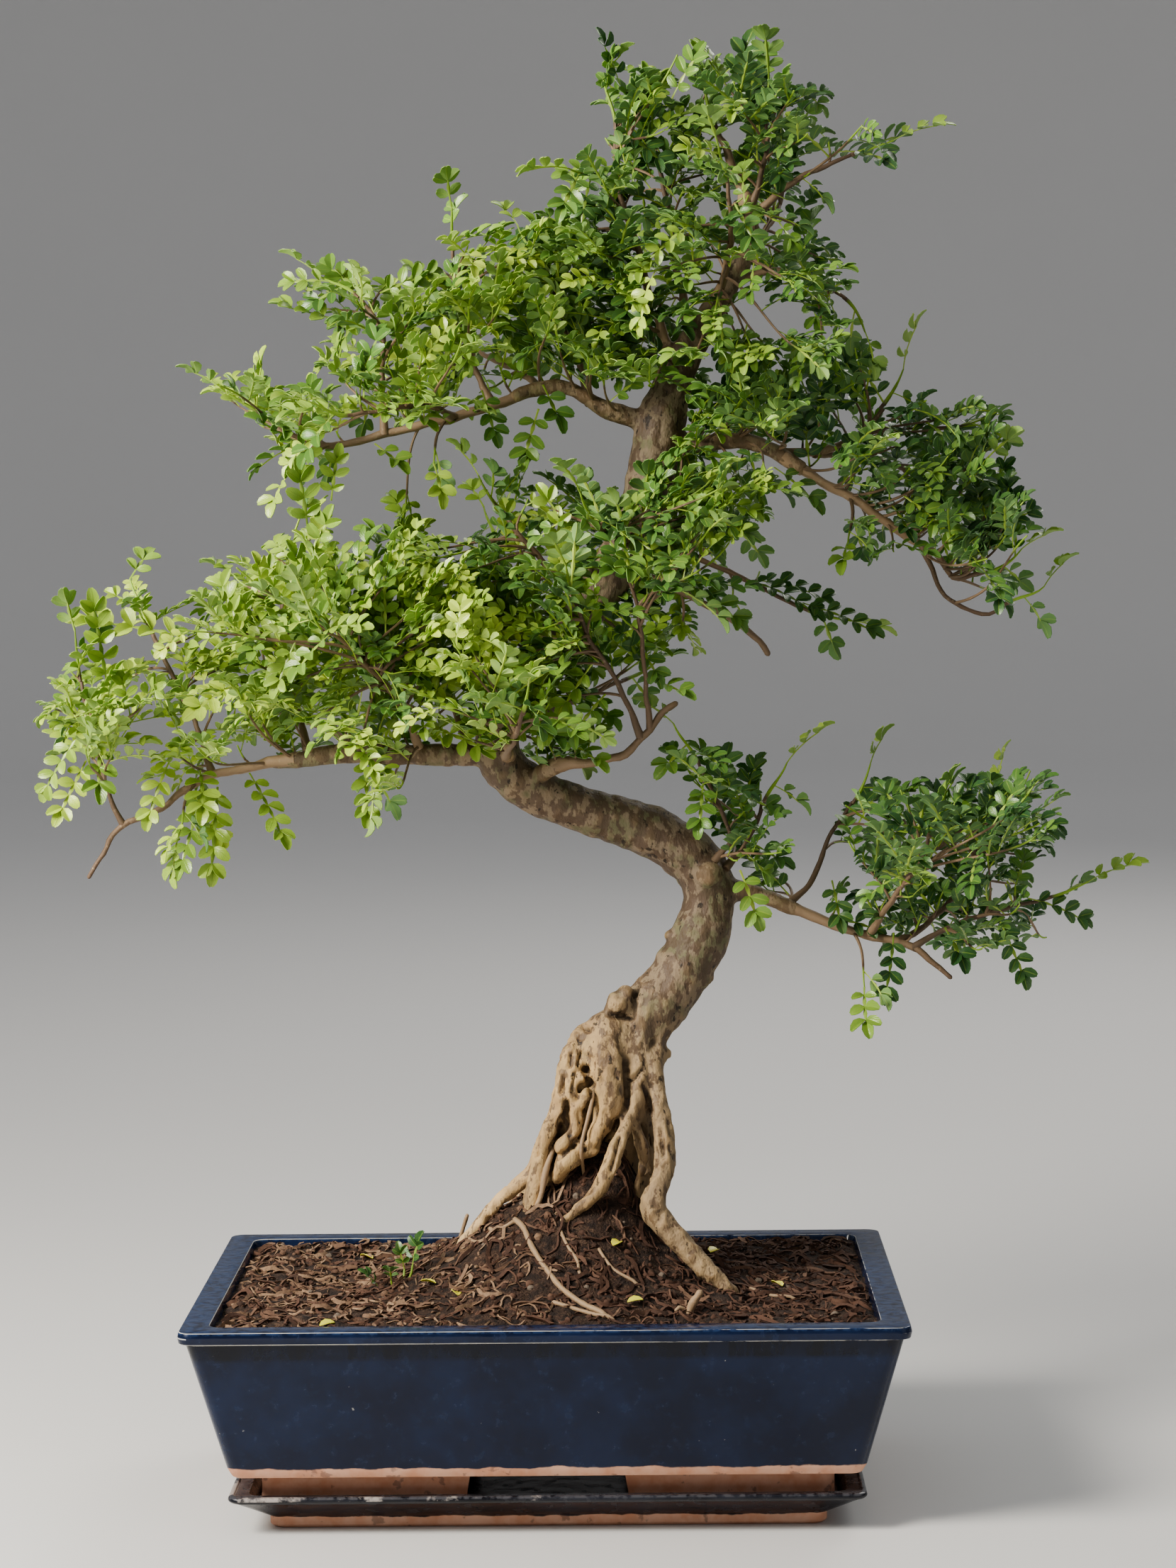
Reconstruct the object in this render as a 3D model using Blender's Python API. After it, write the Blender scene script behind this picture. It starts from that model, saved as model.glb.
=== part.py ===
"""Chinese pepper bonsai in a glazed rectangular pot on its drip tray.

The frame is metres with +Z up. Its origin is the middle of the tray's flat underside, X runs
along the pot and -Y is the front. Every length below is in millimetres, and MM turns it into
metres where a mesh is made.
"""

import math
import random

import bmesh
import bpy
from mathutils import Matrix, Vector, noise
from mathutils.bvhtree import BVHTree

MM = 0.001
GAP = 0.3
UP = Vector((0.0, 0.0, 1.0))

# Pot: outside length, width and height of the rim, and the taper down to the bare clay band.
RIM_LENGTH = 300.0
RIM_WIDTH = 210.0
RIM_TOP = 90.0
RIM_BREADTH = 12.0
LIP_OVERHANG = 3.0
LIP_HEIGHT = 5.5
BAND_LENGTH = 265.0
BAND_WIDTH = 175.0
BAND_TOP = 29.0
POT_UNDERSIDE = 25.0
POT_FLOOR = 37.0
POT_CORNER = 7.0
RIM_ROUNDING = 1.6
BAND_CHAMFER = 2.0
LIP_CHAMFER = 0.8
RIM_SHOULDER = 2.4
RIM_SHOULDER_INSET = 1.5
RIM_INNER_INSET = 1.2

# Inside of the pot just above its floor.
INSIDE_LENGTH = 252.0
INSIDE_WIDTH = 162.0
INSIDE_FOOT = 40.0
INSIDE_CHAMFER = 3.0
CORNER_STEPS = 2

# How far a body reaches into the one it joins, and a cutter beyond the one it cuts.
JOIN_REACH = 2.0
CUT_REACH = 4.0

# Foot ring under the pot, with an arch cut through the middle of each side.
FOOT_INSET = 13.0
FOOT_WALL = 10.0
LONG_ARCH_FOOT = 67.0
LONG_ARCH_TOP = 61.0
SHORT_ARCH_FOOT = 42.0
SHORT_ARCH_TOP = 37.0
ARCH_ROOF = 1.0
FOOT_CHAMFER = 1.0
DRAIN_RADIUS = 9.0
DRAIN_PLACE = 62.0
DRAIN_SIDES = 10

# Drip tray.
TRAY_LENGTH = 265.0
TRAY_WIDTH = 175.0
TRAY_RIM = 17.0
TRAY_FLOOR = 10.0
TRAY_FLANGE = 8.0
TRAY_FOOT_INSET = 16.0
TRAY_FOOT_HEIGHT = 4.8
TRAY_FOOT_CHAMFER = (1.5, 1.4)
TRAY_CORNER = 6.0

# Edge of the tray: (inset, drop) of its underside, its widest line, its top and its flat flange.
TRAY_EDGE_UNDERSIDE = (2.5, 3.4)
TRAY_EDGE_WIDEST = (0.0, 2.0)
TRAY_EDGE_TOP = (0.6, 0.0)
TRAY_FLANGE_DROP = 0.8
TRAY_FLOOR_INSET = 3.0

# Soil: fill level at the rim, and the mound that the roots grip.
SOIL_LEVEL = 88.0
SOIL_EDGE_DROP = 2.6
MOUND_HEIGHT = 44.0
MOUND_MIDDLE = (8.0, -8.0)
MOUND_LEFT = 52.0
MOUND_RIGHT = 48.0
MOUND_FRONT = 48.0
MOUND_BACK = 54.0
SOIL_RELIEF = 1.7
SOIL_RELIEF_SIZE = 13.0
SOIL_LOOPS = 7
SOIL_LOOP_POINTS = 32

# Leaves: one thin arched blade each, cut into leaflets.
BLADE = 0.7
RIB_HALF_WIDTH = 0.7
PETIOLE = 5.5
PAIR_PITCH = 6.4
LEAFLET_LENGTH = 8.0
LEAFLET_WIDTH = 5.4
LEAFLET_BASE = 1.1
LEAFLET_LEAN = math.radians(66)
END_LEAFLET_LENGTH = 9.0
END_LEAFLET_WIDTH = 6.2
LEAF_ARCH = math.radians(34)
LEAF_FOLD = math.radians(16)
LEAFLET_CORNERS = ((0.86, -0.46), (1.0, 0.4))
LEAF_TURNS = 40
GOLDEN_TURN = math.radians(137.5)
CANDIDATE_TURN = math.radians(47)
LAST_OPENING = math.radians(14)
SIDE_OPENING = math.radians(52)
OPENING_STEP = math.radians(9)
SHARES_OF_ONE = (0.4,)
SHARES_OF_TWO = (0.24, 0.66)
SECOND_LEAF_CHANCE = 0.16
THREE_PAIR_CHANCE = 0.26
TRIAL_START = 1.6
TRIAL_FULLNESS = 1.08
END_LEAFLET_WIDEST = 0.62
OPENING_COUNT = 4
FACE_TILT = 0.35
LEAST_FACING = 0.15
ROLL_LIMIT = 35
ROLL_BY_CANDIDATE = 73
ROLL_BY_ORDER = 41

# Twigs and green shoots.
TWIG_RADIUS = 1.45
TWIG_END_RADIUS = 1.05
SHOOT_RADIUS = 0.95
SHOOT_TIP_RADIUS = 0.7
SHOOT_SHARE = 0.42
SHOOT_SHORTEST = 11.0
SHOOT_LONGEST = 24.0
SHOOT_GAP = 0.45
TWIG_SEARCH_PITCH = 4.0
TWIG_PITCH = 18.0
SWEEP = 0.35
LEAVING_ALONG = 0.45
LEAVING_REACH = 0.38
ARRIVING_REACH = 0.34
LEAST_WOODY = 0.12
HEADING_STEP = 0.01
STEM_FLATNESS = 0.8

# Sides of a limb by its greatest radius, and the least distance between its stations.
LIMB_SIDES = ((11.0, 10), (3.8, 6), (3.0, 5), (0.0, 4))
LIMB_PITCH = 20.0
PITCH_PER_RADIUS = 1.15
CURVE_STEPS = 12
TIP_LENGTH = 0.8
SMOOTH_ANGLE = math.radians(40)

# Trunk, roots and branches. Each is a list of (x, y, z, radius) along the middle of the limb.
TRUNK = [
    (24, 4, 118, 9.0), (28, 3, 134, 12.0), (31.5, 3, 152, 14.0), (33.5, 2, 173, 15.5),
    (35.5, 2, 190, 15.0), (43.5, 2, 204, 13.4), (55, 3, 218, 12.9), (65.5, 4, 235, 12.6),
    (70.5, 6, 252, 11.4), (69, 7, 265, 11.6), (59, 7, 276, 11.6), (42, 5, 285.5, 11.0),
    (16, 2, 294, 9.8), (-5, -1, 303.5, 9.9), (-17.5, -3, 315, 10.2), (-19, -2, 331, 10.0),
    (-9, 0, 350, 9.7), (8, 2, 368, 9.5), (25, 3, 388, 9.6), (40, 4, 414, 10.0),
    (47.5, 4, 437, 10.6), (52, 4, 460, 11.0), (57.5, 3, 476, 8.6), (64, 2, 490, 6.9),
    (76, 0, 509, 5.3), (87, -2, 527, 4.3), (91, -1, 543, 3.6), (86, 1, 563, 2.8),
    (77, 3, 583, 2.0),
]

ROOTS = {
    "left": [(16, -2, 192, 6.5), (8, -5, 178, 5.2), (-3.5, -9, 157, 4.5), (-8.5, -10, 139, 3.9),
             (-21, -10, 126.5, 3.5), (-36, -11, 109, 3.0), (-47, -12, 93, 2.4)],
    "gnarled": [(13, -8, 184, 5.0), (3, -14, 168, 4.8), (-2.4, -18, 148, 5.0), (-4, -20, 134, 4.4),
                (-5, -21, 122, 3.8), (-8, -23, 104, 3.0)],
    "shoulder": [(20, 0, 196, 9.0), (13, -8, 186, 6.8), (13, -14, 171, 5.8), (10.5, -17, 157, 5.2),
                 (5, -19, 148, 4.4), (-2, -20, 140, 3.4)],
    "front": [(27, -5, 201, 7.5), (25.5, -12, 184, 7.0), (26.5, -17, 170, 6.3),
              (23, -20, 160, 5.8), (16.5, -22, 149, 5.4), (6.5, -23, 142, 4.6), (0, -23, 138, 3.4)],
    "front_strap": [(38, -6, 182, 5.0), (36, -14, 168, 4.4), (31.7, -20, 155, 4.1),
                    (26.4, -25, 143, 3.9), (22.5, -28, 132, 3.7), (14, -31, 124, 3.4),
                    (3, -35, 108, 2.6)],
    "inner": [(37, -8, 172, 4.2), (40.5, -13, 156, 3.6), (40.5, -14, 143, 3.3),
              (38, -14, 122, 2.6)],
    "right": [(43, -7, 190, 7.0), (47.5, -14, 174, 6.0), (51, -20, 157, 5.4), (49.5, -25, 140, 5.2),
              (43.5, -28, 129, 5.2), (47.5, -30, 117, 5.0), (61, -33, 104, 4.6),
              (75, -36, 91.5, 4.0), (84, -38, 81, 3.0)],
    "back_left": [(24, 8, 188, 7.0), (13, 18, 168, 5.8), (3, 26, 146, 5.0), (-8, 34, 124, 4.4),
                  (-24, 43, 104, 3.6), (-36, 49, 88, 2.8)],
    "back_right": [(43, 8, 186, 7.0), (45, 18, 164, 5.8), (45, 27, 142, 5.0), (45, 36, 119, 4.4),
                   (51, 46, 98, 3.6), (58, 54, 82, 2.8)],
    "back": [(33, 10, 180, 6.0), (31, 22, 158, 4.8), (26, 31, 138, 4.2), (22, 40, 118, 3.6),
             (18, 48, 100, 2.8)],
}

# A thin root laid down the front of the mound: (x, y) points, the height follows the soil.
LAID_ROOT = [(-14, -26), (-10, -33), (-6, -44), (0, -55), (7, -66), (16, -76), (24, -83)]
LAID_ROOT_RADIUS = 1.25
LAID_ROOT_SUNK = 0.15
LAID_ROOT_START = (2, -20, 137)
LAID_ROOT_PLUNGE = (6, -3, -7)

# Knobs left by old cuts: middle, radius.
BURLS = [((33, -4, 211), 7.0), ((15.5, -3, 196.5), 7.6), ((71, -2, 266), 6.5)]
BURL_SUBDIVISIONS = 2

BRANCHES = {
    "left_low": [(-14, -2, 317, 6.0), (-31, -3, 318.5, 5.0), (-58, -5, 319, 4.6),
                 (-85, -6, 320, 4.3), (-104, -6, 317.5, 3.9), (-124, -5, 315, 2.7),
                 (-146, -5, 310, 2.4), (-165, -5, 297, 1.9), (-182.5, -5, 289, 1.8),
                 (-189, -6, 279, 1.6), (-196, -7, 268, 1.3)],
    "left_low_rise": [(-181, -5, 290, 1.7), (-185, -6, 298, 1.6), (-188, -8, 309, 1.5),
                      (-191, -8, 324, 1.4), (-196, -7, 341, 1.3), (-198, -6, 352, 1.1)],
    "left_low_a": [(-52, -5, 319, 2.6), (-60, -20, 341, 2.2), (-74, -42, 361, 1.8),
                   (-86, -54, 376, 1.4)],
    "left_low_b": [(-31, -3, 318, 2.8), (-41, 22, 344, 2.3), (-52, 48, 377, 1.9),
                   (-56, 60, 398, 1.4)],
    "left_low_c": [(-100, -6, 318, 2.4), (-108, 8, 345, 2.0), (-113, 18, 376, 1.7),
                   (-110, 22, 398, 1.3)],
    "left_low_d": [(-80, -6, 319, 2.6), (-92, 35, 326, 2.1), (-116, 68, 333, 1.7),
                   (-134, 84, 338, 1.3)],
    "left_low_e": [(-142, -5, 311, 1.9), (-152, 8, 336, 1.6), (-166, 18, 363, 1.4),
                   (-174, 24, 380, 1.2)],
    "left_high": [(46, 3, 460, 5.0), (28, 2, 466, 3.6), (12, 1, 475, 3.3), (-4, 0, 474, 3.1),
                  (-19.5, -1, 467.5, 2.9), (-44, -3, 461, 2.6), (-70, -4, 455, 2.3),
                  (-89, -4, 451.5, 1.9), (-104, -4, 456, 1.6), (-118, -6, 465, 1.3)],
    "left_high_a": [(-66, -4, 456, 2.0), (-67, -6, 480, 1.7), (-66, -8, 500, 1.5),
                    (-76, -8, 514, 1.2)],
    "left_high_b": [(-20, -1, 468, 2.2), (-30, 4, 492, 1.8), (-34, 6, 516, 1.5),
                    (-36, 4, 534, 1.2)],
    "left_high_c": [(22, 2, 468, 2.4), (14, 16, 495, 1.9), (6, 34, 518, 1.6), (-2, 48, 534, 1.3)],
    "left_high_d": [(2, 0, 475, 2.4), (-12, 36, 485, 2.0), (-28, 66, 494, 1.6),
                    (-40, 82, 508, 1.3)],
    "left_high_e": [(-36, -2, 463, 2.1), (-46, -26, 467, 1.7), (-60, -42, 466, 1.4),
                    (-76, -50, 463, 1.2)],
    "right_high": [(55, 3, 450, 5.5), (75.5, 2, 451, 3.7), (89, 1, 451.5, 3.6),
                   (102, 0, 446, 3.6), (117.5, -2, 435.5, 2.8), (133, -4, 427, 2.7),
                   (152, -5, 413, 2.4), (168, -4, 403, 2.1), (176, -3, 392, 1.7),
                   (190, -2, 394, 1.3)],
    "right_high_a": [(98, 0, 448, 3.0), (113, 6, 446, 2.6), (129, 12, 449, 2.3),
                     (139, 15, 455, 1.9), (147, 16, 465, 1.4)],
    "right_high_c": [(163, -5, 406, 1.8), (168, -8, 393, 1.5), (174, -9, 383, 1.4),
                     (190, -8, 377, 1.3), (199, -6, 381, 1.1)],
    "right_high_d": [(118, 7, 446, 2.2), (144, 34, 444, 1.9), (164, 58, 438, 1.5),
                     (172, 70, 434, 1.2)],
    "right_low": [(68, 6, 258, 6.5), (90, 5, 257, 3.7), (107, 4, 250, 3.1), (124, 2, 243, 2.7),
                  (146, 0, 237, 2.5), (160, -2, 232.5, 2.1), (174, -3, 220, 1.5)],
    "right_low_a": [(104, 4, 251, 2.2), (116, 12, 262, 1.9), (124, 18, 280, 1.5),
                    (134, 20, 294, 1.2)],
    "right_low_b": [(140, 0, 239, 2.1), (148, -22, 256, 1.8), (158, -38, 272, 1.4),
                    (162, -42, 284, 1.2)],
    "right_low_c": [(152, -1, 235.5, 2.0), (168, 10, 244, 1.8), (186, 26, 262, 1.5),
                    (192, 32, 282, 1.2)],
    "right_low_d": [(158, -2, 233, 1.8), (176, -2, 243, 1.6), (200, -2, 250, 1.4),
                    (216, -2, 254, 1.1)],
    "elbow_twig": [(70, 0, 268, 2.6), (80, -8, 280, 1.5), (77, -11, 291, 1.4),
                   (72, -14, 303, 1.3), (66, -18, 316, 1.1)],
    "elbow_twig_b": [(78, 0, 268, 2.0), (88, 8, 280, 1.5), (95, 8, 296, 1.2)],
    "front_horn": [(-8, -4, 306, 4.5), (8, -18, 315, 3.4), (24, -28, 317, 2.6),
                   (36, -31, 320, 2.3), (45, -32, 329, 2.1), (50, -32, 336, 2.0),
                   (57, -32, 341, 1.9)],
    "horn_twig_a": [(42, -32, 327, 1.8), (33, -42, 350, 1.6), (22, -50, 368, 1.4),
                    (16, -58, 384, 1.2)],
    "horn_twig_b": [(46, -32, 331, 1.7), (44, -38, 352, 1.5), (42, -44, 376, 1.3),
                    (38, -46, 394, 1.1)],
    "front_low": [(-15, -6, 318, 3.6), (-14, -38, 322, 2.5), (-10, -66, 330, 1.9),
                  (-6, -84, 340, 1.4)],
    "back_left": [(-2, 2, 358, 4.5), (-8, 34, 374, 2.7), (-18, 64, 394, 2.0), (-22, 78, 410, 1.4)],
    "back_right": [(38, 6, 412, 4.5), (56, 34, 414, 2.6), (72, 62, 412, 2.0), (80, 78, 414, 1.4)],
    "back_low": [(-18, 2, 326, 3.6), (-4, 34, 333, 2.4), (18, 62, 340, 1.8), (34, 80, 346, 1.4)],
    "stub": [(28, 0, 396, 3.6), (38, -6, 397, 2.4), (57, -9, 389, 2.1), (76, -10, 379, 2.1),
             (92, -10, 368, 2.0), (97, -10, 361, 1.9)],
    "right_mid": [(40, 4, 414, 3.4), (62, 8, 404, 2.0), (88, 8, 392, 1.6), (112, 5, 380, 1.3)],
    "left_mid": [(20, 2, 382, 3.4), (4, -6, 398, 2.0), (-8, -10, 412, 1.6), (-16, -8, 422, 1.2)],
    "front_mid": [(38, 2, 410, 3.4), (34, -22, 412, 2.0), (28, -42, 414, 1.5),
                  (24, -52, 418, 1.2)],
    "crown_left": [(58, 2, 482, 3.6), (49, 0, 512, 2.3), (41, -2, 540, 1.9), (34, -2, 560, 1.6),
                   (34, -2, 584, 1.2)],
    "crown_middle": [(66, 2, 494, 3.2), (60, 6, 522, 2.2), (57, 12, 548, 1.8),
                     (52, 18, 570, 1.4)],
    "crown_front": [(76, 0, 509, 3.0), (80, -24, 526, 2.1), (82, -44, 542, 1.5),
                    (80, -52, 556, 1.2)],
    "crown_back": [(87, -2, 527, 2.8), (98, 28, 543, 2.0), (106, 52, 556, 1.5),
                   (108, 62, 568, 1.2)],
    "crown_right": [(90, -1, 545, 2.6), (108, -2, 560, 1.9), (124, 0, 568, 1.5),
                    (134, 0, 572, 1.2)],
    "crown_tip": [(90, -1, 547, 2.2), (97, -4, 568, 1.6), (98, -6, 586, 1.2)],
    "crown_right_low": [(82, -1, 519, 2.8), (102, 0, 524, 2.0), (120, -2, 519, 1.5),
                        (130, -4, 512, 1.2)],
}

# Leafy sprays: the limb that bears each, and the tip (x, y, z) of its green shoot. A tip ahead
# of the limb's end carries the limb on, and any other grows from a side twig. The lift says how
# the shoot turns: up to the light, level, or hanging. The zone names the node.
RISES = 0.55
LEVEL = 0.1
HANGS = -0.8
SPRAYS = {
    "lower_left": [
        ("left_low_rise", (-199, -12, 374), RISES), ("left_low_rise", (-208, 10, 338), LEVEL),
        ("left_low", (-152, -36, 291), HANGS), ("left_low_e", (-181, 32, 395), RISES),
        ("left_low_c", (-106, 10, 416), RISES), ("left_low_c", (-136, 38, 396), RISES),
        ("left_low_a", (-96, -66, 386), RISES), ("left_low_a", (-60, -60, 356), LEVEL),
        ("left_low_b", (-60, 74, 413), RISES), ("left_low_d", (-148, 96, 347), RISES),
        ("left_low", (-72, -28, 306), HANGS),
    ],
    "upper_left": [
        ("left_high", (-135, -12, 476), LEVEL), ("left_high", (-106, -28, 438), HANGS),
        ("left_high_a", (-92, -6, 523), LEVEL), ("left_high_a", (-50, 16, 508), RISES),
        ("left_high_e", (-92, -60, 468), LEVEL), ("left_high_b", (-36, -4, 552), RISES),
        ("left_high_b", (-12, -20, 514), RISES), ("left_high_c", (-10, 60, 549), RISES),
        ("left_high_d", (-52, 92, 521), RISES), ("left_high", (-44, -26, 443), HANGS),
    ],
    "apex": [
        ("crown_left", (29, -2, 605), RISES), ("crown_left", (14, -20, 566), LEVEL),
        ("crown_middle", (46, 26, 588), RISES), ("crown_front", (76, -66, 570), RISES),
        ("crown_back", (111, 74, 585), RISES), ("crown_right", (152, 0, 578), LEVEL),
        ("trunk", (72, 5, 602), RISES), ("crown_tip", (99, -8, 604), RISES),
        ("crown_right_low", (139, -6, 497), HANGS),
    ],
    "upper_right": [
        ("right_high_a", (157, 18, 482), RISES), ("right_high_d", (184, 84, 442), RISES),
        ("right_high", (188, -30, 442), RISES), ("right_high", (206, 2, 404), RISES),
        ("right_high_c", (215, -4, 388), RISES), ("right_high", (130, -28, 408), LEVEL),
    ],
    "lower_right": [
        ("right_low_a", (142, 22, 311), RISES), ("right_low_b", (168, -50, 300), RISES),
        ("right_low_c", (199, 38, 300), RISES), ("right_low_d", (234, -2, 261), LEVEL),
        ("right_low", (136, -24, 219), HANGS),
    ],
    "middle": [
        ("front_low", (-3, -102, 352), LEVEL), ("horn_twig_a", (12, -70, 400), RISES),
        ("horn_twig_b", (36, -56, 413), RISES), ("left_mid", (-26, -8, 438), RISES),
        ("front_mid", (18, -66, 430), RISES), ("right_mid", (133, 4, 374), LEVEL),
        ("back_left", (-28, 94, 425), RISES), ("back_right", (92, 92, 422), RISES),
        ("back_low", (50, 94, 355), RISES),
    ],
    "elbow": [
        ("elbow_twig", (56, -24, 332), RISES), ("elbow_twig_b", (105, 6, 313), RISES),
    ],
}

# What else stands in the soil: a seedling, a dry twig and the bare end of an old root.
SEEDLING = [(-62, -22, 78), (-61, -23, 90), (-58, -25, 101)]
SEEDLING_PAIRS = 2
SEEDLING_HOLE = [(-62.5, -21.5, 74, 2.0), (-61, -23, 90, 2.0), (-57, -25.6, 105, 2.0)]
DRY_TWIG = [(-47, 14, 78, 1.1), (-41, 12, 100, 1.0), (-36, 10, 116, 0.8)]
ROOT_END = [(58, -74, 80, 1.8), (60, -75, 92, 1.7), (64, -76, 99, 1.5)]
HOLE_CLEARANCE = GAP + 0.05

# Base colour and roughness of each material.
FINISHES = {
    "blue glaze": ((0.012, 0.028, 0.09), 0.16),
    "dark tray glaze": ((0.035, 0.035, 0.045), 0.3),
    "fibrous potting soil": ((0.13, 0.055, 0.025), 0.95),
    "pale bark": ((0.42, 0.31, 0.19), 0.8),
    "dry bark": ((0.34, 0.27, 0.19), 0.85),
    "pepper leaf": ((0.16, 0.34, 0.05), 0.45),
}


def clear_scene():
    """Removes every object of the open file."""
    for item in list(bpy.data.objects):
        bpy.data.objects.remove(item)


def finish(name):
    """A plain Principled material with the colour and roughness of its finish."""
    colour, roughness = FINISHES[name]
    material = bpy.data.materials.new(name)
    material.use_nodes = True
    shader = material.node_tree.nodes["Principled BSDF"]
    shader.inputs["Base Color"].default_value = (*colour, 1.0)
    shader.inputs["Roughness"].default_value = roughness
    shader.inputs["Metallic"].default_value = 0.0
    return material


def mesh_object(name, points, faces):
    """Object from points in millimetres."""
    mesh = bpy.data.meshes.new(name)
    mesh.from_pydata([Vector(p) * MM for p in points], [], faces)
    mesh.update()
    item = bpy.data.objects.new(name, mesh)
    bpy.context.scene.collection.objects.link(item)
    return item


def dress(item, material, smooth):
    """Gives a finished object its material and its shading."""
    item.data.materials.clear()
    item.data.materials.append(material)
    if smooth:
        item.data.shade_smooth()
        item.data.set_sharp_from_angle(angle=SMOOTH_ANGLE)
    else:
        item.data.shade_flat()


def apply_modifiers(item):
    """Turns the evaluated shape into the object's own mesh."""
    depsgraph = bpy.context.evaluated_depsgraph_get()
    mesh = bpy.data.meshes.new_from_object(item.evaluated_get(depsgraph))
    item.modifiers.clear()
    item.data = mesh


def combine(item, others, operation, solver="EXACT"):
    """Boolean of an object with a group of others, which are then removed."""
    group = bpy.data.collections.new("operands")
    bpy.context.scene.collection.children.link(group)
    for other in others:
        bpy.context.scene.collection.objects.unlink(other)
        group.objects.link(other)
    modifier = item.modifiers.new("combine", "BOOLEAN")
    modifier.operation = operation
    modifier.operand_type = "COLLECTION"
    modifier.collection = group
    modifier.solver = solver
    apply_modifiers(item)
    for other in others:
        bpy.data.objects.remove(other)
    bpy.data.collections.remove(group)


def triangulate(item):
    """Splits every face of an object into triangles."""
    shape = bmesh.new()
    shape.from_mesh(item.data)
    bmesh.ops.triangulate(shape, faces=shape.faces)
    shape.to_mesh(item.data)
    shape.free()


def keep_largest_body(item):
    """Drops the loose scraps that a cut leaves."""
    shape = bmesh.new()
    shape.from_mesh(item.data)
    unseen = set(shape.verts)
    bodies = []
    while unseen:
        body = [unseen.pop()]
        for vert in body:
            for edge in vert.link_edges:
                other = edge.other_vert(vert)
                if other in unseen:
                    unseen.remove(other)
                    body.append(other)
        bodies.append(body)
    bodies.sort(key=len)
    for body in bodies[:-1]:
        bmesh.ops.delete(shape, geom=body, context="VERTS")
    shape.to_mesh(item.data)
    shape.free()


def rounded_loop(length, width, radius, z):
    """Points of a rounded rectangle, anticlockwise from above."""
    points = []
    for quarter in range(4):
        side_x = 1 if quarter in (0, 3) else -1
        side_y = 1 if quarter in (0, 1) else -1
        middle = (side_x * (length / 2 - radius), side_y * (width / 2 - radius))
        for step in range(CORNER_STEPS + 1):
            angle = math.radians(90) * (quarter + step / CORNER_STEPS)
            x = middle[0] + radius * math.cos(angle)
            y = middle[1] + radius * math.sin(angle)
            points.append((x, y, z))
    return points


def inset_loop(size, inset, radius, z):
    """Rounded rectangle drawn in on every side from a (length, width) size."""
    return rounded_loop(size[0] - 2 * inset, size[1] - 2 * inset, radius, z)


def loft(name, loops):
    """Closed body through loops of equal count, first loop below, capped at both ends."""
    count = len(loops[0])
    points = [point for loop in loops for point in loop]
    faces = [list(reversed(range(count)))]
    for row in range(len(loops) - 1):
        for column in range(count):
            onward = (column + 1) % count
            low, high = row * count, (row + 1) * count
            faces.append((low + column, low + onward, high + onward, high + column))
    last = (len(loops) - 1) * count
    faces.append([last + column for column in range(count)])
    return mesh_object(name, points, faces)


def wall_at(z):
    """Inside length and width of the pot at a height."""
    share = (z - INSIDE_FOOT) / (RIM_TOP - RIM_ROUNDING - INSIDE_FOOT)
    length = INSIDE_LENGTH + share * (RIM_LENGTH - 2 * RIM_BREADTH - INSIDE_LENGTH)
    width = INSIDE_WIDTH + share * (RIM_WIDTH - 2 * RIM_BREADTH - INSIDE_WIDTH)
    return length, width


def arch_cutter(name, foot, top, reach, turned):
    """Trapezoid bar that cuts the arches of two opposite sides of the foot ring."""
    low, high = TRAY_FLOOR - CUT_REACH, POT_UNDERSIDE - ARCH_ROOF
    spread = (foot - top) / 2 * (high - low) / (high - TRAY_FLOOR)
    outline = [(-top / 2 - spread, low), (top / 2 + spread, low), (top / 2, high), (-top / 2, high)]
    points = [(x, y, z) for y in (-reach, reach) for x, z in outline]
    if turned:
        points = [(-y, x, z) for x, y, z in points]
    faces = [(0, 1, 2, 3), (7, 6, 5, 4), (1, 0, 4, 5), (2, 1, 5, 6), (3, 2, 6, 7), (0, 3, 7, 4)]
    return mesh_object(name, points, faces)


def cylinder(name, x, y, low, high, radius, sides):
    """Upright cylinder."""
    loops = []
    for z in (low, high):
        turns = [2 * math.pi * side / sides for side in range(sides)]
        loops.append([(x + radius * math.cos(t), y + radius * math.sin(t), z) for t in turns])
    return loft(name, loops)


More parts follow.
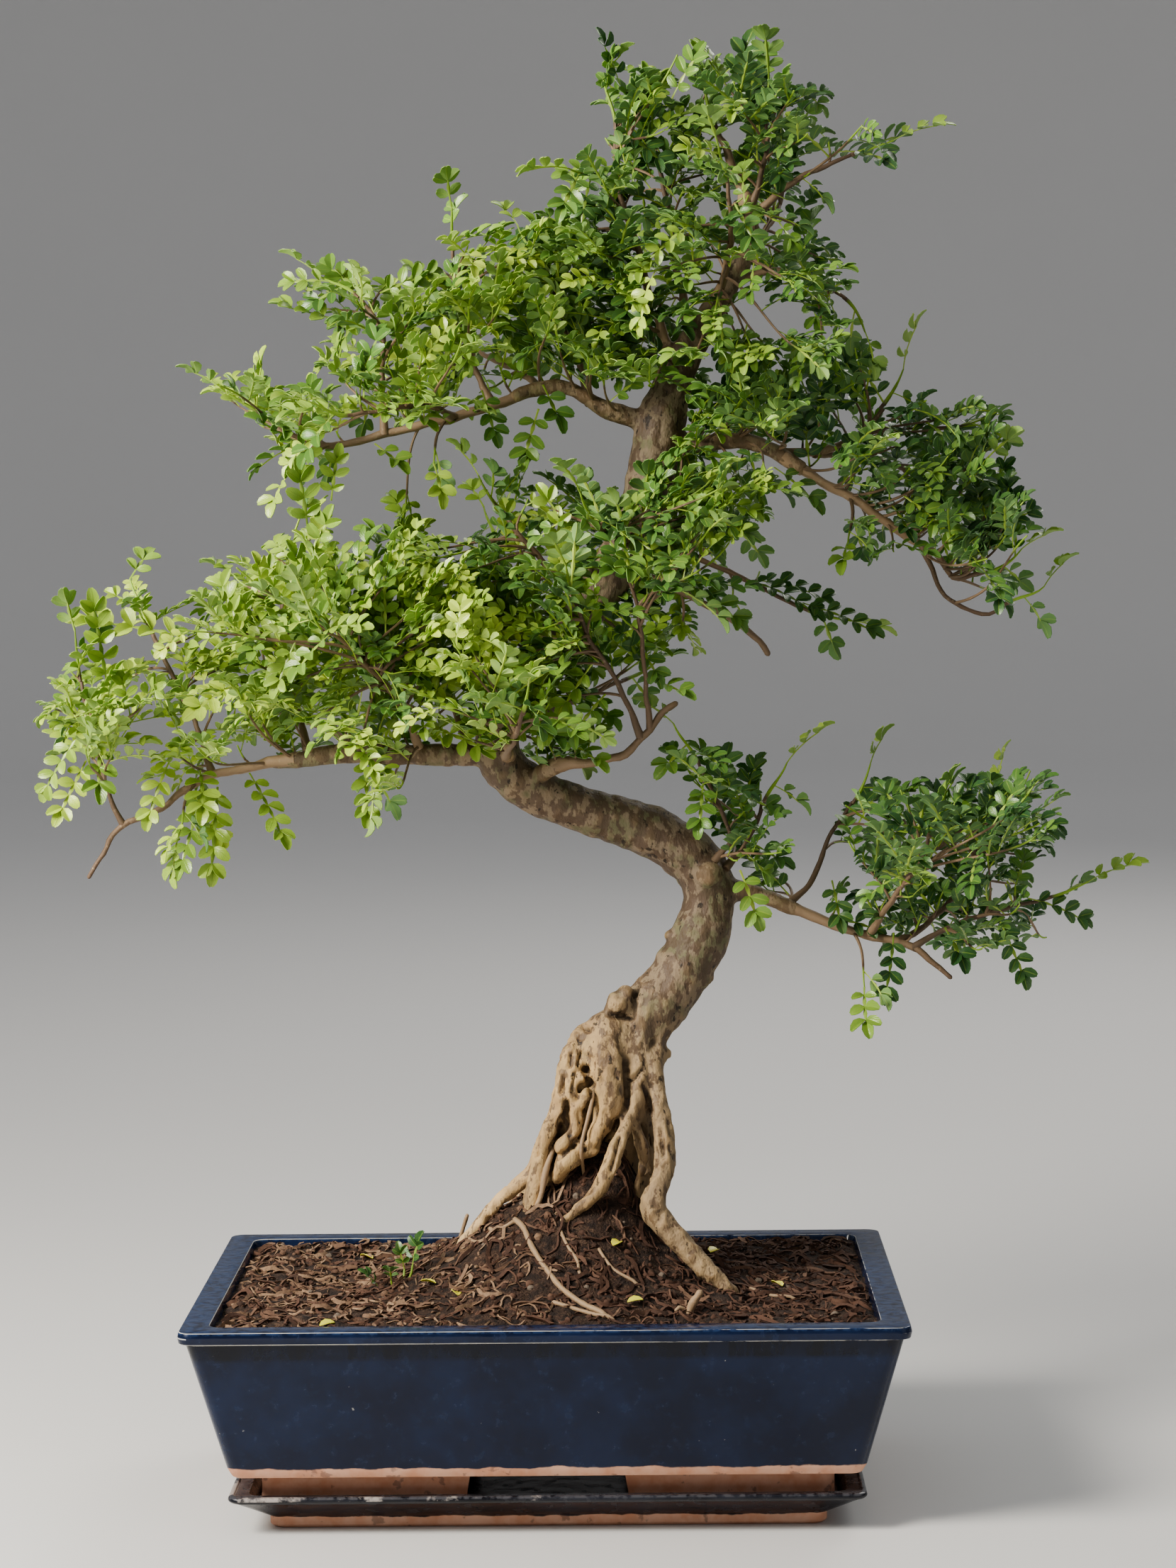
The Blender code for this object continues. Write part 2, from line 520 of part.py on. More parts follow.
def build_pot():
    """Tapered glazed pot: band, walls, overhanging lip, flat rim, cavity, foot ring and drains."""
    lip_low = RIM_TOP - LIP_HEIGHT
    rim, band = (RIM_LENGTH, RIM_WIDTH), (BAND_LENGTH, BAND_WIDTH)
    inside_foot = (INSIDE_LENGTH, INSIDE_WIDTH)
    corner = POT_CORNER
    outside = [
        inset_loop(band, BAND_CHAMFER, corner, POT_UNDERSIDE),
        inset_loop(band, 0.0, corner, BAND_TOP),
        inset_loop(rim, LIP_OVERHANG, corner, lip_low),
        inset_loop(rim, LIP_CHAMFER, corner, lip_low + LIP_CHAMFER),
        inset_loop(rim, 0.0, corner, RIM_TOP - RIM_SHOULDER),
        inset_loop(rim, RIM_SHOULDER_INSET, corner, RIM_TOP),
    ]
    inside = [
        inset_loop(rim, RIM_BREADTH - RIM_INNER_INSET, corner, RIM_TOP),
        inset_loop(rim, RIM_BREADTH, corner, RIM_TOP - RIM_ROUNDING),
        inset_loop(inside_foot, 0.0, corner, INSIDE_FOOT),
        inset_loop(inside_foot, INSIDE_CHAMFER, corner, POT_FLOOR),
    ]
    pot = loft("pot", outside + inside)
    bottom = TRAY_FLOOR + GAP
    foot_top = POT_UNDERSIDE + JOIN_REACH
    ring = loft("foot ring", [
        inset_loop(band, FOOT_INSET + FOOT_CHAMFER, corner, bottom),
        inset_loop(band, FOOT_INSET, corner, bottom + FOOT_CHAMFER),
        inset_loop(band, FOOT_INSET, corner, foot_top),
    ])
    hole = loft("foot hollow", [
        inset_loop(band, FOOT_INSET + FOOT_WALL, corner, bottom - CUT_REACH),
        inset_loop(band, FOOT_INSET + FOOT_WALL, corner, foot_top + CUT_REACH),
    ])
    arches = [
        arch_cutter("long arch", LONG_ARCH_FOOT, LONG_ARCH_TOP, BAND_WIDTH, False),
        arch_cutter("short arch", SHORT_ARCH_FOOT, SHORT_ARCH_TOP, BAND_LENGTH, True),
    ]
    combine(ring, [hole] + arches, "DIFFERENCE")
    drains = [
        cylinder("drain", side * DRAIN_PLACE, 0, POT_UNDERSIDE - CUT_REACH, POT_FLOOR + CUT_REACH,
                 DRAIN_RADIUS, DRAIN_SIDES)
        for side in (-1, 1)
    ]
    combine(pot, drains, "DIFFERENCE")
    combine(pot, [ring], "UNION")
    dress(pot, finish("blue glaze"), True)
    return pot


def build_tray():
    """Shallow glazed tray: flat unglazed foot, slanted underside, thin flange and sunk floor."""
    size = (TRAY_LENGTH, TRAY_WIDTH)
    corner = TRAY_CORNER
    chamfer_in, chamfer_up = TRAY_FOOT_CHAMFER
    edge = [inset_loop(size, inset, corner, TRAY_RIM - drop)
            for inset, drop in (TRAY_EDGE_UNDERSIDE, TRAY_EDGE_WIDEST, TRAY_EDGE_TOP)]
    tray = loft("drip_tray", [
        inset_loop(size, TRAY_FOOT_INSET + chamfer_in, corner, 0.0),
        inset_loop(size, TRAY_FOOT_INSET, corner, chamfer_up),
        inset_loop(size, TRAY_FOOT_INSET, corner, TRAY_FOOT_HEIGHT),
        *edge,
        inset_loop(size, TRAY_FLANGE, corner, TRAY_RIM - TRAY_FLANGE_DROP),
        inset_loop(size, TRAY_FLANGE + TRAY_FLOOR_INSET, corner, TRAY_FLOOR),
    ])
    dress(tray, finish("dark tray glaze"), True)
    return tray


def soil_height(x, y):
    """Smooth height of the soil: level fill with a mound under the trunk."""
    across = (x - MOUND_MIDDLE[0]) / (MOUND_RIGHT if x > MOUND_MIDDLE[0] else MOUND_LEFT)
    along = (y - MOUND_MIDDLE[1]) / (MOUND_BACK if y > MOUND_MIDDLE[1] else MOUND_FRONT)
    return SOIL_LEVEL + MOUND_HEIGHT * math.exp(-across * across - along * along)


def soil_surface(x, y):
    """Soil height with its clods."""
    place = Vector((x, y, 0.0)) / SOIL_RELIEF_SIZE
    return soil_height(x, y) + SOIL_RELIEF * noise.noise(place)


def spread_evenly(loop, count):
    """The same closed outline with its points at equal steps."""
    ring = [Vector(point) for point in loop]
    lengths = [(ring[i] - ring[i - 1]).length for i in range(1, len(ring))]
    lengths.append((ring[0] - ring[-1]).length)
    pitch = sum(lengths) / count
    points, side, walked = [], 0, 0.0
    for index in range(count):
        target = index * pitch
        while walked + lengths[side] < target:
            walked += lengths[side]
            side += 1
        start, end = ring[side], ring[(side + 1) % len(ring)]
        points.append(tuple(start.lerp(end, (target - walked) / lengths[side])))
    return points


def soil_top_loops():
    """Loops of the soil's top, from the pot wall in to the mound's middle."""
    edge_z = SOIL_LEVEL - SOIL_EDGE_DROP
    length, width = wall_at(edge_z)
    edge = rounded_loop(length - 2 * GAP, width - 2 * GAP, POT_CORNER, edge_z)
    edge = spread_evenly(edge, SOIL_LOOP_POINTS)
    loops = [edge]
    for ring in range(1, SOIL_LOOPS):
        share = 1 - ring / SOIL_LOOPS
        loop = []
        for x, y, _ in edge:
            px = MOUND_MIDDLE[0] + (x - MOUND_MIDDLE[0]) * share
            py = MOUND_MIDDLE[1] + (y - MOUND_MIDDLE[1]) * share
            loop.append((px, py, soil_surface(px, py)))
        loops.append(loop)
    return loops


def build_soil(buried):
    """Soil that fills the pot, with plain holes where roots and stems stand in it."""
    floor_z = POT_FLOOR + GAP
    inside = (INSIDE_LENGTH, INSIDE_WIDTH)
    low = inset_loop(inside, GAP + INSIDE_CHAMFER, POT_CORNER, floor_z)
    step = inset_loop(inside, GAP, POT_CORNER, INSIDE_FOOT + GAP)
    loops = [spread_evenly(loop, SOIL_LOOP_POINTS) for loop in (low, step)]
    soil = loft("soil", loops + soil_top_loops())
    triangulate(soil)
    combine(soil, buried, "DIFFERENCE", "MANIFOLD")
    keep_largest_body(soil)
    dress(soil, finish("fibrous potting soil"), False)
    return soil


def smooth_path(points, pitch):
    """Catmull-Rom curve through (x, y, z, radius) points, a station about every pitch."""
    knots = [Vector(point) for point in points]
    knots = [2 * knots[0] - knots[1]] + knots + [2 * knots[-1] - knots[-2]]
    fine = []
    for index in range(1, len(knots) - 2):
        before, start, end, after = knots[index - 1:index + 3]
        for step in range(CURVE_STEPS):
            t = step / CURVE_STEPS
            fine.append(0.5 * (2 * start + (end - before) * t
                               + (2 * before - 5 * start + 4 * end - after) * t * t
                               + (3 * start - before - 3 * end + after) * t ** 3))
    fine.append(knots[-2])
    walked = [0.0]
    for before, after in zip(fine, fine[1:]):
        walked.append(walked[-1] + (after - before).to_3d().length)
    count = max(2, round(walked[-1] / pitch))
    path, at = [], 0
    for station in range(count + 1):
        target = walked[-1] * station / count
        while at < len(fine) - 2 and walked[at + 1] < target:
            at += 1
        share = (target - walked[at]) / (walked[at + 1] - walked[at])
        path.append(fine[at].lerp(fine[at + 1], share))
    return path


def tube(name, path, sides, swell=0.0, pointed=True):
    """Closed round limb along stations of (x, y, z, radius), its last end drawn to a point."""
    centres = [station.to_3d() for station in path]
    points, faces = [], []
    ahead = (centres[1] - centres[0]).normalized()
    side = ahead.orthogonal().normalized()
    for index, centre in enumerate(centres):
        before = centres[max(index - 1, 0)]
        after = centres[min(index + 1, len(centres) - 1)]
        turned = (after - before).normalized()
        side = (ahead.rotation_difference(turned) @ side).normalized()
        ahead = turned
        if index == 0:
            centre = centre - ahead * swell
        across = ahead.cross(side)
        radius = path[index][3] + swell
        for step in range(sides):
            angle = 2 * math.pi * step / sides
            points.append(centre + radius * (math.cos(angle) * side + math.sin(angle) * across))
    faces.append(list(reversed(range(sides))))
    for row in range(len(centres) - 1):
        for column in range(sides):
            onward = (column + 1) % sides
            low, high = row * sides, (row + 1) * sides
            faces.append((low + column, low + onward, high + onward, high + column))
    last = (len(centres) - 1) * sides
    if pointed:
        points.append(centres[-1] + ahead * (path[-1][3] * TIP_LENGTH + swell))
        apex = len(points) - 1
        faces += [(last + c, last + (c + 1) % sides, apex) for c in range(sides)]
    else:
        faces.append([last + column for column in range(sides)])
    return mesh_object(name, points, faces)


def limb_tube(name, points, swell=0.0, pointed=True):
    """A root, branch or twig: the thinner it is, the fewer its sides."""
    thick = max(point[3] for point in points)
    sides = next(count for above, count in LIMB_SIDES if thick > above)
    pitch = max(LIMB_PITCH, PITCH_PER_RADIUS * thick)
    return tube(name, smooth_path(points, pitch), sides, swell, pointed)


def laid_root_points():
    """The thin root on the mound, half sunk in the soil."""
    radius = LAID_ROOT_RADIUS
    points = [(*LAID_ROOT_START, radius)]
    for x, y in LAID_ROOT:
        points.append((x, y, soil_height(x, y) + radius - LAID_ROOT_SUNK, radius))
    end, plunge = Vector((*LAID_ROOT[-1], soil_height(*LAID_ROOT[-1]))), Vector(LAID_ROOT_PLUNGE)
    points.append((*(end + plunge), radius))
    return points


def burl(middle, radius):
    """A rounded knob grown over an old cut."""
    shape = bmesh.new()
    place = Matrix.Translation(Vector(middle) * MM)
    bmesh.ops.create_icosphere(shape, subdivisions=BURL_SUBDIVISIONS, radius=radius * MM, matrix=place)
    mesh = bpy.data.meshes.new("burl")
    shape.to_mesh(mesh)
    shape.free()
    item = bpy.data.objects.new("burl", mesh)
    bpy.context.scene.collection.objects.link(item)
    return item


def root_tubes(swell):
    """Every root, grown fatter where it is to cut the soil."""
    limbs = [limb_tube("root " + name, points, swell) for name, points in ROOTS.items()]
    limbs.append(limb_tube("root laid", laid_root_points(), swell))
    return limbs


class Twig:
    """The way from a limb out to the tip of a green shoot."""

    def __init__(self, limb, tip, lift, end_taken):
        self.tip = Vector(tip)
        points = smooth_path(limb, TWIG_SEARCH_PITCH)
        start = min(range(len(points)), key=lambda i: (points[i].to_3d() - self.tip).length)
        self.carries_on = start == len(points) - 1 and not end_taken
        if not self.carries_on:
            back = SWEEP * (points[start].to_3d() - self.tip).length
            start = max(1, start - round(back / TWIG_SEARCH_PITCH))
        before, onward = points[start - 1].to_3d(), points[start].to_3d()
        self.start = onward
        along = (onward - before).normalized()
        reach = self.tip - self.start
        self.length = reach.length
        outward = reach.normalized()
        leaving = along if self.carries_on else (LEAVING_ALONG * along + outward).normalized()
        arriving = (outward + lift * UP).normalized()
        self.leave = self.start + leaving * self.length * LEAVING_REACH
        self.arrive = self.tip - arriving * self.length * ARRIVING_REACH
        green = min(max(self.length * SHOOT_SHARE, SHOOT_SHORTEST), SHOOT_LONGEST)
        woody = max(LEAST_WOODY, 1 - green / self.length)
        self.green_from = 0.0 if self.carries_on else woody

    def at(self, t):
        """Point of the twig's middle line."""
        back = 1 - t
        return (back ** 3 * self.start + 3 * back * back * t * self.leave
                + 3 * back * t * t * self.arrive + t ** 3 * self.tip)

    def heading(self, t):
        """Direction of growth."""
        return (self.at(min(t + HEADING_STEP, 1.0)) - self.at(t - HEADING_STEP)).normalized()

    def woody_path(self):
        """Stations from the limb's middle to where the green shoot starts."""
        steps = max(2, round(self.length * self.green_from / TWIG_PITCH))
        path = []
        for step in range(steps + 1):
            share = step / steps
            path.append(self.at(share * self.green_from).to_4d())
            path[-1][3] = TWIG_RADIUS + (TWIG_END_RADIUS - TWIG_RADIUS) * share
        return path

    def green_at(self, share):
        """Where on the whole way a share of the green shoot lies."""
        start = self.green_from + SHOOT_GAP / self.length
        return start + (1 - start) * share


class Blade:
    """One sheet of triangles given thickness: skins alike on both faces, and a rim."""

    def __init__(self):
        self.places = []
        self.skins = []
        self.faces = []

    def add(self, place, skin):
        """A point with half the thickness that it has to each side."""
        self.places.append(place)
        self.skins.append(skin)
        return len(self.places) - 1

    def band(self, low, high):
        """Two triangles from one (left, right) pair of points on to the next."""
        self.faces += [(low[0], low[1], high[1]), (low[0], high[1], high[0])]

    def body(self):
        """Points and faces of the closed solid."""
        count = len(self.places)
        points = [place + skin for place, skin in zip(self.places, self.skins)]
        points += [place - skin for place, skin in zip(self.places, self.skins)]
        sides = {(face[i], face[(i + 1) % 3]) for face in self.faces for i in range(3)}
        body = list(self.faces)
        body += [tuple(index + count for index in reversed(face)) for face in self.faces]
        for start, end in sorted(sides):
            if (end, start) not in sides:
                body += [(start, start + count, end + count), (start, end + count, end)]
        return points, body


def leaf_length(pairs):
    """Length of a leaf from its joint to the tip of the end leaflet."""
    return PETIOLE + (pairs - 1) * PAIR_PITCH + LEAFLET_BASE + END_LEAFLET_LENGTH


class Leaf:
    """A compound leaf at its place: the rib arches, and the leaflets are folded up a little."""

    def __init__(self, pairs, joint, ahead, face_up):
        self.pairs = pairs
        self.joint = joint
        self.ahead = ahead
        self.face_up = face_up
        self.side = face_up.cross(ahead)
        self.bend = LEAF_ARCH / leaf_length(pairs)

    def place(self, along, across, lobe):
        """A point of the leaf, and the way its skin faces there."""
        turn = self.bend * along
        middle = self.joint + self.ahead * (math.sin(turn) / self.bend)
        middle = middle - self.face_up * ((1 - math.cos(turn)) / self.bend)
        normal = self.face_up * math.cos(turn) + self.ahead * math.sin(turn)
        fold = math.copysign(LEAF_FOLD, across) if lobe and across else 0.0
        beyond = abs(across) - RIB_HALF_WIDTH if lobe else 0.0
        place = middle + self.side * across * math.cos(fold) + normal * beyond * abs(math.sin(fold))
        return place, normal * math.cos(fold) - self.side * math.sin(fold)

    def grow(self, blade, behind, thickness, fullness=1.0):
        """Adds rib and leaflets to a blade, on from a (left, right) pair of its points."""
        def add(along, across, lobe):
            place, normal = self.place(along, across, lobe)
            return blade.add(place, normal * thickness / 2)

        half = RIB_HALF_WIDTH
        for pair in range(self.pairs):
            middle = PETIOLE + pair * PAIR_PITCH
            near = [add(middle - LEAFLET_BASE, side * half, False) for side in (1, -1)]
            far = [add(middle + LEAFLET_BASE, side * half, False) for side in (1, -1)]
            blade.band(behind, near)
            blade.band(near, far)
            for index, side in enumerate((1, -1)):
                corners = []
                for out, wide in LEAFLET_CORNERS:
                    reach = out * LEAFLET_LENGTH * fullness
                    spread = wide * LEAFLET_WIDTH * fullness
                    along = reach * math.cos(LEAFLET_LEAN) + spread * math.sin(LEAFLET_LEAN)
                    across = reach * math.sin(LEAFLET_LEAN) - spread * math.cos(LEAFLET_LEAN)
                    corners.append(add(middle + along, side * (half + across), True))
                lobe = [(near[index], far[index], corners[-1])]
                for low, high in zip(corners, corners[1:]):
                    lobe.append((near[index], high, low))
                blade.faces += lobe if side > 0 else [tuple(reversed(face)) for face in lobe]
            behind = far
        start = PETIOLE + (self.pairs - 1) * PAIR_PITCH + LEAFLET_BASE
        reach = END_LEAFLET_LENGTH * fullness
        spread = END_LEAFLET_WIDTH * fullness / 2
        left = add(start + END_LEAFLET_WIDEST * reach, spread, True)
        tip = add(start + reach, 0.0, True)
        right = add(start + END_LEAFLET_WIDEST * reach, -spread, True)
        blade.faces += [(behind[0], behind[1], right), (behind[0], right, tip),
                        (behind[0], tip, left)]

    def trial(self):
        """The leaf by itself, a little larger than life, to test for crossings."""
        blade = Blade()
        base = []
        for side in (1, -1):
            place, normal = self.place(TRIAL_START, side * RIB_HALF_WIDTH, False)
            base.append(blade.add(place, normal * (BLADE / 2 + GAP)))
        self.grow(blade, base, BLADE + 2 * GAP, TRIAL_FULLNESS)
        return search_tree(*blade.body())


def leaf_pose(twig, t, order, phase, candidate, last):
    """Where a leaf stands on its shoot: joint, heading, face and the side it leaves from."""
    ahead = twig.heading(t)
    around = phase + order * GOLDEN_TURN + candidate * CANDIDATE_TURN
    opening = LAST_OPENING if last else SIDE_OPENING
    opening += OPENING_STEP * (candidate % OPENING_COUNT)
    side = ahead.orthogonal().normalized()
    side = Matrix.Rotation(around, 3, ahead) @ side
    heading = (ahead * math.cos(opening) + side * math.sin(opening)).normalized()
    face_up = UP + FACE_TILT * side
    face_up = (face_up - face_up.dot(heading) * heading).normalized()
    rolled = candidate * ROLL_BY_CANDIDATE + order * ROLL_BY_ORDER
    roll = math.radians(rolled % (2 * ROLL_LIMIT) - ROLL_LIMIT)
    return twig.at(t), heading, Matrix.Rotation(roll, 3, heading) @ face_up, side


def search_tree(points, faces):
    """Search tree of a closed mesh, with its corners, to test for crossings."""
    low = Vector([min(point[axis] for point in points) for axis in range(3)])
    high = Vector([max(point[axis] for point in points) for axis in range(3)])
    return BVHTree.FromPolygons(points, faces), low, high


def object_tree(item):
    """Search tree of a finished object, in millimetres."""
    item.data.calc_loop_triangles()
    points = [vert.co / MM for vert in item.data.vertices]
    return search_tree(points, [tuple(face.vertices) for face in item.data.loop_triangles])


def crosses(trial, others):
    """Whether a trial body crosses one of the others."""
    tree, low, high = trial
    for other, other_low, other_high in others:
        apart = any(low[a] > other_high[a] or high[a] < other_low[a] for a in range(3))
        if not apart and tree.overlap(other):
            return True
    return False


def stem_shell(twig):
    """A green shoot's outer skin, to keep other sprays' leaves off it."""
    blade = Blade()
    behind = None
    for share in (0.0, 0.5, 1.0):
        t = twig.green_at(share)
        ahead = twig.heading(t)
        side = ahead.orthogonal().normalized()
        skin = ahead.cross(side) * (SHOOT_RADIUS + GAP)
        pair = [blade.add(twig.at(t) + side * s * (SHOOT_RADIUS + GAP), skin) for s in (1, -1)]
        if behind:
            blade.band(behind, pair)
        behind = pair
    return search_tree(*blade.body())


def leaf_shares(number):
    """How far along the green shoot its side leaves stand, and the pairs of every leaf."""
    draw = random.Random(number)
    shares = SHARES_OF_TWO if draw.random() < SECOND_LEAF_CHANCE else SHARES_OF_ONE
    pairs = [3 if draw.random() < THREE_PAIR_CHANCE else 2 for _ in range(len(shares) + 1)]
    return shares, pairs


def spray_leaves(twig, number, blockers):
    """The leaves of a shoot, each turned until it clears everything round it."""
    shares, pairs = leaf_shares(number)
    phase = number * GOLDEN_TURN
    kept, trees, facing = [], [], None
    for order, share in enumerate((*shares, 1.0)):
        t = twig.green_at(share)
        last = share == 1.0
        growth = twig.heading(t)
        for candidate in range(LEAF_TURNS):
            joint, ahead, face_up, side = leaf_pose(twig, t, order, phase, candidate, last)
            across = growth.cross(side)
            if last:
                across = (face_up - face_up.dot(growth) * growth).normalized()
            hand = 1
            if not last and facing and across.dot(facing) < 0:
                hand, across = -1, -across
            if (facing and across.dot(facing) < 0) or across.dot(face_up) < LEAST_FACING:
                continue
            leaf = Leaf(pairs[order], joint, ahead, face_up)
            tested = leaf.trial()
            if crosses(tested, blockers) or crosses(tested, trees):
                continue
            kept.append((t, across, hand, leaf))
            trees.append(tested)
            facing = across
            break
    return kept


def build_spray(name, twig, number, blockers, material):
    """One leafy shoot: a flat green stem that its leaves branch from, all one thin body."""
    leaves = spray_leaves(twig, number, blockers)
    blade = Blade()

    def pair_at(t, across, shift=0.0):
        """The stem's left and right points, with its upper skin facing across."""
        growth = twig.heading(t)
        normal = (across - across.dot(growth) * growth).normalized()
        share = (t - twig.green_from) / (1 - twig.green_from)
        radius = SHOOT_RADIUS + (SHOOT_TIP_RADIUS - SHOOT_RADIUS) * share
        left = normal.cross(growth) * radius
        middle = twig.at(t) + growth * shift
        return [blade.add(middle + left * side, normal * radius * STEM_FLATNESS) for side in (1, -1)]

    behind = pair_at(twig.green_at(0.0), leaves[0][1])
    for t, across, hand, leaf in leaves:
        if t == 1.0:
            continue
        near = pair_at(t, across, -LEAFLET_BASE)
        far = pair_at(t, across, LEAFLET_BASE)
        blade.band(behind, near)
        blade.band(near, far)
        base = (near[0], far[0]) if hand > 0 else (far[1], near[1])
        leaf.grow(blade, base, BLADE)
        behind = far
    tip = pair_at(1.0, leaves[-1][1])
    blade.band(behind, tip)
    if leaves[-1][0] == 1.0:
        leaves[-1][3].grow(blade, tip, BLADE)
    spray = mesh_object(name, *blade.body())
    dress(spray, material, False)
    return spray


def build_seedling(material):
    """A young plant in the soil: one leaf on a flat stem."""
    foot, bend, head = [Vector(point) for point in SEEDLING]
    blade = Blade()
    ahead = (head - bend).normalized()
    face_up = (UP - UP.dot(ahead) * ahead).normalized()
    side = face_up.cross(ahead) * SHOOT_RADIUS
    pairs = []
    for place in (foot, bend, head):
        skin = face_up * SHOOT_RADIUS * STEM_FLATNESS
        pairs.append([blade.add(place + side * hand, skin) for hand in (1, -1)])
    blade.band(pairs[0], pairs[1])
    blade.band(pairs[1], pairs[2])
    Leaf(SEEDLING_PAIRS, head, ahead, face_up).grow(blade, pairs[2], BLADE)
    dress(mesh_object("seedling", *blade.body()), material, False)


def build_tree():
    """Trunk, roots, branches and twigs, grown as one piece of wood."""
    grown = root_tubes(0.0)
    grown += [burl(middle, radius) for middle, radius in BURLS]
    twigs = {}
    carried_on = set()
    for zone, rows in SPRAYS.items():
        for number, (limb, tip, lift) in enumerate(rows, 1):
            points = TRUNK if limb == "trunk" else BRANCHES[limb]
            twig = Twig(points, tip, lift, limb in carried_on)
            twigs[f"spray_{zone}_{number:02d}"] = twig
            if twig.carries_on:
                carried_on.add(limb)
            else:
                grown.append(tube("twig", twig.woody_path(), 4, pointed=False))
    for name, points in BRANCHES.items():
        grown.append(limb_tube(name, points, pointed=name not in carried_on))
    trunk = limb_tube("tree", TRUNK, pointed=False)
    combine(trunk, grown, "UNION")
    dress(trunk, finish("pale bark"), True)
    return trunk, twigs


def main():
    """Builds every piece of the bonsai."""
    clear_scene()
    pot = build_pot()
    build_tray()
    wood, twigs = build_tree()
    cutters = [limb_tube("trunk base", TRUNK, HOLE_CLEARANCE)] + root_tubes(HOLE_CLEARANCE)
    for points in (SEEDLING_HOLE, DRY_TWIG, ROOT_END):
        cutters.append(limb_tube("hole", points, HOLE_CLEARANCE))
    soil = build_soil(cutters)
    bark = finish("dry bark")
    dress(limb_tube("dry_twig", DRY_TWIG), bark, True)
    dress(limb_tube("root_end", ROOT_END), bark, True)
    green = finish("pepper leaf")
    build_seedling(green)
    blockers = [object_tree(item) for item in (pot, soil, wood)]
    stems = {name: stem_shell(twig) for name, twig in twigs.items()}
    for number, (name, twig) in enumerate(twigs.items()):
        others = [stem for other, stem in stems.items() if other != name]
        spray = build_spray(name, twig, number, blockers + others, green)
        blockers.append(object_tree(spray))


main()
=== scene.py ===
"""Looks of the Chinese pepper bonsai in its glazed pot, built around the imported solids.

Lengths are millimetres in the object's own frame, +Z up and -Y to the front, and MM turns them
into metres where a mesh is made. Colours are linear red, green and blue.
"""

import logging
import math
import random
from collections.abc import Iterable, Sequence
from dataclasses import dataclass, field
from enum import Enum
from typing import ClassVar, NamedTuple

import bmesh
import bpy
import numpy as np
from mathutils import Matrix, Vector, noise
from mathutils.bvhtree import BVHTree
from mathutils.kdtree import KDTree


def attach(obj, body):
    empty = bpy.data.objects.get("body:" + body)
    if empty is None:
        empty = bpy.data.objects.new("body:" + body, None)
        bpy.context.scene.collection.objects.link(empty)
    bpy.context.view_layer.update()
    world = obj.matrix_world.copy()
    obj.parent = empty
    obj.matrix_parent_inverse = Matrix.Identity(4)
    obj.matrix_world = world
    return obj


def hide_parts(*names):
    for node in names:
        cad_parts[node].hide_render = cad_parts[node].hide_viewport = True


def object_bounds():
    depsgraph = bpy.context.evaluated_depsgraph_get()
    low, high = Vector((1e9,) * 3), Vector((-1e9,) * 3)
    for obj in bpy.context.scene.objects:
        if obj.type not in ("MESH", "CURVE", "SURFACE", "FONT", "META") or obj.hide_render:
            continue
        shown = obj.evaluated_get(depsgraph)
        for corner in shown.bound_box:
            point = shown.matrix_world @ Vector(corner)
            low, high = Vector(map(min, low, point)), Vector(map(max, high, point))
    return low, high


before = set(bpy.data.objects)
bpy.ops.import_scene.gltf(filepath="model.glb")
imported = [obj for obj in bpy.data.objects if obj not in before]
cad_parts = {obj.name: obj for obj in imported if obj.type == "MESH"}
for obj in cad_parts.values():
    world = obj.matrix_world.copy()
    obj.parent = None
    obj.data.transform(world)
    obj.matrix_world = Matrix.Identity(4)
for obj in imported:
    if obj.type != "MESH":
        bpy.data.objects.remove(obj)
cad_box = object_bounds()

MM = 0.001
UP = Vector((0.0, 0.0, 1.0))
TO_LIGHT = Vector((-0.15, -0.35, 0.0))
GOLDEN_TURN = math.radians(137.5)
SHARP_FROM = math.radians(50)
NOISE_SEED = 4
CURVE_STEPS = 12
NARROW_FACE = 0.9
TWIG_DRESS = 1

Piece = bpy.types.Object
Material = bpy.types.Material
Socket = bpy.types.NodeSocket
Colour = tuple[float, float, float]
Point = tuple[float, float, float]
Spot = tuple[float, float]
Station = tuple[float, float, float, float]

log = logging.getLogger("bonsai")

# Pot, tray and soil sizes that more than one piece needs.
RIM_TOP = 90.0
BAND_TOP = 29.0
TRAY_FLOOR = 10.0
TRAY_RIM_TOP = 17.0
TRAY_FOOT_TOP = 4.8
SOIL_LEVEL = 88.0
SOIL_EDGE = (274.9, 185.0)
SOIL_FOOT = (251.4, 161.4)
SOIL_UNDERSIDE = 38.0
CORE_HEIGHT = 25.0
CORE_MIDDLE = (27.0, -6.0)
CORE_REACH = 17.0
MOUND_HEIGHT = 44.0
MOUND_MIDDLE = (8.0, -8.0)
MOUND_REACH_X = (52.0, 48.0)
MOUND_REACH_Y = (48.0, 54.0)

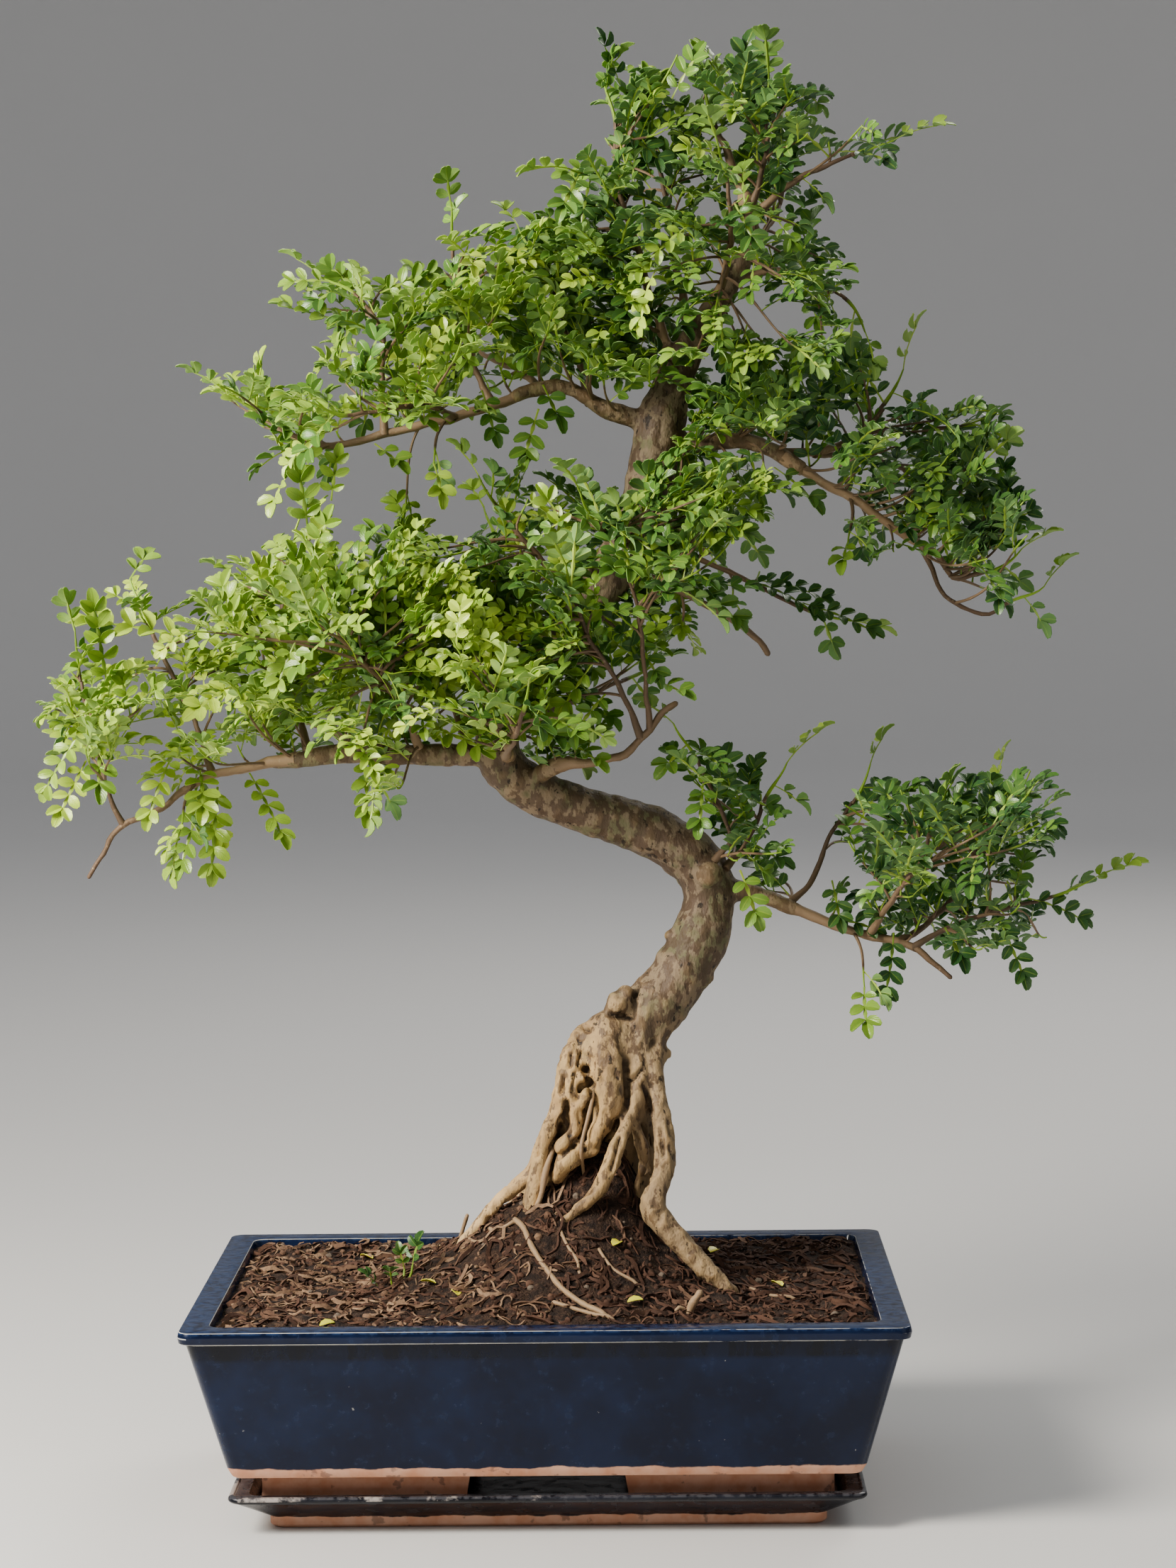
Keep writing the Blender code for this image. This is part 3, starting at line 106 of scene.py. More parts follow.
# Limbs as (x, y, z, radius) along their middle, the same that the solids follow.
TRUNK: list[Station] = [
    (26, 7, 118, 8.0), (29, 6, 134, 9.5), (31.5, 4, 152, 12.0), (33.5, 2, 173, 15.5),
    (35.5, 2, 190, 15.0), (43.5, 2, 204, 13.4), (55, 3, 218, 12.9), (65.5, 4, 235, 12.6),
    (70.5, 6, 252, 11.4), (69, 7, 265, 11.6), (59, 7, 276, 11.6), (42, 5, 285.5, 11.0),
    (16, 2, 294, 9.8), (-5, -1, 303.5, 9.9), (-17.5, -3, 315, 10.2), (-19, -2, 331, 10.0),
    (-9, 0, 350, 9.7), (8, 2, 368, 9.5), (25, 3, 388, 9.6), (40, 4, 414, 10.0),
    (47.5, 4, 437, 10.6), (52, 4, 460, 11.0), (57.5, 3, 476, 8.6), (64, 2, 490, 6.9),
    (76, 0, 509, 5.3), (87, -2, 527, 4.3), (91, -1, 543, 3.6), (86, 1, 563, 2.8),
    (77, 3, 583, 2.0),
]

ROOTS: dict[str, list[Station]] = {
    "core": [(19, 1, 193, 8.8), (15, -3, 180, 10.3), (11.5, -4, 165, 10.2), (8, -5, 152, 9.9),
             (4.5, -5, 140, 9.4), (1, -5, 128, 8.6)],
    "left": [(16, -2, 190, 5.5), (9, -6, 176, 4.6), (3, -9, 160, 4.2), (-2.5, -10, 148, 4.0),
             (-7, -10, 138, 3.5), (-20, -10, 127, 3.1), (-36, -11, 109, 2.7), (-47, -12, 93, 2.2)],
    "gnarled": [(15, -4, 196, 5.0), (11, -9, 189, 4.6), (8.7, -12, 181, 4.4), (7.5, -14, 173, 4.4),
                (4.5, -15, 165, 4.0), (0.7, -17, 157, 3.9), (-2, -18, 149, 3.8),
                (-4, -19, 140, 3.5), (-6.5, -20, 131, 3.1), (-8.5, -22, 120, 2.7),
                (-10, -23, 106, 2.3)],
    "ridge": [(16, -9, 194, 2.9), (13.2, -13.5, 185, 2.7), (11.2, -16, 177.5, 2.3),
              (10.2, -17, 170, 2.2)],
    "shoulder": [(11, -15, 172, 2.6), (12.3, -18, 165, 3.0), (12.3, -19.5, 160, 3.1),
                 (9.8, -21, 155.4, 3.1), (6.3, -22, 151.8, 3.0), (5.2, -22, 150.4, 2.4)],
    "lump": [(15, -19, 151.2, 3.2), (11.8, -21, 147.8, 4.5), (8.6, -21.5, 144.4, 5.0),
             (6, -21, 141, 3.9), (4.5, -20, 137, 2.7)],
    "front": [(28, -3, 203, 8.0), (25.5, -8, 194, 8.2), (26, -11, 187, 8.2),
              (26.8, -13.5, 180, 7.8), (27.3, -15, 173, 7.1), (26.3, -16.5, 166.5, 6.1),
              (23.8, -18, 160.5, 4.9), (20.8, -20, 154.5, 3.9), (18.7, -20.5, 148.5, 2.9)],
    "front_strap": [(37, -12, 173, 3.6), (35.9, -18, 166.4, 3.2), (33.6, -22.5, 160, 2.9),
                    (30.6, -26, 153, 3.4), (28.6, -27.5, 147.3, 3.9), (26.4, -28.5, 141.4, 3.9),
                    (22.6, -30, 134.5, 3.5), (16.8, -31, 129, 2.9), (11, -32, 124.7, 2.3),
                    (5, -34, 119, 1.7)],
    "knee": [(40, -5, 191, 6.0), (39.2, -10, 183, 5.2), (39, -12.5, 176.4, 5.0),
             (37.8, -15, 170.7, 4.2), (36.3, -17, 166.4, 3.2)],
    "side": [(45, -6, 186, 4.6), (43, -10, 178.2, 4.0), (42, -12, 172.3, 3.4),
             (40.8, -12, 166.3, 2.9), (42.5, -9, 157, 3.2), (44, -8, 146, 3.7),
             (44.5, -9, 134, 4.0), (45, -12, 118, 4.2), (47, -14, 104, 3.6)],
    "inner": [(36.7, -15, 167, 2.5), (38.1, -16.5, 159.2, 2.7), (39.9, -17.5, 154, 3.1),
              (41.2, -17.5, 149.4, 2.7), (41, -16, 143, 2.2), (39, -14, 134, 2.2),
              (37, -13, 122, 2.2)],
    "right": [(45, -3, 192, 6.4), (46, -9, 181, 4.6), (47, -12, 173.4, 3.9),
              (48.4, -15, 166.4, 4.0), (49.8, -18, 159.3, 4.2), (50.4, -21, 152.2, 4.2),
              (50.3, -23, 144.9, 4.3), (49, -25, 137.7, 4.4), (46.2, -27, 131.2, 4.9),
              (45.2, -28, 124.5, 5.4),
              (50.5, -30, 117.5, 5.4), (57, -32, 111, 4.9), (63, -34, 104.5, 4.6),
              (70, -36, 97.5, 4.3), (77, -38, 91, 3.8), (84, -40, 84.5, 3.0), (90, -41, 79, 2.2)],
    "back_left": [(24, 8, 188, 7.0), (13, 18, 168, 5.8), (3, 26, 146, 5.0), (-8, 34, 124, 4.4),
                  (-24, 43, 104, 3.6), (-36, 49, 88, 2.8)],
    "back_right": [(43, 8, 186, 7.0), (45, 18, 164, 5.8), (45, 27, 142, 5.0), (45, 36, 119, 4.4),
                   (51, 46, 98, 3.6), (58, 54, 82, 2.8)],
    "back": [(33, 10, 180, 6.0), (31, 22, 158, 4.8), (26, 31, 138, 4.2), (22, 40, 118, 3.6),
             (18, 48, 100, 2.8)],
}

# Strap roots over the front, clefts and pits between the roots as (x, z) points, and knots.
STRAPS: list[list[Station]] = [
    [(20.6, -14, 175, 0.8), (19.2, -20, 169, 0.9), (17.4, -23, 162.5, 0.9), (15.9, -24, 157, 0.9),
     (14.9, -25, 152.6, 0.9), (14.8, -25, 148.8, 0.9), (15.6, -18, 139, 0.8)],
    [(4.4, -14, 153, 1.0), (2.2, -19, 148.5, 1.3), (0.4, -21, 144, 1.4), (-1.2, -22, 138.4, 1.4),
     (-2.6, -23, 131, 1.3), (-5.5, -24.5, 124, 1.1), (-9, -26, 117, 0.9)],
]
CLEFTS: list[list[tuple[float, float]]] = [
    [(34, 186.5), (34.9, 177.5), (34.8, 170), (31.7, 163.7), (26.8, 156.5), (22.2, 151)],
    [(35.3, 178.6), (39.1, 180.9), (41, 183)],
    [(17.2, 183.5), (18.3, 177), (20.5, 171.7), (20.8, 166.7), (18.9, 162.3), (16.6, 156.5),
     (16.5, 150)],
    [(8.7, 170), (8.3, 165.3), (6, 161.6), (5.6, 156.5), (3.3, 152.7), (2.4, 147), (1.5, 139)],
    [(13.9, 154), (9.3, 150.3), (4.8, 147.3)],
    [(42, 177), (44, 169), (45.2, 160), (45.4, 150)],
    [(10.6, 189.8), (10.2, 185.2)], [(15, 190.6), (14.2, 186)], [(6.8, 180), (6.4, 174)],
    [(12.2, 182.5), (11.4, 175)], [(31.2, 156), (29.6, 149.5), (27.8, 143)],
    [(-4.6, 155), (-4.4, 148)], [(48.5, 158), (49.5, 148)], [(15.5, 201.5), (18, 199.8)],
    [(39, 219), (38.4, 213), (37.6, 206.5)], [(28, 206.6), (33, 205), (37, 205)],
]
KNOTS = [((15.6, -15.5, 180), 2.5), ((17, -17.5, 173), 2.6), ((14.8, -18.5, 169), 2.0),
         ((51.4, -4, 188), 2.9), ((25, -3, 199), 8.2), ((34.2, -6, 215), 3.9),
         ((29.6, -6, 208.4), 4.6), ((53.6, 2, 239), 2.6), ((69.6, 0, 221), 3.4),
         ((-4, -5, 302), 6.0)]
ROOT_TOP = 215.0
NEAR_WOOD = 11.0
CLEFT_FRONT = 2.0
CLEFT_HALF_WIDTH = 1.0
CLEFT_DEPTH = 2.6
# Share of directions met by wood from which the bark gets painted shade.
BURIED_FROM = 0.42

# Thin roots over the mound as (x, y) points, their height following the soil, with a radius.
LAID_ROOT = [(-14, -26), (-10, -33), (-6, -44), (0, -55), (7, -66), (16, -76), (24, -83)]
LAID_ROOT_FORK = [(-14, -27), (-19, -27), (-23, -25), (-25, -21)]
LAID_ROOT_TWIN = [(3, -74), (12, -79), (21, -84), (27, -86)]
SURFACE_ROOTS = [[(6, -38), (9, -45), (13, -51), (14, -57)], [(-34, -16), (-31, -24), (-25, -30)],
                 [(22, -44), (28, -52), (37, -56)], [(-20, 38), (-32, 48), (-38, 60)],
                 [(40, 52), (52, 60), (66, 62)], [(86, -30), (94, -38), (104, -40)]]

BURLS = [((31.2, -6, 211), 5.4), ((18, -3, 194.8), 7.2), ((71, -2, 266), 6.5)]

BRANCHES: dict[str, list[Station]] = {
    "left_low": [(-14, -2, 317, 6.0), (-31, -3, 318.5, 5.0), (-58, -5, 319, 4.6),
                 (-85, -6, 320, 4.3), (-104, -6, 317.5, 3.9), (-124, -5, 315, 2.7),
                 (-146, -5, 310, 2.4), (-165, -5, 297, 1.9), (-182.5, -5, 289, 1.8),
                 (-189, -6, 279, 1.6), (-196, -7, 268, 1.3)],
    "left_low_rise": [(-181, -5, 290, 1.7), (-185, -6, 298, 1.6), (-188, -8, 309, 1.5),
                      (-191, -8, 324, 1.4), (-196, -7, 341, 1.3), (-198, -6, 352, 1.1)],
    "left_low_a": [(-52, -5, 319, 2.6), (-60, -20, 341, 2.2), (-74, -42, 361, 1.8),
                   (-86, -54, 376, 1.4)],
    "left_low_b": [(-31, -3, 318, 2.8), (-41, 22, 344, 2.3), (-52, 48, 377, 1.9),
                   (-56, 60, 398, 1.4)],
    "left_low_c": [(-100, -6, 318, 2.4), (-108, 8, 345, 2.0), (-113, 18, 376, 1.7),
                   (-110, 22, 398, 1.3)],
    "left_low_d": [(-80, -6, 319, 2.6), (-92, 35, 326, 2.1), (-116, 68, 333, 1.7),
                   (-134, 84, 338, 1.3)],
    "left_low_e": [(-142, -5, 311, 1.9), (-152, 8, 336, 1.6), (-166, 18, 363, 1.4),
                   (-174, 24, 380, 1.2)],
    "left_high": [(46, 3, 460, 5.0), (28, 2, 466, 3.6), (12, 1, 475, 3.3), (-4, 0, 474, 3.1),
                  (-19.5, -1, 467.5, 2.9), (-44, -3, 461, 2.6), (-70, -4, 455, 2.3),
                  (-89, -4, 451.5, 1.9), (-104, -4, 456, 1.6), (-118, -6, 465, 1.3)],
    "left_high_a": [(-66, -4, 456, 2.0), (-67, -6, 480, 1.7), (-66, -8, 500, 1.5),
                    (-76, -8, 514, 1.2)],
    "left_high_b": [(-20, -1, 468, 2.2), (-30, 4, 492, 1.8), (-34, 6, 516, 1.5),
                    (-36, 4, 534, 1.2)],
    "left_high_c": [(22, 2, 468, 2.4), (14, 16, 495, 1.9), (6, 34, 518, 1.6), (-2, 48, 534, 1.3)],
    "left_high_d": [(2, 0, 475, 2.4), (-12, 36, 485, 2.0), (-28, 66, 494, 1.6),
                    (-40, 82, 508, 1.3)],
    "left_high_e": [(-36, -2, 463, 2.1), (-46, -26, 467, 1.7), (-60, -42, 466, 1.4),
                    (-76, -50, 463, 1.2)],
    "right_high": [(55, 3, 450, 5.5), (75.5, 2, 451, 3.7), (89, 1, 451.5, 3.6),
                   (102, 0, 446, 3.6), (117.5, -2, 435.5, 2.8), (133, -4, 427, 2.7),
                   (152, -5, 413, 2.4), (168, -4, 403, 2.1), (176, -3, 392, 1.7),
                   (190, -2, 394, 1.3)],
    "right_high_a": [(98, 0, 448, 3.0), (113, 6, 446, 2.6), (129, 12, 449, 2.3),
                     (139, 15, 455, 1.9), (147, 16, 465, 1.4)],
    "right_high_c": [(163, -5, 406, 1.8), (168, -8, 393, 1.5), (174, -9, 383, 1.4),
                     (190, -8, 377, 1.3), (199, -6, 381, 1.1)],
    "right_high_d": [(118, 7, 446, 2.2), (144, 34, 444, 1.9), (164, 58, 438, 1.5),
                     (172, 70, 434, 1.2)],
    "right_low": [(68, 6, 258, 6.5), (90, 5, 257, 3.7), (107, 4, 250, 3.1), (124, 2, 243, 2.7),
                  (146, 0, 237, 2.5), (160, -2, 232.5, 2.1), (174, -3, 220, 1.5)],
    "right_low_a": [(104, 4, 251, 2.2), (116, 12, 262, 1.9), (124, 18, 280, 1.5),
                    (134, 20, 294, 1.2)],
    "right_low_b": [(140, 0, 239, 2.1), (148, -22, 256, 1.8), (158, -38, 272, 1.4),
                    (162, -42, 284, 1.2)],
    "right_low_c": [(152, -1, 235.5, 2.0), (168, 10, 244, 1.8), (186, 26, 262, 1.5),
                    (192, 32, 282, 1.2)],
    "right_low_d": [(158, -2, 233, 1.8), (176, -2, 243, 1.6), (200, -2, 250, 1.4),
                    (216, -2, 254, 1.1)],
    "elbow_twig": [(70, 0, 268, 2.6), (80, -8, 280, 1.5), (77, -11, 291, 1.4),
                   (72, -14, 303, 1.3), (66, -18, 316, 1.1)],
    "elbow_twig_b": [(78, 0, 268, 2.0), (88, 8, 280, 1.5), (95, 8, 296, 1.2)],
    "front_horn": [(-8, -4, 306, 4.5), (8, -18, 315, 3.4), (24, -28, 317, 2.6),
                   (36, -31, 320, 2.3), (45, -32, 329, 2.1), (50, -32, 336, 2.0),
                   (57, -32, 341, 1.9)],
    "horn_twig_a": [(42, -32, 327, 1.8), (33, -42, 350, 1.6), (22, -50, 368, 1.4),
                    (16, -58, 384, 1.2)],
    "horn_twig_b": [(46, -32, 331, 1.7), (44, -38, 352, 1.5), (42, -44, 376, 1.3),
                    (38, -46, 394, 1.1)],
    "front_low": [(-15, -6, 318, 3.6), (-14, -38, 322, 2.5), (-10, -66, 330, 1.9),
                  (-6, -84, 340, 1.4)],
    "back_left": [(-2, 2, 358, 4.5), (-8, 34, 374, 2.7), (-18, 64, 394, 2.0), (-22, 78, 410, 1.4)],
    "back_right": [(38, 6, 412, 4.5), (56, 34, 414, 2.6), (72, 62, 412, 2.0), (80, 78, 414, 1.4)],
    "back_low": [(-18, 2, 326, 3.6), (-4, 34, 333, 2.4), (18, 62, 340, 1.8), (34, 80, 346, 1.4)],
    "stub": [(28, 0, 396, 3.6), (38, -6, 397, 2.4), (57, -9, 389, 2.1), (76, -10, 379, 2.1),
             (92, -10, 368, 2.0), (97, -10, 361, 1.9)],
    "right_mid": [(40, 4, 414, 3.4), (62, 8, 404, 2.0), (88, 8, 392, 1.6), (112, 5, 380, 1.3)],
    "left_mid": [(20, 2, 382, 3.4), (4, -6, 398, 2.0), (-8, -10, 412, 1.6), (-16, -8, 422, 1.2)],
    "front_mid": [(38, 2, 410, 3.4), (34, -22, 412, 2.0), (28, -42, 414, 1.5),
                  (24, -52, 418, 1.2)],
    "crown_left": [(58, 2, 482, 3.6), (49, 0, 512, 2.3), (41, -2, 540, 1.9), (34, -2, 560, 1.6),
                   (34, -2, 584, 1.2)],
    "crown_middle": [(66, 2, 494, 3.2), (60, 6, 522, 2.2), (57, 12, 548, 1.8),
                     (52, 18, 570, 1.4)],
    "crown_front": [(76, 0, 509, 3.0), (80, -24, 526, 2.1), (82, -44, 542, 1.5),
                    (80, -52, 556, 1.2)],
    "crown_back": [(87, -2, 527, 2.8), (98, 28, 543, 2.0), (106, 52, 556, 1.5),
                   (108, 62, 568, 1.2)],
    "crown_right": [(90, -1, 545, 2.6), (108, -2, 560, 1.9), (124, 0, 568, 1.5),
                    (134, 0, 572, 1.2)],
    "crown_tip": [(90, -1, 547, 2.2), (97, -4, 568, 1.6), (98, -6, 586, 1.2)],
    "crown_right_low": [(82, -1, 519, 2.8), (102, 0, 524, 2.0), (120, -2, 519, 1.5),
                        (130, -4, 512, 1.2)],
}

# The share of a limb from which leafy spurs stand on it, and the share from which it is bare.
LEAFY_STRETCH: dict[str, tuple[float, float]] = {
    "left_low": (0.12, 0.62), "left_low_rise": (0.5, 1.0), "left_high": (0.1, 1.0),
    "right_high": (0.12, 0.82), "right_high_c": (0.75, 1.0), "right_low": (0.3, 0.86),
    "front_horn": (0.1, 0.4), "stub": (0.0, 0.3), "elbow_twig": (0.1, 1.0),
    "horn_twig_a": (0.5, 1.0), "horn_twig_b": (0.55, 1.0), "left_low_e": (0.15, 1.0),
}
USUAL_STRETCH = (0.22, 1.0)


class Seed(Enum):
    """Where each kind of thing starts drawing its small differences."""

    WOOD = 3
    YOUNG_PLANT = 4
    SHOOTS = 5
    LIMBS = 8
    DEAD_WOOD = 9
    LEAVES = 11
    LITTER = 21
    SPRAYS = 1000


class Lift(Enum):
    """How a shoot turns towards its tip."""

    RISES = 0.55
    LEVEL = 0.1
    HANGS = -0.8


# Shoots of the solids: the limb that bears each and its tip. Their order numbers them.
SPRAYS: dict[str, list[tuple[str, Point, Lift]]] = {
    "lower_left": [
        ("left_low_rise", (-199, -12, 374), Lift.RISES),
        ("left_low_rise", (-208, 10, 338), Lift.LEVEL),
        ("left_low", (-152, -36, 291), Lift.HANGS), ("left_low_e", (-181, 32, 395), Lift.RISES),
        ("left_low_c", (-106, 10, 416), Lift.RISES), ("left_low_c", (-136, 38, 396), Lift.RISES),
        ("left_low_a", (-96, -66, 386), Lift.RISES), ("left_low_a", (-60, -60, 356), Lift.LEVEL),
        ("left_low_b", (-60, 74, 413), Lift.RISES), ("left_low_d", (-148, 96, 347), Lift.RISES),
        ("left_low", (-72, -28, 306), Lift.HANGS),
    ],
    "upper_left": [
        ("left_high", (-135, -12, 476), Lift.LEVEL), ("left_high", (-106, -28, 438), Lift.HANGS),
        ("left_high_a", (-92, -6, 523), Lift.LEVEL), ("left_high_a", (-50, 16, 508), Lift.RISES),
        ("left_high_e", (-92, -60, 468), Lift.LEVEL), ("left_high_b", (-36, -4, 552), Lift.RISES),
        ("left_high_b", (-12, -20, 514), Lift.RISES), ("left_high_c", (-10, 60, 549), Lift.RISES),
        ("left_high_d", (-52, 92, 521), Lift.RISES), ("left_high", (-44, -26, 443), Lift.HANGS),
    ],
    "apex": [
        ("crown_left", (29, -2, 605), Lift.RISES), ("crown_left", (14, -20, 566), Lift.LEVEL),
        ("crown_middle", (46, 26, 588), Lift.RISES), ("crown_front", (76, -66, 570), Lift.RISES),
        ("crown_back", (111, 74, 585), Lift.RISES), ("crown_right", (152, 0, 578), Lift.LEVEL),
        ("trunk", (72, 5, 602), Lift.RISES), ("crown_tip", (99, -8, 604), Lift.RISES),
        ("crown_right_low", (139, -6, 497), Lift.HANGS),
    ],
    "upper_right": [
        ("right_high_a", (157, 18, 482), Lift.RISES), ("right_high_d", (184, 84, 442), Lift.RISES),
        ("right_high", (188, -30, 442), Lift.RISES), ("right_high", (206, 2, 404), Lift.RISES),
        ("right_high_c", (215, -4, 388), Lift.RISES), ("right_high", (130, -28, 408), Lift.LEVEL),
    ],
    "lower_right": [
        ("right_low_a", (142, 22, 311), Lift.RISES), ("right_low_b", (168, -50, 300), Lift.RISES),
        ("right_low_c", (199, 38, 300), Lift.RISES), ("right_low_d", (234, -2, 261), Lift.LEVEL),
        ("right_low", (136, -24, 219), Lift.HANGS),
    ],
    "middle": [
        ("front_low", (-3, -102, 352), Lift.LEVEL), ("horn_twig_a", (12, -70, 400), Lift.RISES),
        ("horn_twig_b", (36, -56, 413), Lift.RISES), ("left_mid", (-26, -8, 438), Lift.RISES),
        ("front_mid", (18, -66, 430), Lift.RISES), ("right_mid", (133, 4, 374), Lift.LEVEL),
        ("back_left", (-28, 94, 425), Lift.RISES), ("back_right", (92, 92, 422), Lift.RISES),
        ("back_low", (50, 94, 355), Lift.RISES),
    ],
    "elbow": [
        ("elbow_twig", (56, -24, 332), Lift.RISES), ("elbow_twig_b", (105, 6, 313), Lift.RISES),
    ],
}

# Outlines of the leaf clouds from the front: x and z, seen on the plane of the trunk.
CROWN: dict[str, list[Spot]] = {
    "lower_left": [
        (-177, 398), (-170, 388), (-152, 385), (-131, 401), (-111, 421), (-84, 411), (-67, 421),
        (-47, 424), (-30, 407), (-17, 407), (3, 400), (37, 372), (22, 305), (-1, 305), (-31, 319),
        (-58, 320), (-66, 294), (-82, 294), (-84, 315), (-123, 320), (-136, 310), (-133, 286),
        (-108, 290), (-106, 281), (-130, 286), (-134, 270), (-140, 270), (-150, 300), (-151, 273),
        (-166, 273), (-170, 307), (-187, 321), (-207, 318), (-209, 299), (-221, 298), (-219, 328),
        (-214, 342), (-220, 347), (-202, 352), (-200, 365), (-193, 368), (-190, 358), (-169, 358),
        (-159, 375), (-203, 378), (-202, 385), (-189, 385), (-192, 392)
    ],
    "upper_left": [
        (-40, 549), (-30, 553), (-15, 543), (2, 549), (18, 540), (38, 526), (44, 473), (11, 467),
        (-3, 453), (-16, 464), (-38, 459), (-43, 440), (-50, 432), (-55, 441), (-48, 454),
        (-70, 451), (-87, 444), (-84, 407), (-96, 401), (-97, 441), (-114, 441), (-129, 421),
        (-131, 428), (-115, 448), (-122, 462), (-130, 468), (-148, 475), (-143, 482), (-120, 485),
        (-120, 498), (-111, 500), (-96, 491), (-86, 501), (-89, 509), (-112, 516), (-104, 526),
        (-82, 533), (-69, 524), (-42, 526)
    ],
    "apex": [
        (29, 627), (38, 612), (56, 614), (71, 621), (81, 610), (93, 624), (102, 610), (122, 607),
        (126, 588), (156, 583), (156, 566), (141, 563), (141, 546), (120, 541), (132, 523),
        (142, 505), (142, 492), (142, 465), (145, 438), (118, 439), (100, 442), (99, 420),
        (84, 409), (64, 406), (38, 453), (18, 473), (6, 483), (5, 540), (14, 563), (6, 560),
        (10, 574), (19, 591), (26, 599)
    ],
    "upper_right": [
        (121, 452), (135, 462), (160, 468), (168, 471), (192, 466), (207, 458), (208, 431),
        (218, 417), (218, 407), (195, 404), (196, 394), (213, 389), (213, 381), (191, 374),
        (183, 391), (173, 398), (154, 405), (148, 398), (119, 405), (119, 415), (134, 422),
        (104, 425), (104, 439)
    ],
    "lower_right": [
        (114, 288), (134, 297), (132, 304), (141, 308), (151, 304), (168, 307), (169, 290),
        (181, 309), (215, 310), (230, 290), (214, 269), (208, 252), (236, 259), (235, 247),
        (214, 235), (208, 215), (194, 230), (182, 224), (170, 232), (157, 232), (147, 210),
        (135, 219), (137, 236), (122, 243), (123, 253), (137, 267), (127, 284)
    ],
    "middle": [
        (-36, 404), (-22, 412), (-11, 436), (1, 449), (16, 438), (44, 440), (64, 448), (100, 440),
        (101, 412), (76, 406), (81, 396), (104, 387), (124, 387), (148, 375), (144, 370),
        (117, 375), (99, 368), (70, 372), (66, 356), (48, 346), (36, 328), (26, 318), (16, 302),
        (2, 305), (-31, 340), (-44, 390)
    ],
    "elbow": [
        (53, 332), (70, 325), (90, 323), (115, 318), (114, 311), (90, 308), (108, 298),
        (107, 289), (86, 291), (110, 277), (110, 270), (95, 277), (100, 267), (95, 254),
        (91, 243), (84, 247), (88, 257), (76, 284), (59, 281), (51, 284), (63, 305), (50, 318)
    ],
}

# Single leaves that stand out at the edges of the clouds: foot and tip.
LONE_LEAVES: list[tuple[Point, Point]] = [
    ((-92, -40, 374), (-84, -46, 398)), ((-94, -40, 388), (-103, -48, 412)),
    ((-95, -42, 402), (-86, -50, 426)), ((-96, -44, 416), (-98, -50, 446)),
    ((-88, -20, 428), (-84, -26, 452)), ((-72, -6, 500), (-113, -14, 515)),
    ((-104, -10, 436), (-94, -16, 462)), ((-70, -8, 452), (-54, -18, 440)),
    ((-152, -4, 370), (-202, -14, 384)), ((-186, -10, 350), (-190, -20, 392)),
    ((-196, -8, 332), (-219, -20, 304)), ((-190, -8, 326), (-188, -26, 302)),
    ((-196, -8, 318), (-208, -24, 292)), ((-160, -6, 318), (-172, -24, 292)),
    ((-146, -6, 304), (-156, -28, 270)), ((-140, -6, 306), (-140, -30, 268)),
    ((-126, -8, 312), (-106, -30, 284)), ((-132, -8, 350), (-150, -30, 340)),
    ((-76, -8, 318), (-74, -28, 292)), ((-24, -10, 474), (-16, -18, 450)),
    ((2, -10, 476), (12, -20, 456)), ((0, -8, 466), (-8, -16, 440)),
    ((100, -6, 440), (124, -14, 424)), ((60, -10, 392), (92, -22, 378)),
    ((88, 6, 392), (124, -8, 384)), ((112, 2, 382), (148, -8, 372)),
    ((44, -30, 352), (66, -42, 346)), ((10, -34, 326), (30, -48, 318)),
    ((84, -8, 300), (104, -18, 296)), ((84, -8, 282), (108, -18, 272)),
    ((84, -8, 268), (94, -20, 244)), ((124, 4, 262), (128, -10, 242)),
    ((150, -4, 240), (147, -16, 210)), ((172, -4, 242), (182, -14, 224)),
    ((196, -2, 244), (208, -12, 216)), ((208, -2, 254), (238, -10, 248)),
    ((112, -6, 600), (126, -12, 590)), ((84, -8, 602), (92, -14, 624)),
    ((36, -8, 602), (28, -14, 626)), ((58, -6, 596), (70, -14, 620)),
    ((40, -24, 392), (58, -40, 412)), ((52, -26, 404), (38, -44, 424)),
    ((36, -26, 372), (54, -42, 352)), ((58, -22, 424), (72, -38, 442)),
    ((64, -22, 486), (80, -40, 500)), ((74, -20, 508), (60, -40, 522)),
]

# Stretches of bare wood and openings without leaves, seen the same way.
BARE: list[list[Spot]] = [
    [(-16, 476), (11, 477), (39, 471), (66, 473), (66, 450), (39, 452), (38, 460), (4, 463),
     (-13, 470)],
    [(69, 454), (104, 448), (135, 450), (118, 439), (145, 422), (140, 418), (104, 437), (71, 446)],
    [(76, 380), (99, 363), (96, 360), (74, 376)],
    [(23, 319), (36, 320), (50, 337), (57, 337), (48, 322), (36, 314), (24, 313)],
    [(72, 524), (88, 524), (88, 506), (72, 506)], [(90, 507), (119, 507), (117, 492), (90, 492)],
    [(-46, 440), (-18, 440), (-22, 410), (-44, 408)], [(22, 357), (38, 357), (38, 338), (22, 338)],
    [(-113, 490), (-99, 490), (-99, 475), (-113, 475)],
]

# The place from which these outlines are seen.
EYE: Point = (40.0, -1575.0, 417.0)


def seen(place: Vector) -> Spot:
    """Where a place is seen from the front, on the plane of the trunk."""
    nearer = EYE[1] / (EYE[1] - place.y)
    return EYE[0] + (place.x - EYE[0]) * nearer, EYE[2] + (place.z - EYE[2]) * nearer


def within(spot: Spot, outline: Sequence[Spot]) -> bool:
    """Whether a spot lies inside an outline."""
    x, z = spot
    inside = False
    for (x0, z0), (x1, z1) in zip(outline, [*outline[1:], outline[0]]):
        if (z0 > z) != (z1 > z) and x < x0 + (x1 - x0) * (z - z0) / (z1 - z0):
            inside = not inside
    return inside


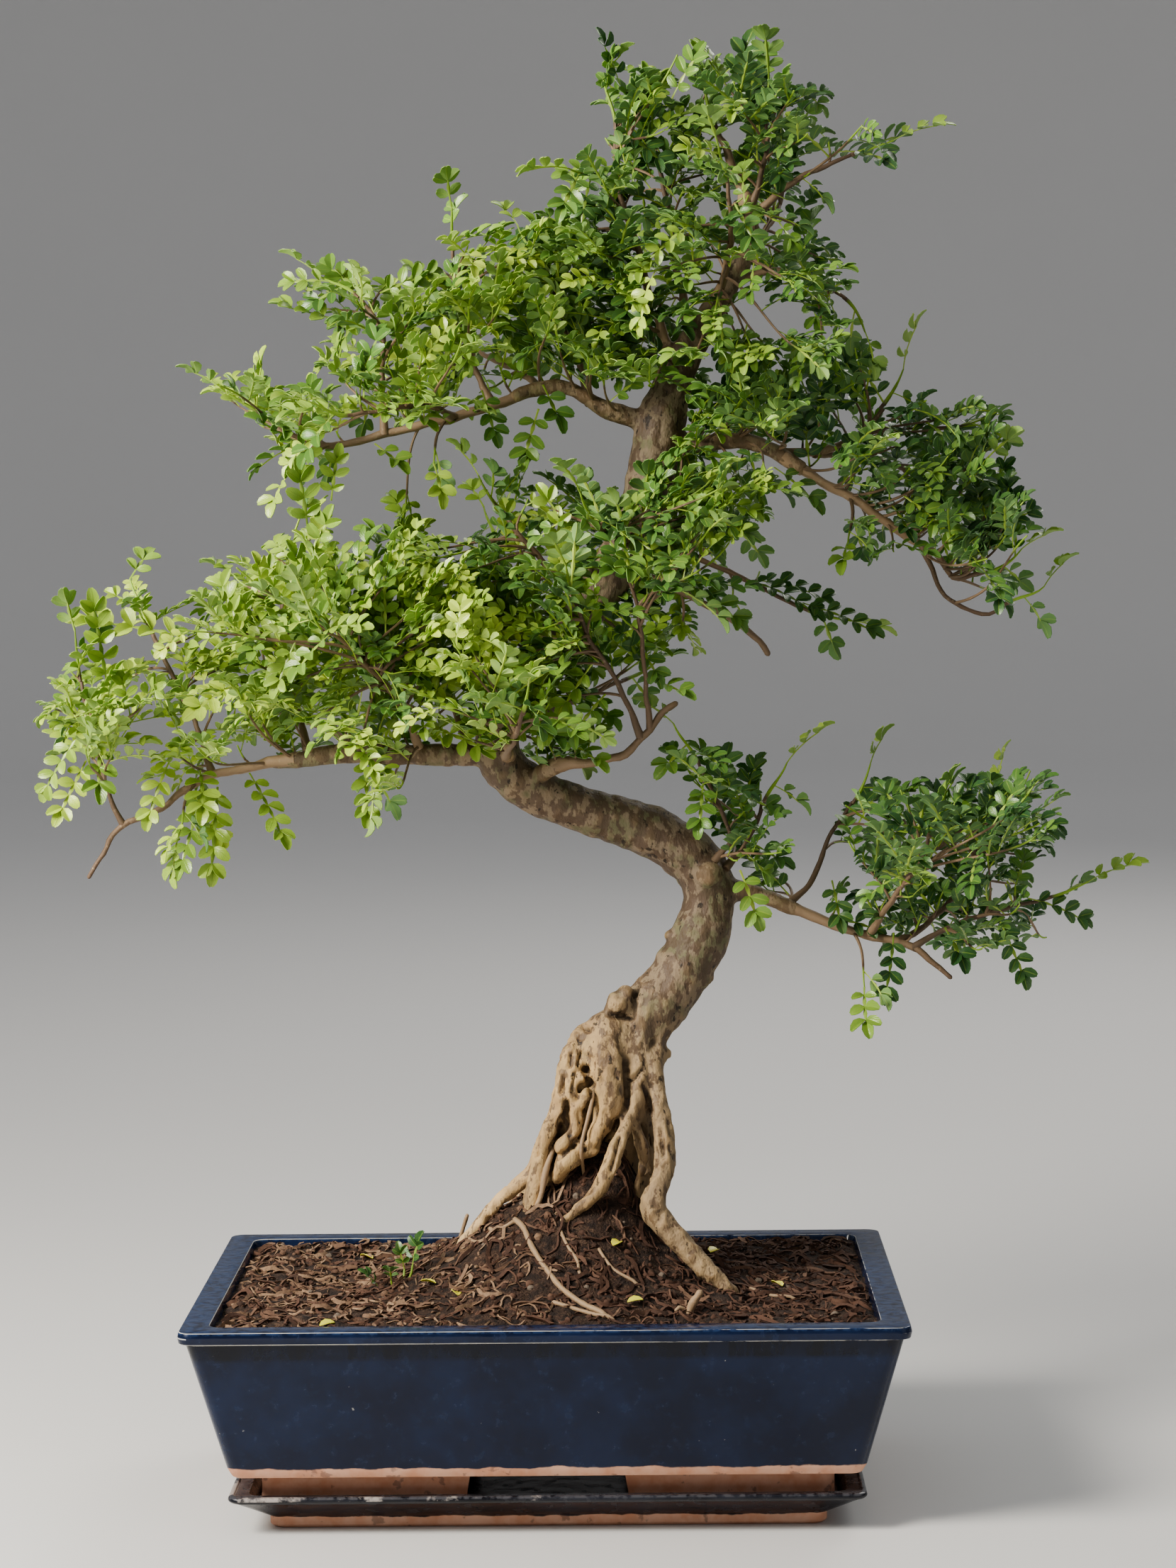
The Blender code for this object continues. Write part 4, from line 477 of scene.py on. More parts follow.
def leafy(spot: Spot) -> bool:
    """Whether leaves are seen at a spot."""
    if any(within(spot, outline) for outline in BARE):
        return False
    return any(within(spot, outline) for outline in CROWN.values())


def limb_stations(name: str) -> list[Station]:
    """Stations of a branch, or of the trunk."""
    return TRUNK if name == "trunk" else BRANCHES[name]


def soil_height(x: float, y: float) -> float:
    """Smooth height of the soil: level fill with a mound under the trunk."""
    right, back = x > MOUND_MIDDLE[0], y > MOUND_MIDDLE[1]
    across = (x - MOUND_MIDDLE[0]) / MOUND_REACH_X[right]
    along = (y - MOUND_MIDDLE[1]) / MOUND_REACH_Y[back]
    return SOIL_LEVEL + MOUND_HEIGHT * math.exp(-across * across - along * along)


def smooth_path(stations: Sequence[Station], pitch: float) -> list[Vector]:
    """Even stations on a smooth curve through rough ones.

    Args:
        stations: (x, y, z, radius) along the middle of a limb.
        pitch: distance between the new stations.

    Returns:
        Four-part vectors of place and radius.
    """
    knots = [Vector(station) for station in stations]
    knots = [2 * knots[0] - knots[1]] + knots + [2 * knots[-1] - knots[-2]]
    fine = []
    for index in range(1, len(knots) - 2):
        before, start, end, after = knots[index - 1:index + 3]
        for step in range(CURVE_STEPS):
            t = step / CURVE_STEPS
            fine.append(0.5 * (2 * start + (end - before) * t
                               + (2 * before - 5 * start + 4 * end - after) * t * t
                               + (3 * start - before - 3 * end + after) * t ** 3))
    fine.append(knots[-2])
    walked = [0.0]
    for before, after in zip(fine, fine[1:]):
        walked.append(walked[-1] + (after - before).to_3d().length)
    count = max(2, round(walked[-1] / pitch))
    path, at = [], 0
    for station in range(count + 1):
        target = walked[-1] * station / count
        while at < len(fine) - 2 and walked[at + 1] < target:
            at += 1
        share = (target - walked[at]) / (walked[at + 1] - walked[at])
        path.append(fine[at].lerp(fine[at + 1], share))
    return path


class Bench:
    """The moves of a modeller's hands, on Blender's own operators."""

    @staticmethod
    def pick(*pieces: Piece) -> None:
        """Selects these pieces alone, the last one active."""
        bpy.ops.object.select_all(action="DESELECT")
        for piece in pieces:
            piece.select_set(True)
        bpy.context.view_layer.objects.active = pieces[-1]

    @staticmethod
    def named(name: str) -> Piece:
        """The piece just added, given its name and its place in its mesh."""
        piece = bpy.context.object
        piece.name = piece.data.name = name
        bpy.ops.object.transform_apply(location=True, rotation=True, scale=True)
        return piece

    @staticmethod
    def join(pieces: Sequence[Piece]) -> Piece:
        """All the pieces as one, under the last one's name."""
        Bench.pick(*pieces)
        bpy.ops.object.join()
        return bpy.context.object

    @staticmethod
    def finish_with(piece: Piece, kind: str, **settings: object) -> None:
        """Adds a modifier with its settings and applies it."""
        Bench.pick(piece)
        bpy.ops.object.modifier_add(type=kind)
        modifier = piece.modifiers[-1]
        for name, value in settings.items():
            setattr(modifier, name, value)
        bpy.ops.object.modifier_apply(modifier=modifier.name)

    @staticmethod
    def cut(piece: Piece, cutter: Piece, operation: str = "DIFFERENCE") -> None:
        """Boolean of a piece with another, which is used up."""
        Bench.finish_with(piece, "BOOLEAN", object=cutter, operation=operation, solver="EXACT")
        bpy.data.objects.remove(cutter)

    @staticmethod
    def stack(name: str, steps: Sequence[Point], corner: float, rounds: int = 5) -> Piece:
        """A plate extruded up and in through the steps of a rectangular profile.

        Args:
            name: the new piece's name.
            steps: (length, width, height) from the underside on.
            corner: radius of the upright corners.
            rounds: segments of each rounded corner.

        Returns:
            The closed piece.
        """
        bpy.ops.object.select_all(action="DESELECT")
        length, width, height = steps[0]
        bpy.ops.mesh.primitive_plane_add(size=1.0, location=(0, 0, height * MM))
        bpy.context.object.scale = (length * MM, width * MM, 1.0)
        piece = Bench.named(name)
        bpy.ops.object.mode_set(mode="EDIT")
        bpy.ops.mesh.select_mode(type="FACE")
        bpy.ops.mesh.select_all(action="SELECT")
        for before, after in zip(steps, steps[1:]):
            rise = (after[2] - before[2]) * MM
            bpy.ops.mesh.extrude_region_move(TRANSFORM_OT_translate={"value": (0, 0, rise)})
            grown = (after[0] / before[0], after[1] / before[1], 1.0)
            bpy.ops.transform.resize(value=grown, center_override=(0, 0, after[2] * MM))
        bpy.ops.mesh.select_mode(type="EDGE")
        bpy.ops.mesh.select_all(action="DESELECT")
        shape = bmesh.from_edit_mesh(piece.data)
        for edge in shape.edges:
            start, end = (vert.co for vert in edge.verts)
            edge.select_set(start.x * end.x > 0 and start.y * end.y > 0)
        bmesh.update_edit_mesh(piece.data)
        bpy.ops.mesh.bevel(offset=corner * MM, segments=rounds, clamp_overlap=True)
        bpy.ops.mesh.select_all(action="SELECT")
        bpy.ops.mesh.normals_make_consistent(inside=False)
        bpy.ops.object.mode_set(mode="OBJECT")
        return piece

    @staticmethod
    def ease_edges(piece: Piece, width: float) -> None:
        """Rounds every sharp edge over a width, and marks these edges for the wear."""
        Bench.finish_with(piece, "BEVEL", width=width * MM, segments=3, limit_method="ANGLE",
                          angle_limit=math.radians(28), use_clamp_overlap=True)
        mark_edges(piece)

    @staticmethod
    def coat(piece: Piece, material: Material) -> None:
        """Gives the whole piece one material."""
        piece.data.materials.clear()
        piece.data.materials.append(material)

    @staticmethod
    def shade(piece: Piece, angle: float) -> None:
        """Smooth shading, but sharp where faces meet at more than an angle in degrees."""
        Bench.pick(piece)
        bpy.ops.object.shade_smooth_by_angle(angle=math.radians(angle))


class Nodes:
    """A node tree, with short ways to add its nodes and join them."""

    def __init__(self, tree: bpy.types.NodeTree) -> None:
        """Works on a tree that exists already."""
        self.tree = tree

    def feed(self, node: bpy.types.Node, inputs: dict[str | int, object]) -> None:
        """Gives a node's inputs their values, or joins other nodes' sockets to them."""
        for name, value in inputs.items():
            socket = node.inputs[name]
            if isinstance(value, bpy.types.NodeSocket):
                self.tree.links.new(value, socket)
            elif isinstance(value, tuple) and len(value) == 3 and socket.type == "RGBA":
                socket.default_value = (*value, 1.0)
            else:
                socket.default_value = value

    def add(self, kind: str, inputs: dict[str | int, object], output: str | int = 0,
            **settings: object) -> Socket:
        """Adds a node.

        Args:
            kind: the node's type, without the words that all shader nodes share.
            inputs: a value or another node's socket for each input.
            output: which output is wanted.
            **settings: the node's own settings.

        Returns:
            The wanted output socket.
        """
        node = self.tree.nodes.new("ShaderNode" + kind)
        for name, value in settings.items():
            setattr(node, name, value)
        self.feed(node, inputs)
        return node.outputs[output]

    def calculate(self, operation: str, *values: Socket | float) -> Socket:
        """A sum, product or other calculation."""
        return self.add("Math", dict(enumerate(values)), operation=operation)

    def times(self, value: Socket, factor: Socket | float) -> Socket:
        """A product."""
        return self.calculate("MULTIPLY", value, factor)

    def blend(self, share: Socket | float, low: Socket | Colour, high: Socket | Colour) -> Socket:
        """One colour turning into another by a share from 0 to 1."""
        return self.add("Mix", {0: share, 6: low, 7: high}, 2, data_type="RGBA")

    def spread(self, value: Socket, low: float, high: float, start: float = 0.0,
               end: float = 1.0) -> Socket:
        """A value's range from low to high, spread from start to end."""
        return self.add("MapRange", {0: value, 1: low, 2: high, 3: start, 4: end})

    def group(self, tree: bpy.types.NodeTree, inputs: dict[str, object]) -> Socket:
        """Places a shared effect with its own values."""
        node = self.tree.nodes.new("ShaderNodeGroup")
        node.node_tree = tree
        self.feed(node, inputs)
        return node.outputs[0]

    def parts(self, kind: str, value: Socket) -> list[Socket]:
        """The three parts of a colour or of a vector."""
        node = self.tree.nodes.new("ShaderNodeSeparate" + kind)
        self.feed(node, {0: value})
        return list(node.outputs)[:3]

    def attribute(self, name: str, output: int) -> Socket:
        """What each point of a piece says under a name."""
        return self.add("Attribute", {}, output, attribute_name=name)


class Patches(NamedTuple):
    """Cloudy patches: their size, the levels where they start and are full, their strength."""

    size: float
    low: Socket | float
    high: Socket | float
    strength: float = 1.0


class Ramp(NamedTuple):
    """A value's range from low to high, and what it becomes there."""

    low: float
    high: float
    start: float = 0.0
    end: float = 1.0


class Relief(NamedTuple):
    """A rough surface: the size of its swells, its share of finer grain, and its depth."""

    size: float
    grain: float
    depth: float


class Effects:
    """Shader groups that several finishes share. Sizes in them are millimetres."""

    def __init__(self) -> None:
        """Builds each group once."""
        self.mottle = self._mottle()
        self.relief = self._relief()
        self.wear = self._wear()

    def clouds(self, nodes: Nodes, place: Socket, patches: Patches) -> Socket:
        """Where a finish has its patches, and how strong they are there."""
        inputs = {"Place": place, "Size": patches.size, "Low": patches.low, "High": patches.high}
        mask = nodes.group(self.mottle, inputs)
        return mask if patches.strength == 1 else nodes.times(mask, patches.strength)

    def rough(self, nodes: Nodes, place: Socket, relief: Relief) -> Socket:
        """The height of a finish's rough surface."""
        return nodes.group(self.relief,
                           {"Place": place, "Size": relief.size, "Grain": relief.grain})

    @staticmethod
    def _start(name: str, inputs: dict[str, str],
               output: str) -> tuple[Nodes, list[Socket], Socket]:
        """An empty group with its named sockets.

        Args:
            name: the group's name.
            inputs: kind of each named input socket.
            output: name of the one output.

        Returns:
            The node helper, the group's inputs in order, and the socket to feed.
        """
        tree = bpy.data.node_groups.new(name, "ShaderNodeTree")
        for label, kind in inputs.items():
            tree.interface.new_socket(name=label, in_out="INPUT", socket_type="NodeSocket" + kind)
        tree.interface.new_socket(name=output, in_out="OUTPUT", socket_type="NodeSocketFloat")
        entry = tree.nodes.new("NodeGroupInput")
        leaving = tree.nodes.new("NodeGroupOutput")
        return Nodes(tree), list(entry.outputs), leaving.inputs[0]

    def _mottle(self) -> bpy.types.NodeTree:
        """Cloudy patches of a size, cut sharp or soft between two levels."""
        inputs = {"Place": "Vector", "Size": "Float", "Low": "Float", "High": "Float"}
        nodes, (place, size, low, high, _), out = self._start("mottle", inputs, "Mask")
        scale = nodes.calculate("DIVIDE", 1.0 / MM, size)
        cloud = nodes.add("TexNoise", {"Vector": place, "Scale": scale, "Detail": 3.0,
                                       "Roughness": 0.6})
        mask = nodes.add("MapRange", {0: cloud, 1: low, 2: high}, interpolation_type="SMOOTHSTEP")
        nodes.tree.links.new(mask, out)
        return nodes.tree

    def _relief(self) -> bpy.types.NodeTree:
        """Height of a rough surface: broad swells with finer grain on them."""
        inputs = {"Place": "Vector", "Size": "Float", "Grain": "Float"}
        nodes, (place, size, grain, _), out = self._start("relief", inputs, "Height")
        scale = nodes.calculate("DIVIDE", 1.0 / MM, size)
        fine_scale = nodes.times(scale, 5.0)
        broad = nodes.add("TexNoise", {"Vector": place, "Scale": scale, "Detail": 2.0})
        fine = nodes.add("TexNoise", {"Vector": place, "Scale": fine_scale, "Detail": 4.0})
        height = nodes.calculate("MULTIPLY_ADD", fine, grain, broad)
        nodes.tree.links.new(height, out)
        return nodes.tree

    def _wear(self) -> bpy.types.NodeTree:
        """Rubbed patches along the edges that the attribute edge marks."""
        inputs = {"Place": "Vector", "Size": "Float", "Amount": "Float"}
        nodes, (place, size, amount, _), out = self._start("wear", inputs, "Mask")
        edge = nodes.attribute("edge", 2)
        scale = nodes.calculate("DIVIDE", 1.0 / MM, size)
        cloud = nodes.add("TexNoise", {"Vector": place, "Scale": scale, "Detail": 5.0,
                                       "Roughness": 0.7})
        rubbed = nodes.calculate("MULTIPLY_ADD", edge, amount, cloud)
        nodes.tree.links.new(nodes.spread(rubbed, 0.98, 1.08), out)
        return nodes.tree


@dataclass(frozen=True)
class Finish:
    """What every surface has: a name, a shader and its place on the object."""

    name: str

    def begin(self) -> tuple[Material, Nodes, bpy.types.Node, Socket]:
        """A new material, its node helper, its shader and the object coordinates."""
        material = bpy.data.materials.new(self.name)
        material.use_nodes = True
        nodes = Nodes(material.node_tree)
        shader = material.node_tree.nodes["Principled BSDF"]
        return material, nodes, shader, nodes.add("TexCoord", {}, "Object")

    @staticmethod
    def close(nodes: Nodes, shader: bpy.types.Node, inputs: dict[str, object],
              height: Socket | None = None, depth: float = 0.5) -> None:
        """Feeds the shader.

        Args:
            nodes: the material's node helper.
            shader: the Principled shader.
            inputs: a value or a socket for each of its inputs.
            height: relief of the surface from 0 to 1, where it has some.
            depth: how deep that relief is, in millimetres.
        """
        if height is not None:
            bump = {"Height": height, "Distance": depth * MM, "Strength": 1.0}
            inputs = {**inputs, "Normal": nodes.add("Bump", bump)}
        nodes.feed(shader, inputs)


@dataclass(frozen=True)
class GlazedClay(Finish):
    """Poured glaze over red clay, bare below a wavy line and rubbed along its edges, with painted
    light and shade.
    """

    deep: Colour
    glaze: Colour
    light: Colour
    worn_and_glint: Colour
    bare_below: float
    rim_top: float = 0.0
    # Heights of the band under the lip where the painted shade falls.
    lip_shade_band: tuple[float, float] = (0.0, 0.0)
    shadow: Colour = (0.0035, 0.0040, 0.0065)
    clay: Colour = (0.63, 0.330, 0.215)
    clay_light: Colour = (0.72, 0.450, 0.330)
    gloss: float = 0.17
    wear: float = 0.55
    pools: Patches = Patches(34.0, 0.36, 0.66)
    mist: Patches = Patches(6.0, 0.52, 0.74)
    mist_strength: float = 0.26
    duller_mist: float = 0.16
    pinholes: Patches = Patches(5.2, 0.735, 0.76)
    specks: Patches = Patches(3.4, 0.755, 0.78, 0.7)
    # Painted shade under the lip: its streaks, its soft and sharp ends, and how dark it gets.
    lip_streaks: Patches = Patches(7.0, 0.34, 0.60)
    lip_streaks_drawn: float = 0.22
    lip_shade_ends: tuple[float, float] = (2.0, 0.3)
    lip_streak_cover: Ramp = Ramp(0.0, 1.0, 0.95, 0.45)
    lip_shade_strength: float = 0.85
    # Painted reflection of the light on the rim's top, in patches.
    rim_sheen: Patches = Patches(3.6, 0.40, 0.56)
    rim_sheen_edge: tuple[float, float] = (1.2, 0.6)
    rim_sheen_strength: float = 0.85
    # Painted glint along the edges, added to the wear on the left where the light falls.
    glint_side_reach: tuple[float, float] = (-0.150, 0.060)
    glint_added_by_side: tuple[float, float] = (0.34, 0.02)
    wear_size: float = 13.0
    wear_roughness: float = 0.6
    wave_scale: float = 95.0
    wave_height: float = 3.4
    bare_edge: tuple[float, float] = (1.5, 2.0)
    clay_grain: Patches = Patches(9.0, 0.3, 0.7)
    smears: Patches = Patches(7.0, 0.60, 0.66, 0.40)
    clay_roughness: float = 0.86
    coat: float = 0.12
    coat_roughness: float = 0.12
    specular: float = 0.34
    relief: Relief = Relief(11.0, 0.12, 0.35)

    def make(self, effects: Effects) -> Material:
        """The finish as a material."""
        material, nodes, shader, place = self.begin()
        across, _, height = nodes.parts("XYZ", place)
        colour = nodes.blend(effects.clouds(nodes, place, self.pools), self.deep, self.glaze)
        mist = effects.clouds(nodes, place, self.mist)
        colour = nodes.blend(nodes.times(mist, self.mist_strength), colour, self.light)
        colour = nodes.blend(effects.clouds(nodes, place, self.pinholes), colour, self.deep)
        colour = nodes.blend(effects.clouds(nodes, place, self.specks), colour, self.worn_and_glint)
        # Painted shade under the overhanging lip, in streaks.
        colour = nodes.blend(self.painted_lip_shade(effects, nodes, place, height), colour, self.shadow)
        # Painted reflection of the light on the rim's top, in patches.
        below, above = self.rim_sheen_edge
        top = nodes.spread(height, (self.rim_top - below) * MM, (self.rim_top - above) * MM)
        rim_sheen = nodes.times(effects.clouds(nodes, place, self.rim_sheen),
                           nodes.times(top, self.rim_sheen_strength))
        colour = nodes.blend(rim_sheen, colour, self.light)
        # Rubbed edges, with a painted glint added on the left where the light falls.
        left, right = self.glint_added_by_side
        amount = nodes.spread(across, *self.glint_side_reach, self.wear + left, self.wear + right)
        wear = nodes.group(effects.wear,
                           {"Place": place, "Size": self.wear_size, "Amount": amount})
        colour = nodes.blend(wear, colour, self.worn_and_glint)
        bare = self.bare(nodes, place, height)
        clay = effects.clouds(nodes, place, self.clay_grain)
        clay = nodes.blend(clay, self.clay, self.clay_light)
        clay = nodes.blend(effects.clouds(nodes, place, self.smears), clay, self.deep)
        rough = nodes.spread(mist, 0.0, 1.0, self.gloss, self.gloss + self.duller_mist)
        rough = nodes.calculate("MAXIMUM", rough, nodes.times(wear, self.wear_roughness))
        rough = nodes.calculate("MAXIMUM", rough, nodes.times(bare, self.clay_roughness))
        inputs = {"Base Color": nodes.blend(bare, colour, clay), "Roughness": rough,
                  "Coat Weight": nodes.calculate("MULTIPLY_ADD", bare, -self.coat, self.coat),
                  "Coat Roughness": self.coat_roughness, "Specular IOR Level": self.specular}
        self.close(nodes, shader, inputs, effects.rough(nodes, place, self.relief),
                   self.relief.depth)
        return material

    def painted_lip_shade(self, effects: Effects, nodes: Nodes, place: Socket, height: Socket) -> Socket:
        """Painted shade under the overhanging lip, broken into streaks."""
        low, high = self.lip_shade_band
        soft, sharp = self.lip_shade_ends
        thin = nodes.times(nodes.spread(height, low * MM, (low + soft) * MM),
                           nodes.spread(height, high * MM, (high + sharp) * MM, 1.0, 0.0))
        drawn = nodes.add("Mapping", {"Vector": place, "Scale": (1.0, 1.0, self.lip_streaks_drawn)})
        lip_streaks = effects.clouds(nodes, drawn, self.lip_streaks)
        thin = nodes.times(thin, nodes.spread(lip_streaks, *self.lip_streak_cover))
        return nodes.times(thin, self.lip_shade_strength)

    def bare(self, nodes: Nodes, place: Socket, height: Socket) -> Socket:
        """Where the clay is bare, below the glaze's wavy edge."""
        wave = nodes.add("TexNoise", {"Vector": place, "Scale": self.wave_scale, "Detail": 4.0})
        line = nodes.calculate("MULTIPLY_ADD", wave, self.wave_height * MM, height)
        low, high = ((self.bare_below + part) * MM for part in self.bare_edge)
        return nodes.spread(line, low, high, 1.0, 0.0)


@dataclass(frozen=True)
class Bark(Finish):
    """Thin skin of old wood: tan, blotched brown, with lichen up high; painted shade in its
    hollows, on its right side and up the trunk, and painted light on its left.
    """

    pale: Colour = (0.54, 0.370, 0.180)
    lit_pale: Colour = (0.72, 0.520, 0.290)
    tan: Colour = (0.35, 0.228, 0.112)
    shaded: Colour = (0.246, 0.190, 0.130)
    blotch: Colour = (0.092, 0.054, 0.032)
    fleck: Colour = (0.022, 0.015, 0.010)
    lichen: Colour = (0.150, 0.150, 0.075)
    hollow_shade: Colour = (0.030, 0.017, 0.010)
    grain: Patches = Patches(24.0, 0.34, 0.64)
    # Painted light on the left and painted shade on the right, across the object.
    lit_side: Ramp = Ramp(0.006, -0.022, 0.0, 0.55)
    shaded_side: Ramp = Ramp(0.022, 0.040, 0.0, 0.60)
    # Height ramp up the trunk: painted shade above the roots, and where the lichen grows.
    upper: Ramp = Ramp(0.182, 0.230)
    upper_shade: float = 0.88
    growth: Patches = Patches(15.0, 0.50, 0.62)
    growth_upwards: Ramp = Ramp(0.0, 1.0, 0.15, 0.75)
    drawn: float = 0.55
    blotch_size: float = 3.9
    blotch_level: Ramp = Ramp(0.150, 0.235, 0.535, 0.455)
    blotch_edge: float = 0.065
    blotch_strength: float = 0.78
    flecks: Patches = Patches(3.0, 0.62, 0.67, 0.88)
    # Painted shade in the hollows, read from the hollow attribute.
    sunk: Ramp = Ramp(0.32, 1.05, 0.0, 0.78)
    proud: Ramp = Ramp(-0.15, -0.9, 0.0, 0.45)
    roughness: Ramp = Ramp(0.0, 1.0, 0.74, 0.58)
    relief: Relief = Relief(4.6, 0.45, 0.9)

    def make(self, effects: Effects) -> Material:
        """The finish as a material."""
        material, nodes, shader, place = self.begin()
        across, _, height = nodes.parts("XYZ", place)
        colour = nodes.blend(effects.clouds(nodes, place, self.grain), self.pale, self.tan)
        # Painted light on the left side and painted shade on the right.
        colour = nodes.blend(nodes.spread(across, *self.lit_side), colour, self.lit_pale)
        colour = nodes.blend(nodes.spread(across, *self.shaded_side), colour, self.shaded)
        # Painted shade up the trunk above the roots.
        upper = nodes.spread(height, *self.upper)
        colour = nodes.blend(nodes.times(upper, self.upper_shade), colour, self.shaded)
        growth = nodes.times(effects.clouds(nodes, place, self.growth),
                             nodes.spread(upper, *self.growth_upwards))
        colour = nodes.blend(growth, colour, self.lichen)
        drawn = nodes.add("Mapping", {"Vector": place, "Scale": (1.0, 1.0, self.drawn)})
        least = nodes.spread(height, *self.blotch_level)
        most = nodes.calculate("ADD", least, self.blotch_edge)
        blotches = effects.clouds(nodes, drawn, Patches(self.blotch_size, least, most))
        colour = nodes.blend(nodes.times(blotches, self.blotch_strength), colour, self.blotch)
        colour = nodes.blend(effects.clouds(nodes, drawn, self.flecks), colour, self.fleck)
        # Painted shade in the hollows and where other wood hems the bark in; proud parts turn pale.
        hollow = nodes.attribute("hollow", 2)
        colour = nodes.blend(nodes.spread(hollow, *self.sunk), colour, self.hollow_shade)
        colour = nodes.blend(nodes.spread(hollow, *self.proud), colour, self.pale)
        inputs = {"Base Color": colour, "Roughness": nodes.spread(blotches, *self.roughness)}
        self.close(nodes, shader, inputs, effects.rough(nodes, drawn, self.relief),
                   self.relief.depth)
        return material


@dataclass(frozen=True)
class TwigSkin(Finish):
    """Young wood: tan where it is old, red brown where it is thin, green at the shoots."""

    old: Colour = (0.29, 0.200, 0.120)
    brown: Colour = (0.120, 0.076, 0.048)
    green: Colour = (0.24, 0.38, 0.045)
    pore: Colour = (0.36, 0.28, 0.18)
    turns_brown: Ramp = Ramp(0.0, 0.55)
    turns_green: Ramp = Ramp(0.62, 0.92)
    pores: Patches = Patches(2.2, 0.62, 0.68, 0.5)
    brightness: Ramp = Ramp(0.0, 1.0, 0.75, 1.25)
    roughness: float = 0.62
    relief: Relief = Relief(2.6, 0.3, 0.3)

    def make(self, effects: Effects) -> Material:
        """The finish as a material."""
        material, nodes, shader, place = self.begin()
        shade, youth, _ = nodes.parts("Color", nodes.attribute("tint", 0))
        colour = nodes.blend(nodes.spread(youth, *self.turns_brown), self.old, self.brown)
        colour = nodes.blend(nodes.spread(youth, *self.turns_green), colour, self.green)
        colour = nodes.blend(effects.clouds(nodes, place, self.pores), colour, self.pore)
        colour = nodes.add("HueSaturation", {"Color": colour,
                                             "Value": nodes.spread(shade, *self.brightness)})
        self.close(nodes, shader, {"Base Color": colour, "Roughness": self.roughness},
                   effects.rough(nodes, place, self.relief), self.relief.depth)
        return material


@dataclass(frozen=True)
class LeafSkin(Finish):
    """Small glossy leaflets: young ones yellow green, old ones deep green, paler beneath, with
    painted light in the youth tint.
    """

    deep: Colour = (0.038, 0.098, 0.042)
    fresh: Colour = (0.148, 0.272, 0.058)
    young: Colour = (0.41, 0.54, 0.090)
    yellow: Colour = (0.74, 0.68, 0.10)
    beneath: Colour = (0.19, 0.31, 0.15)
    rib: Colour = (0.34, 0.46, 0.09)
    turns_fresh: Ramp = Ramp(0.05, 0.5)
    turns_young: Ramp = Ramp(0.45, 0.92)
    turns_yellow: Ramp = Ramp(1.2, 1.6)
    cloud: Patches = Patches(5.0, 0.3, 0.7, 0.28)
    own_colour_beneath: float = 0.45
    paler_beneath: float = 0.75
    rib_width: Ramp = Ramp(0.05, 0.16, 0.42, 0.0)
    vein_slant: float = -0.5
    vein_count: float = 38.0
    vein_share: Ramp = Ramp(0.6, 1.0, 0.0, 0.12)
    vein_height: float = 0.08
    brightness: Ramp = Ramp(0.0, 1.0, 0.72, 1.28)
    hue: Ramp = Ramp(0.0, 1.0, 0.515, 0.49)
    roughness: Ramp = Ramp(0.0, 1.0, 0.26, 0.60)
    glow: float = 0.12
    glow_depth: float = 0.0012
    glow_colour: Colour = (0.5, 1.0, 0.2)
    specular: float = 0.36
    depth: float = 0.12

    def make(self, effects: Effects) -> Material:
        """The finish as a material."""
        material, nodes, shader, place = self.begin()
        shade, youth, under = nodes.parts("Color", nodes.attribute("tint", 0))
        along, across, ribbed = nodes.parts("XYZ", nodes.attribute("blade", 1))
        # The youth tint carries painted light too: leaves in the light turn fresh and young.
        colour = nodes.blend(nodes.spread(youth, *self.turns_fresh), self.deep, self.fresh)
        colour = nodes.blend(nodes.spread(youth, *self.turns_young), colour, self.young)
        colour = nodes.blend(effects.clouds(nodes, place, self.cloud), colour, self.fresh)
        pale = nodes.blend(self.own_colour_beneath, self.beneath, colour)
        colour = nodes.blend(nodes.times(under, self.paler_beneath), colour, pale)
        aside = nodes.calculate("ABSOLUTE", across)
        middle = nodes.spread(aside, *self.rib_width)
        colour = nodes.blend(middle, colour, self.rib)
        slant = nodes.calculate("MULTIPLY_ADD", aside, self.vein_slant, along)
        veins = nodes.calculate("SINE", nodes.times(slant, self.vein_count))
        colour = nodes.blend(nodes.spread(veins, *self.vein_share), colour, self.rib)
        colour = nodes.blend(ribbed, colour, self.rib)
        colour = nodes.blend(nodes.spread(youth, *self.turns_yellow), colour, self.yellow)
        colour = nodes.add("HueSaturation", {"Color": colour,
                                             "Value": nodes.spread(shade, *self.brightness),
                                             "Hue": nodes.spread(shade, *self.hue)})
        inputs = {"Base Color": colour, "Roughness": nodes.spread(under, *self.roughness),
                  "Subsurface Weight": self.glow, "Subsurface Scale": self.glow_depth,
                  "Subsurface Radius": self.glow_colour, "Specular IOR Level": self.specular}
        height = nodes.calculate("MULTIPLY_ADD", veins, self.vein_height, middle)
        self.close(nodes, shader, inputs, height, self.depth)
        return material


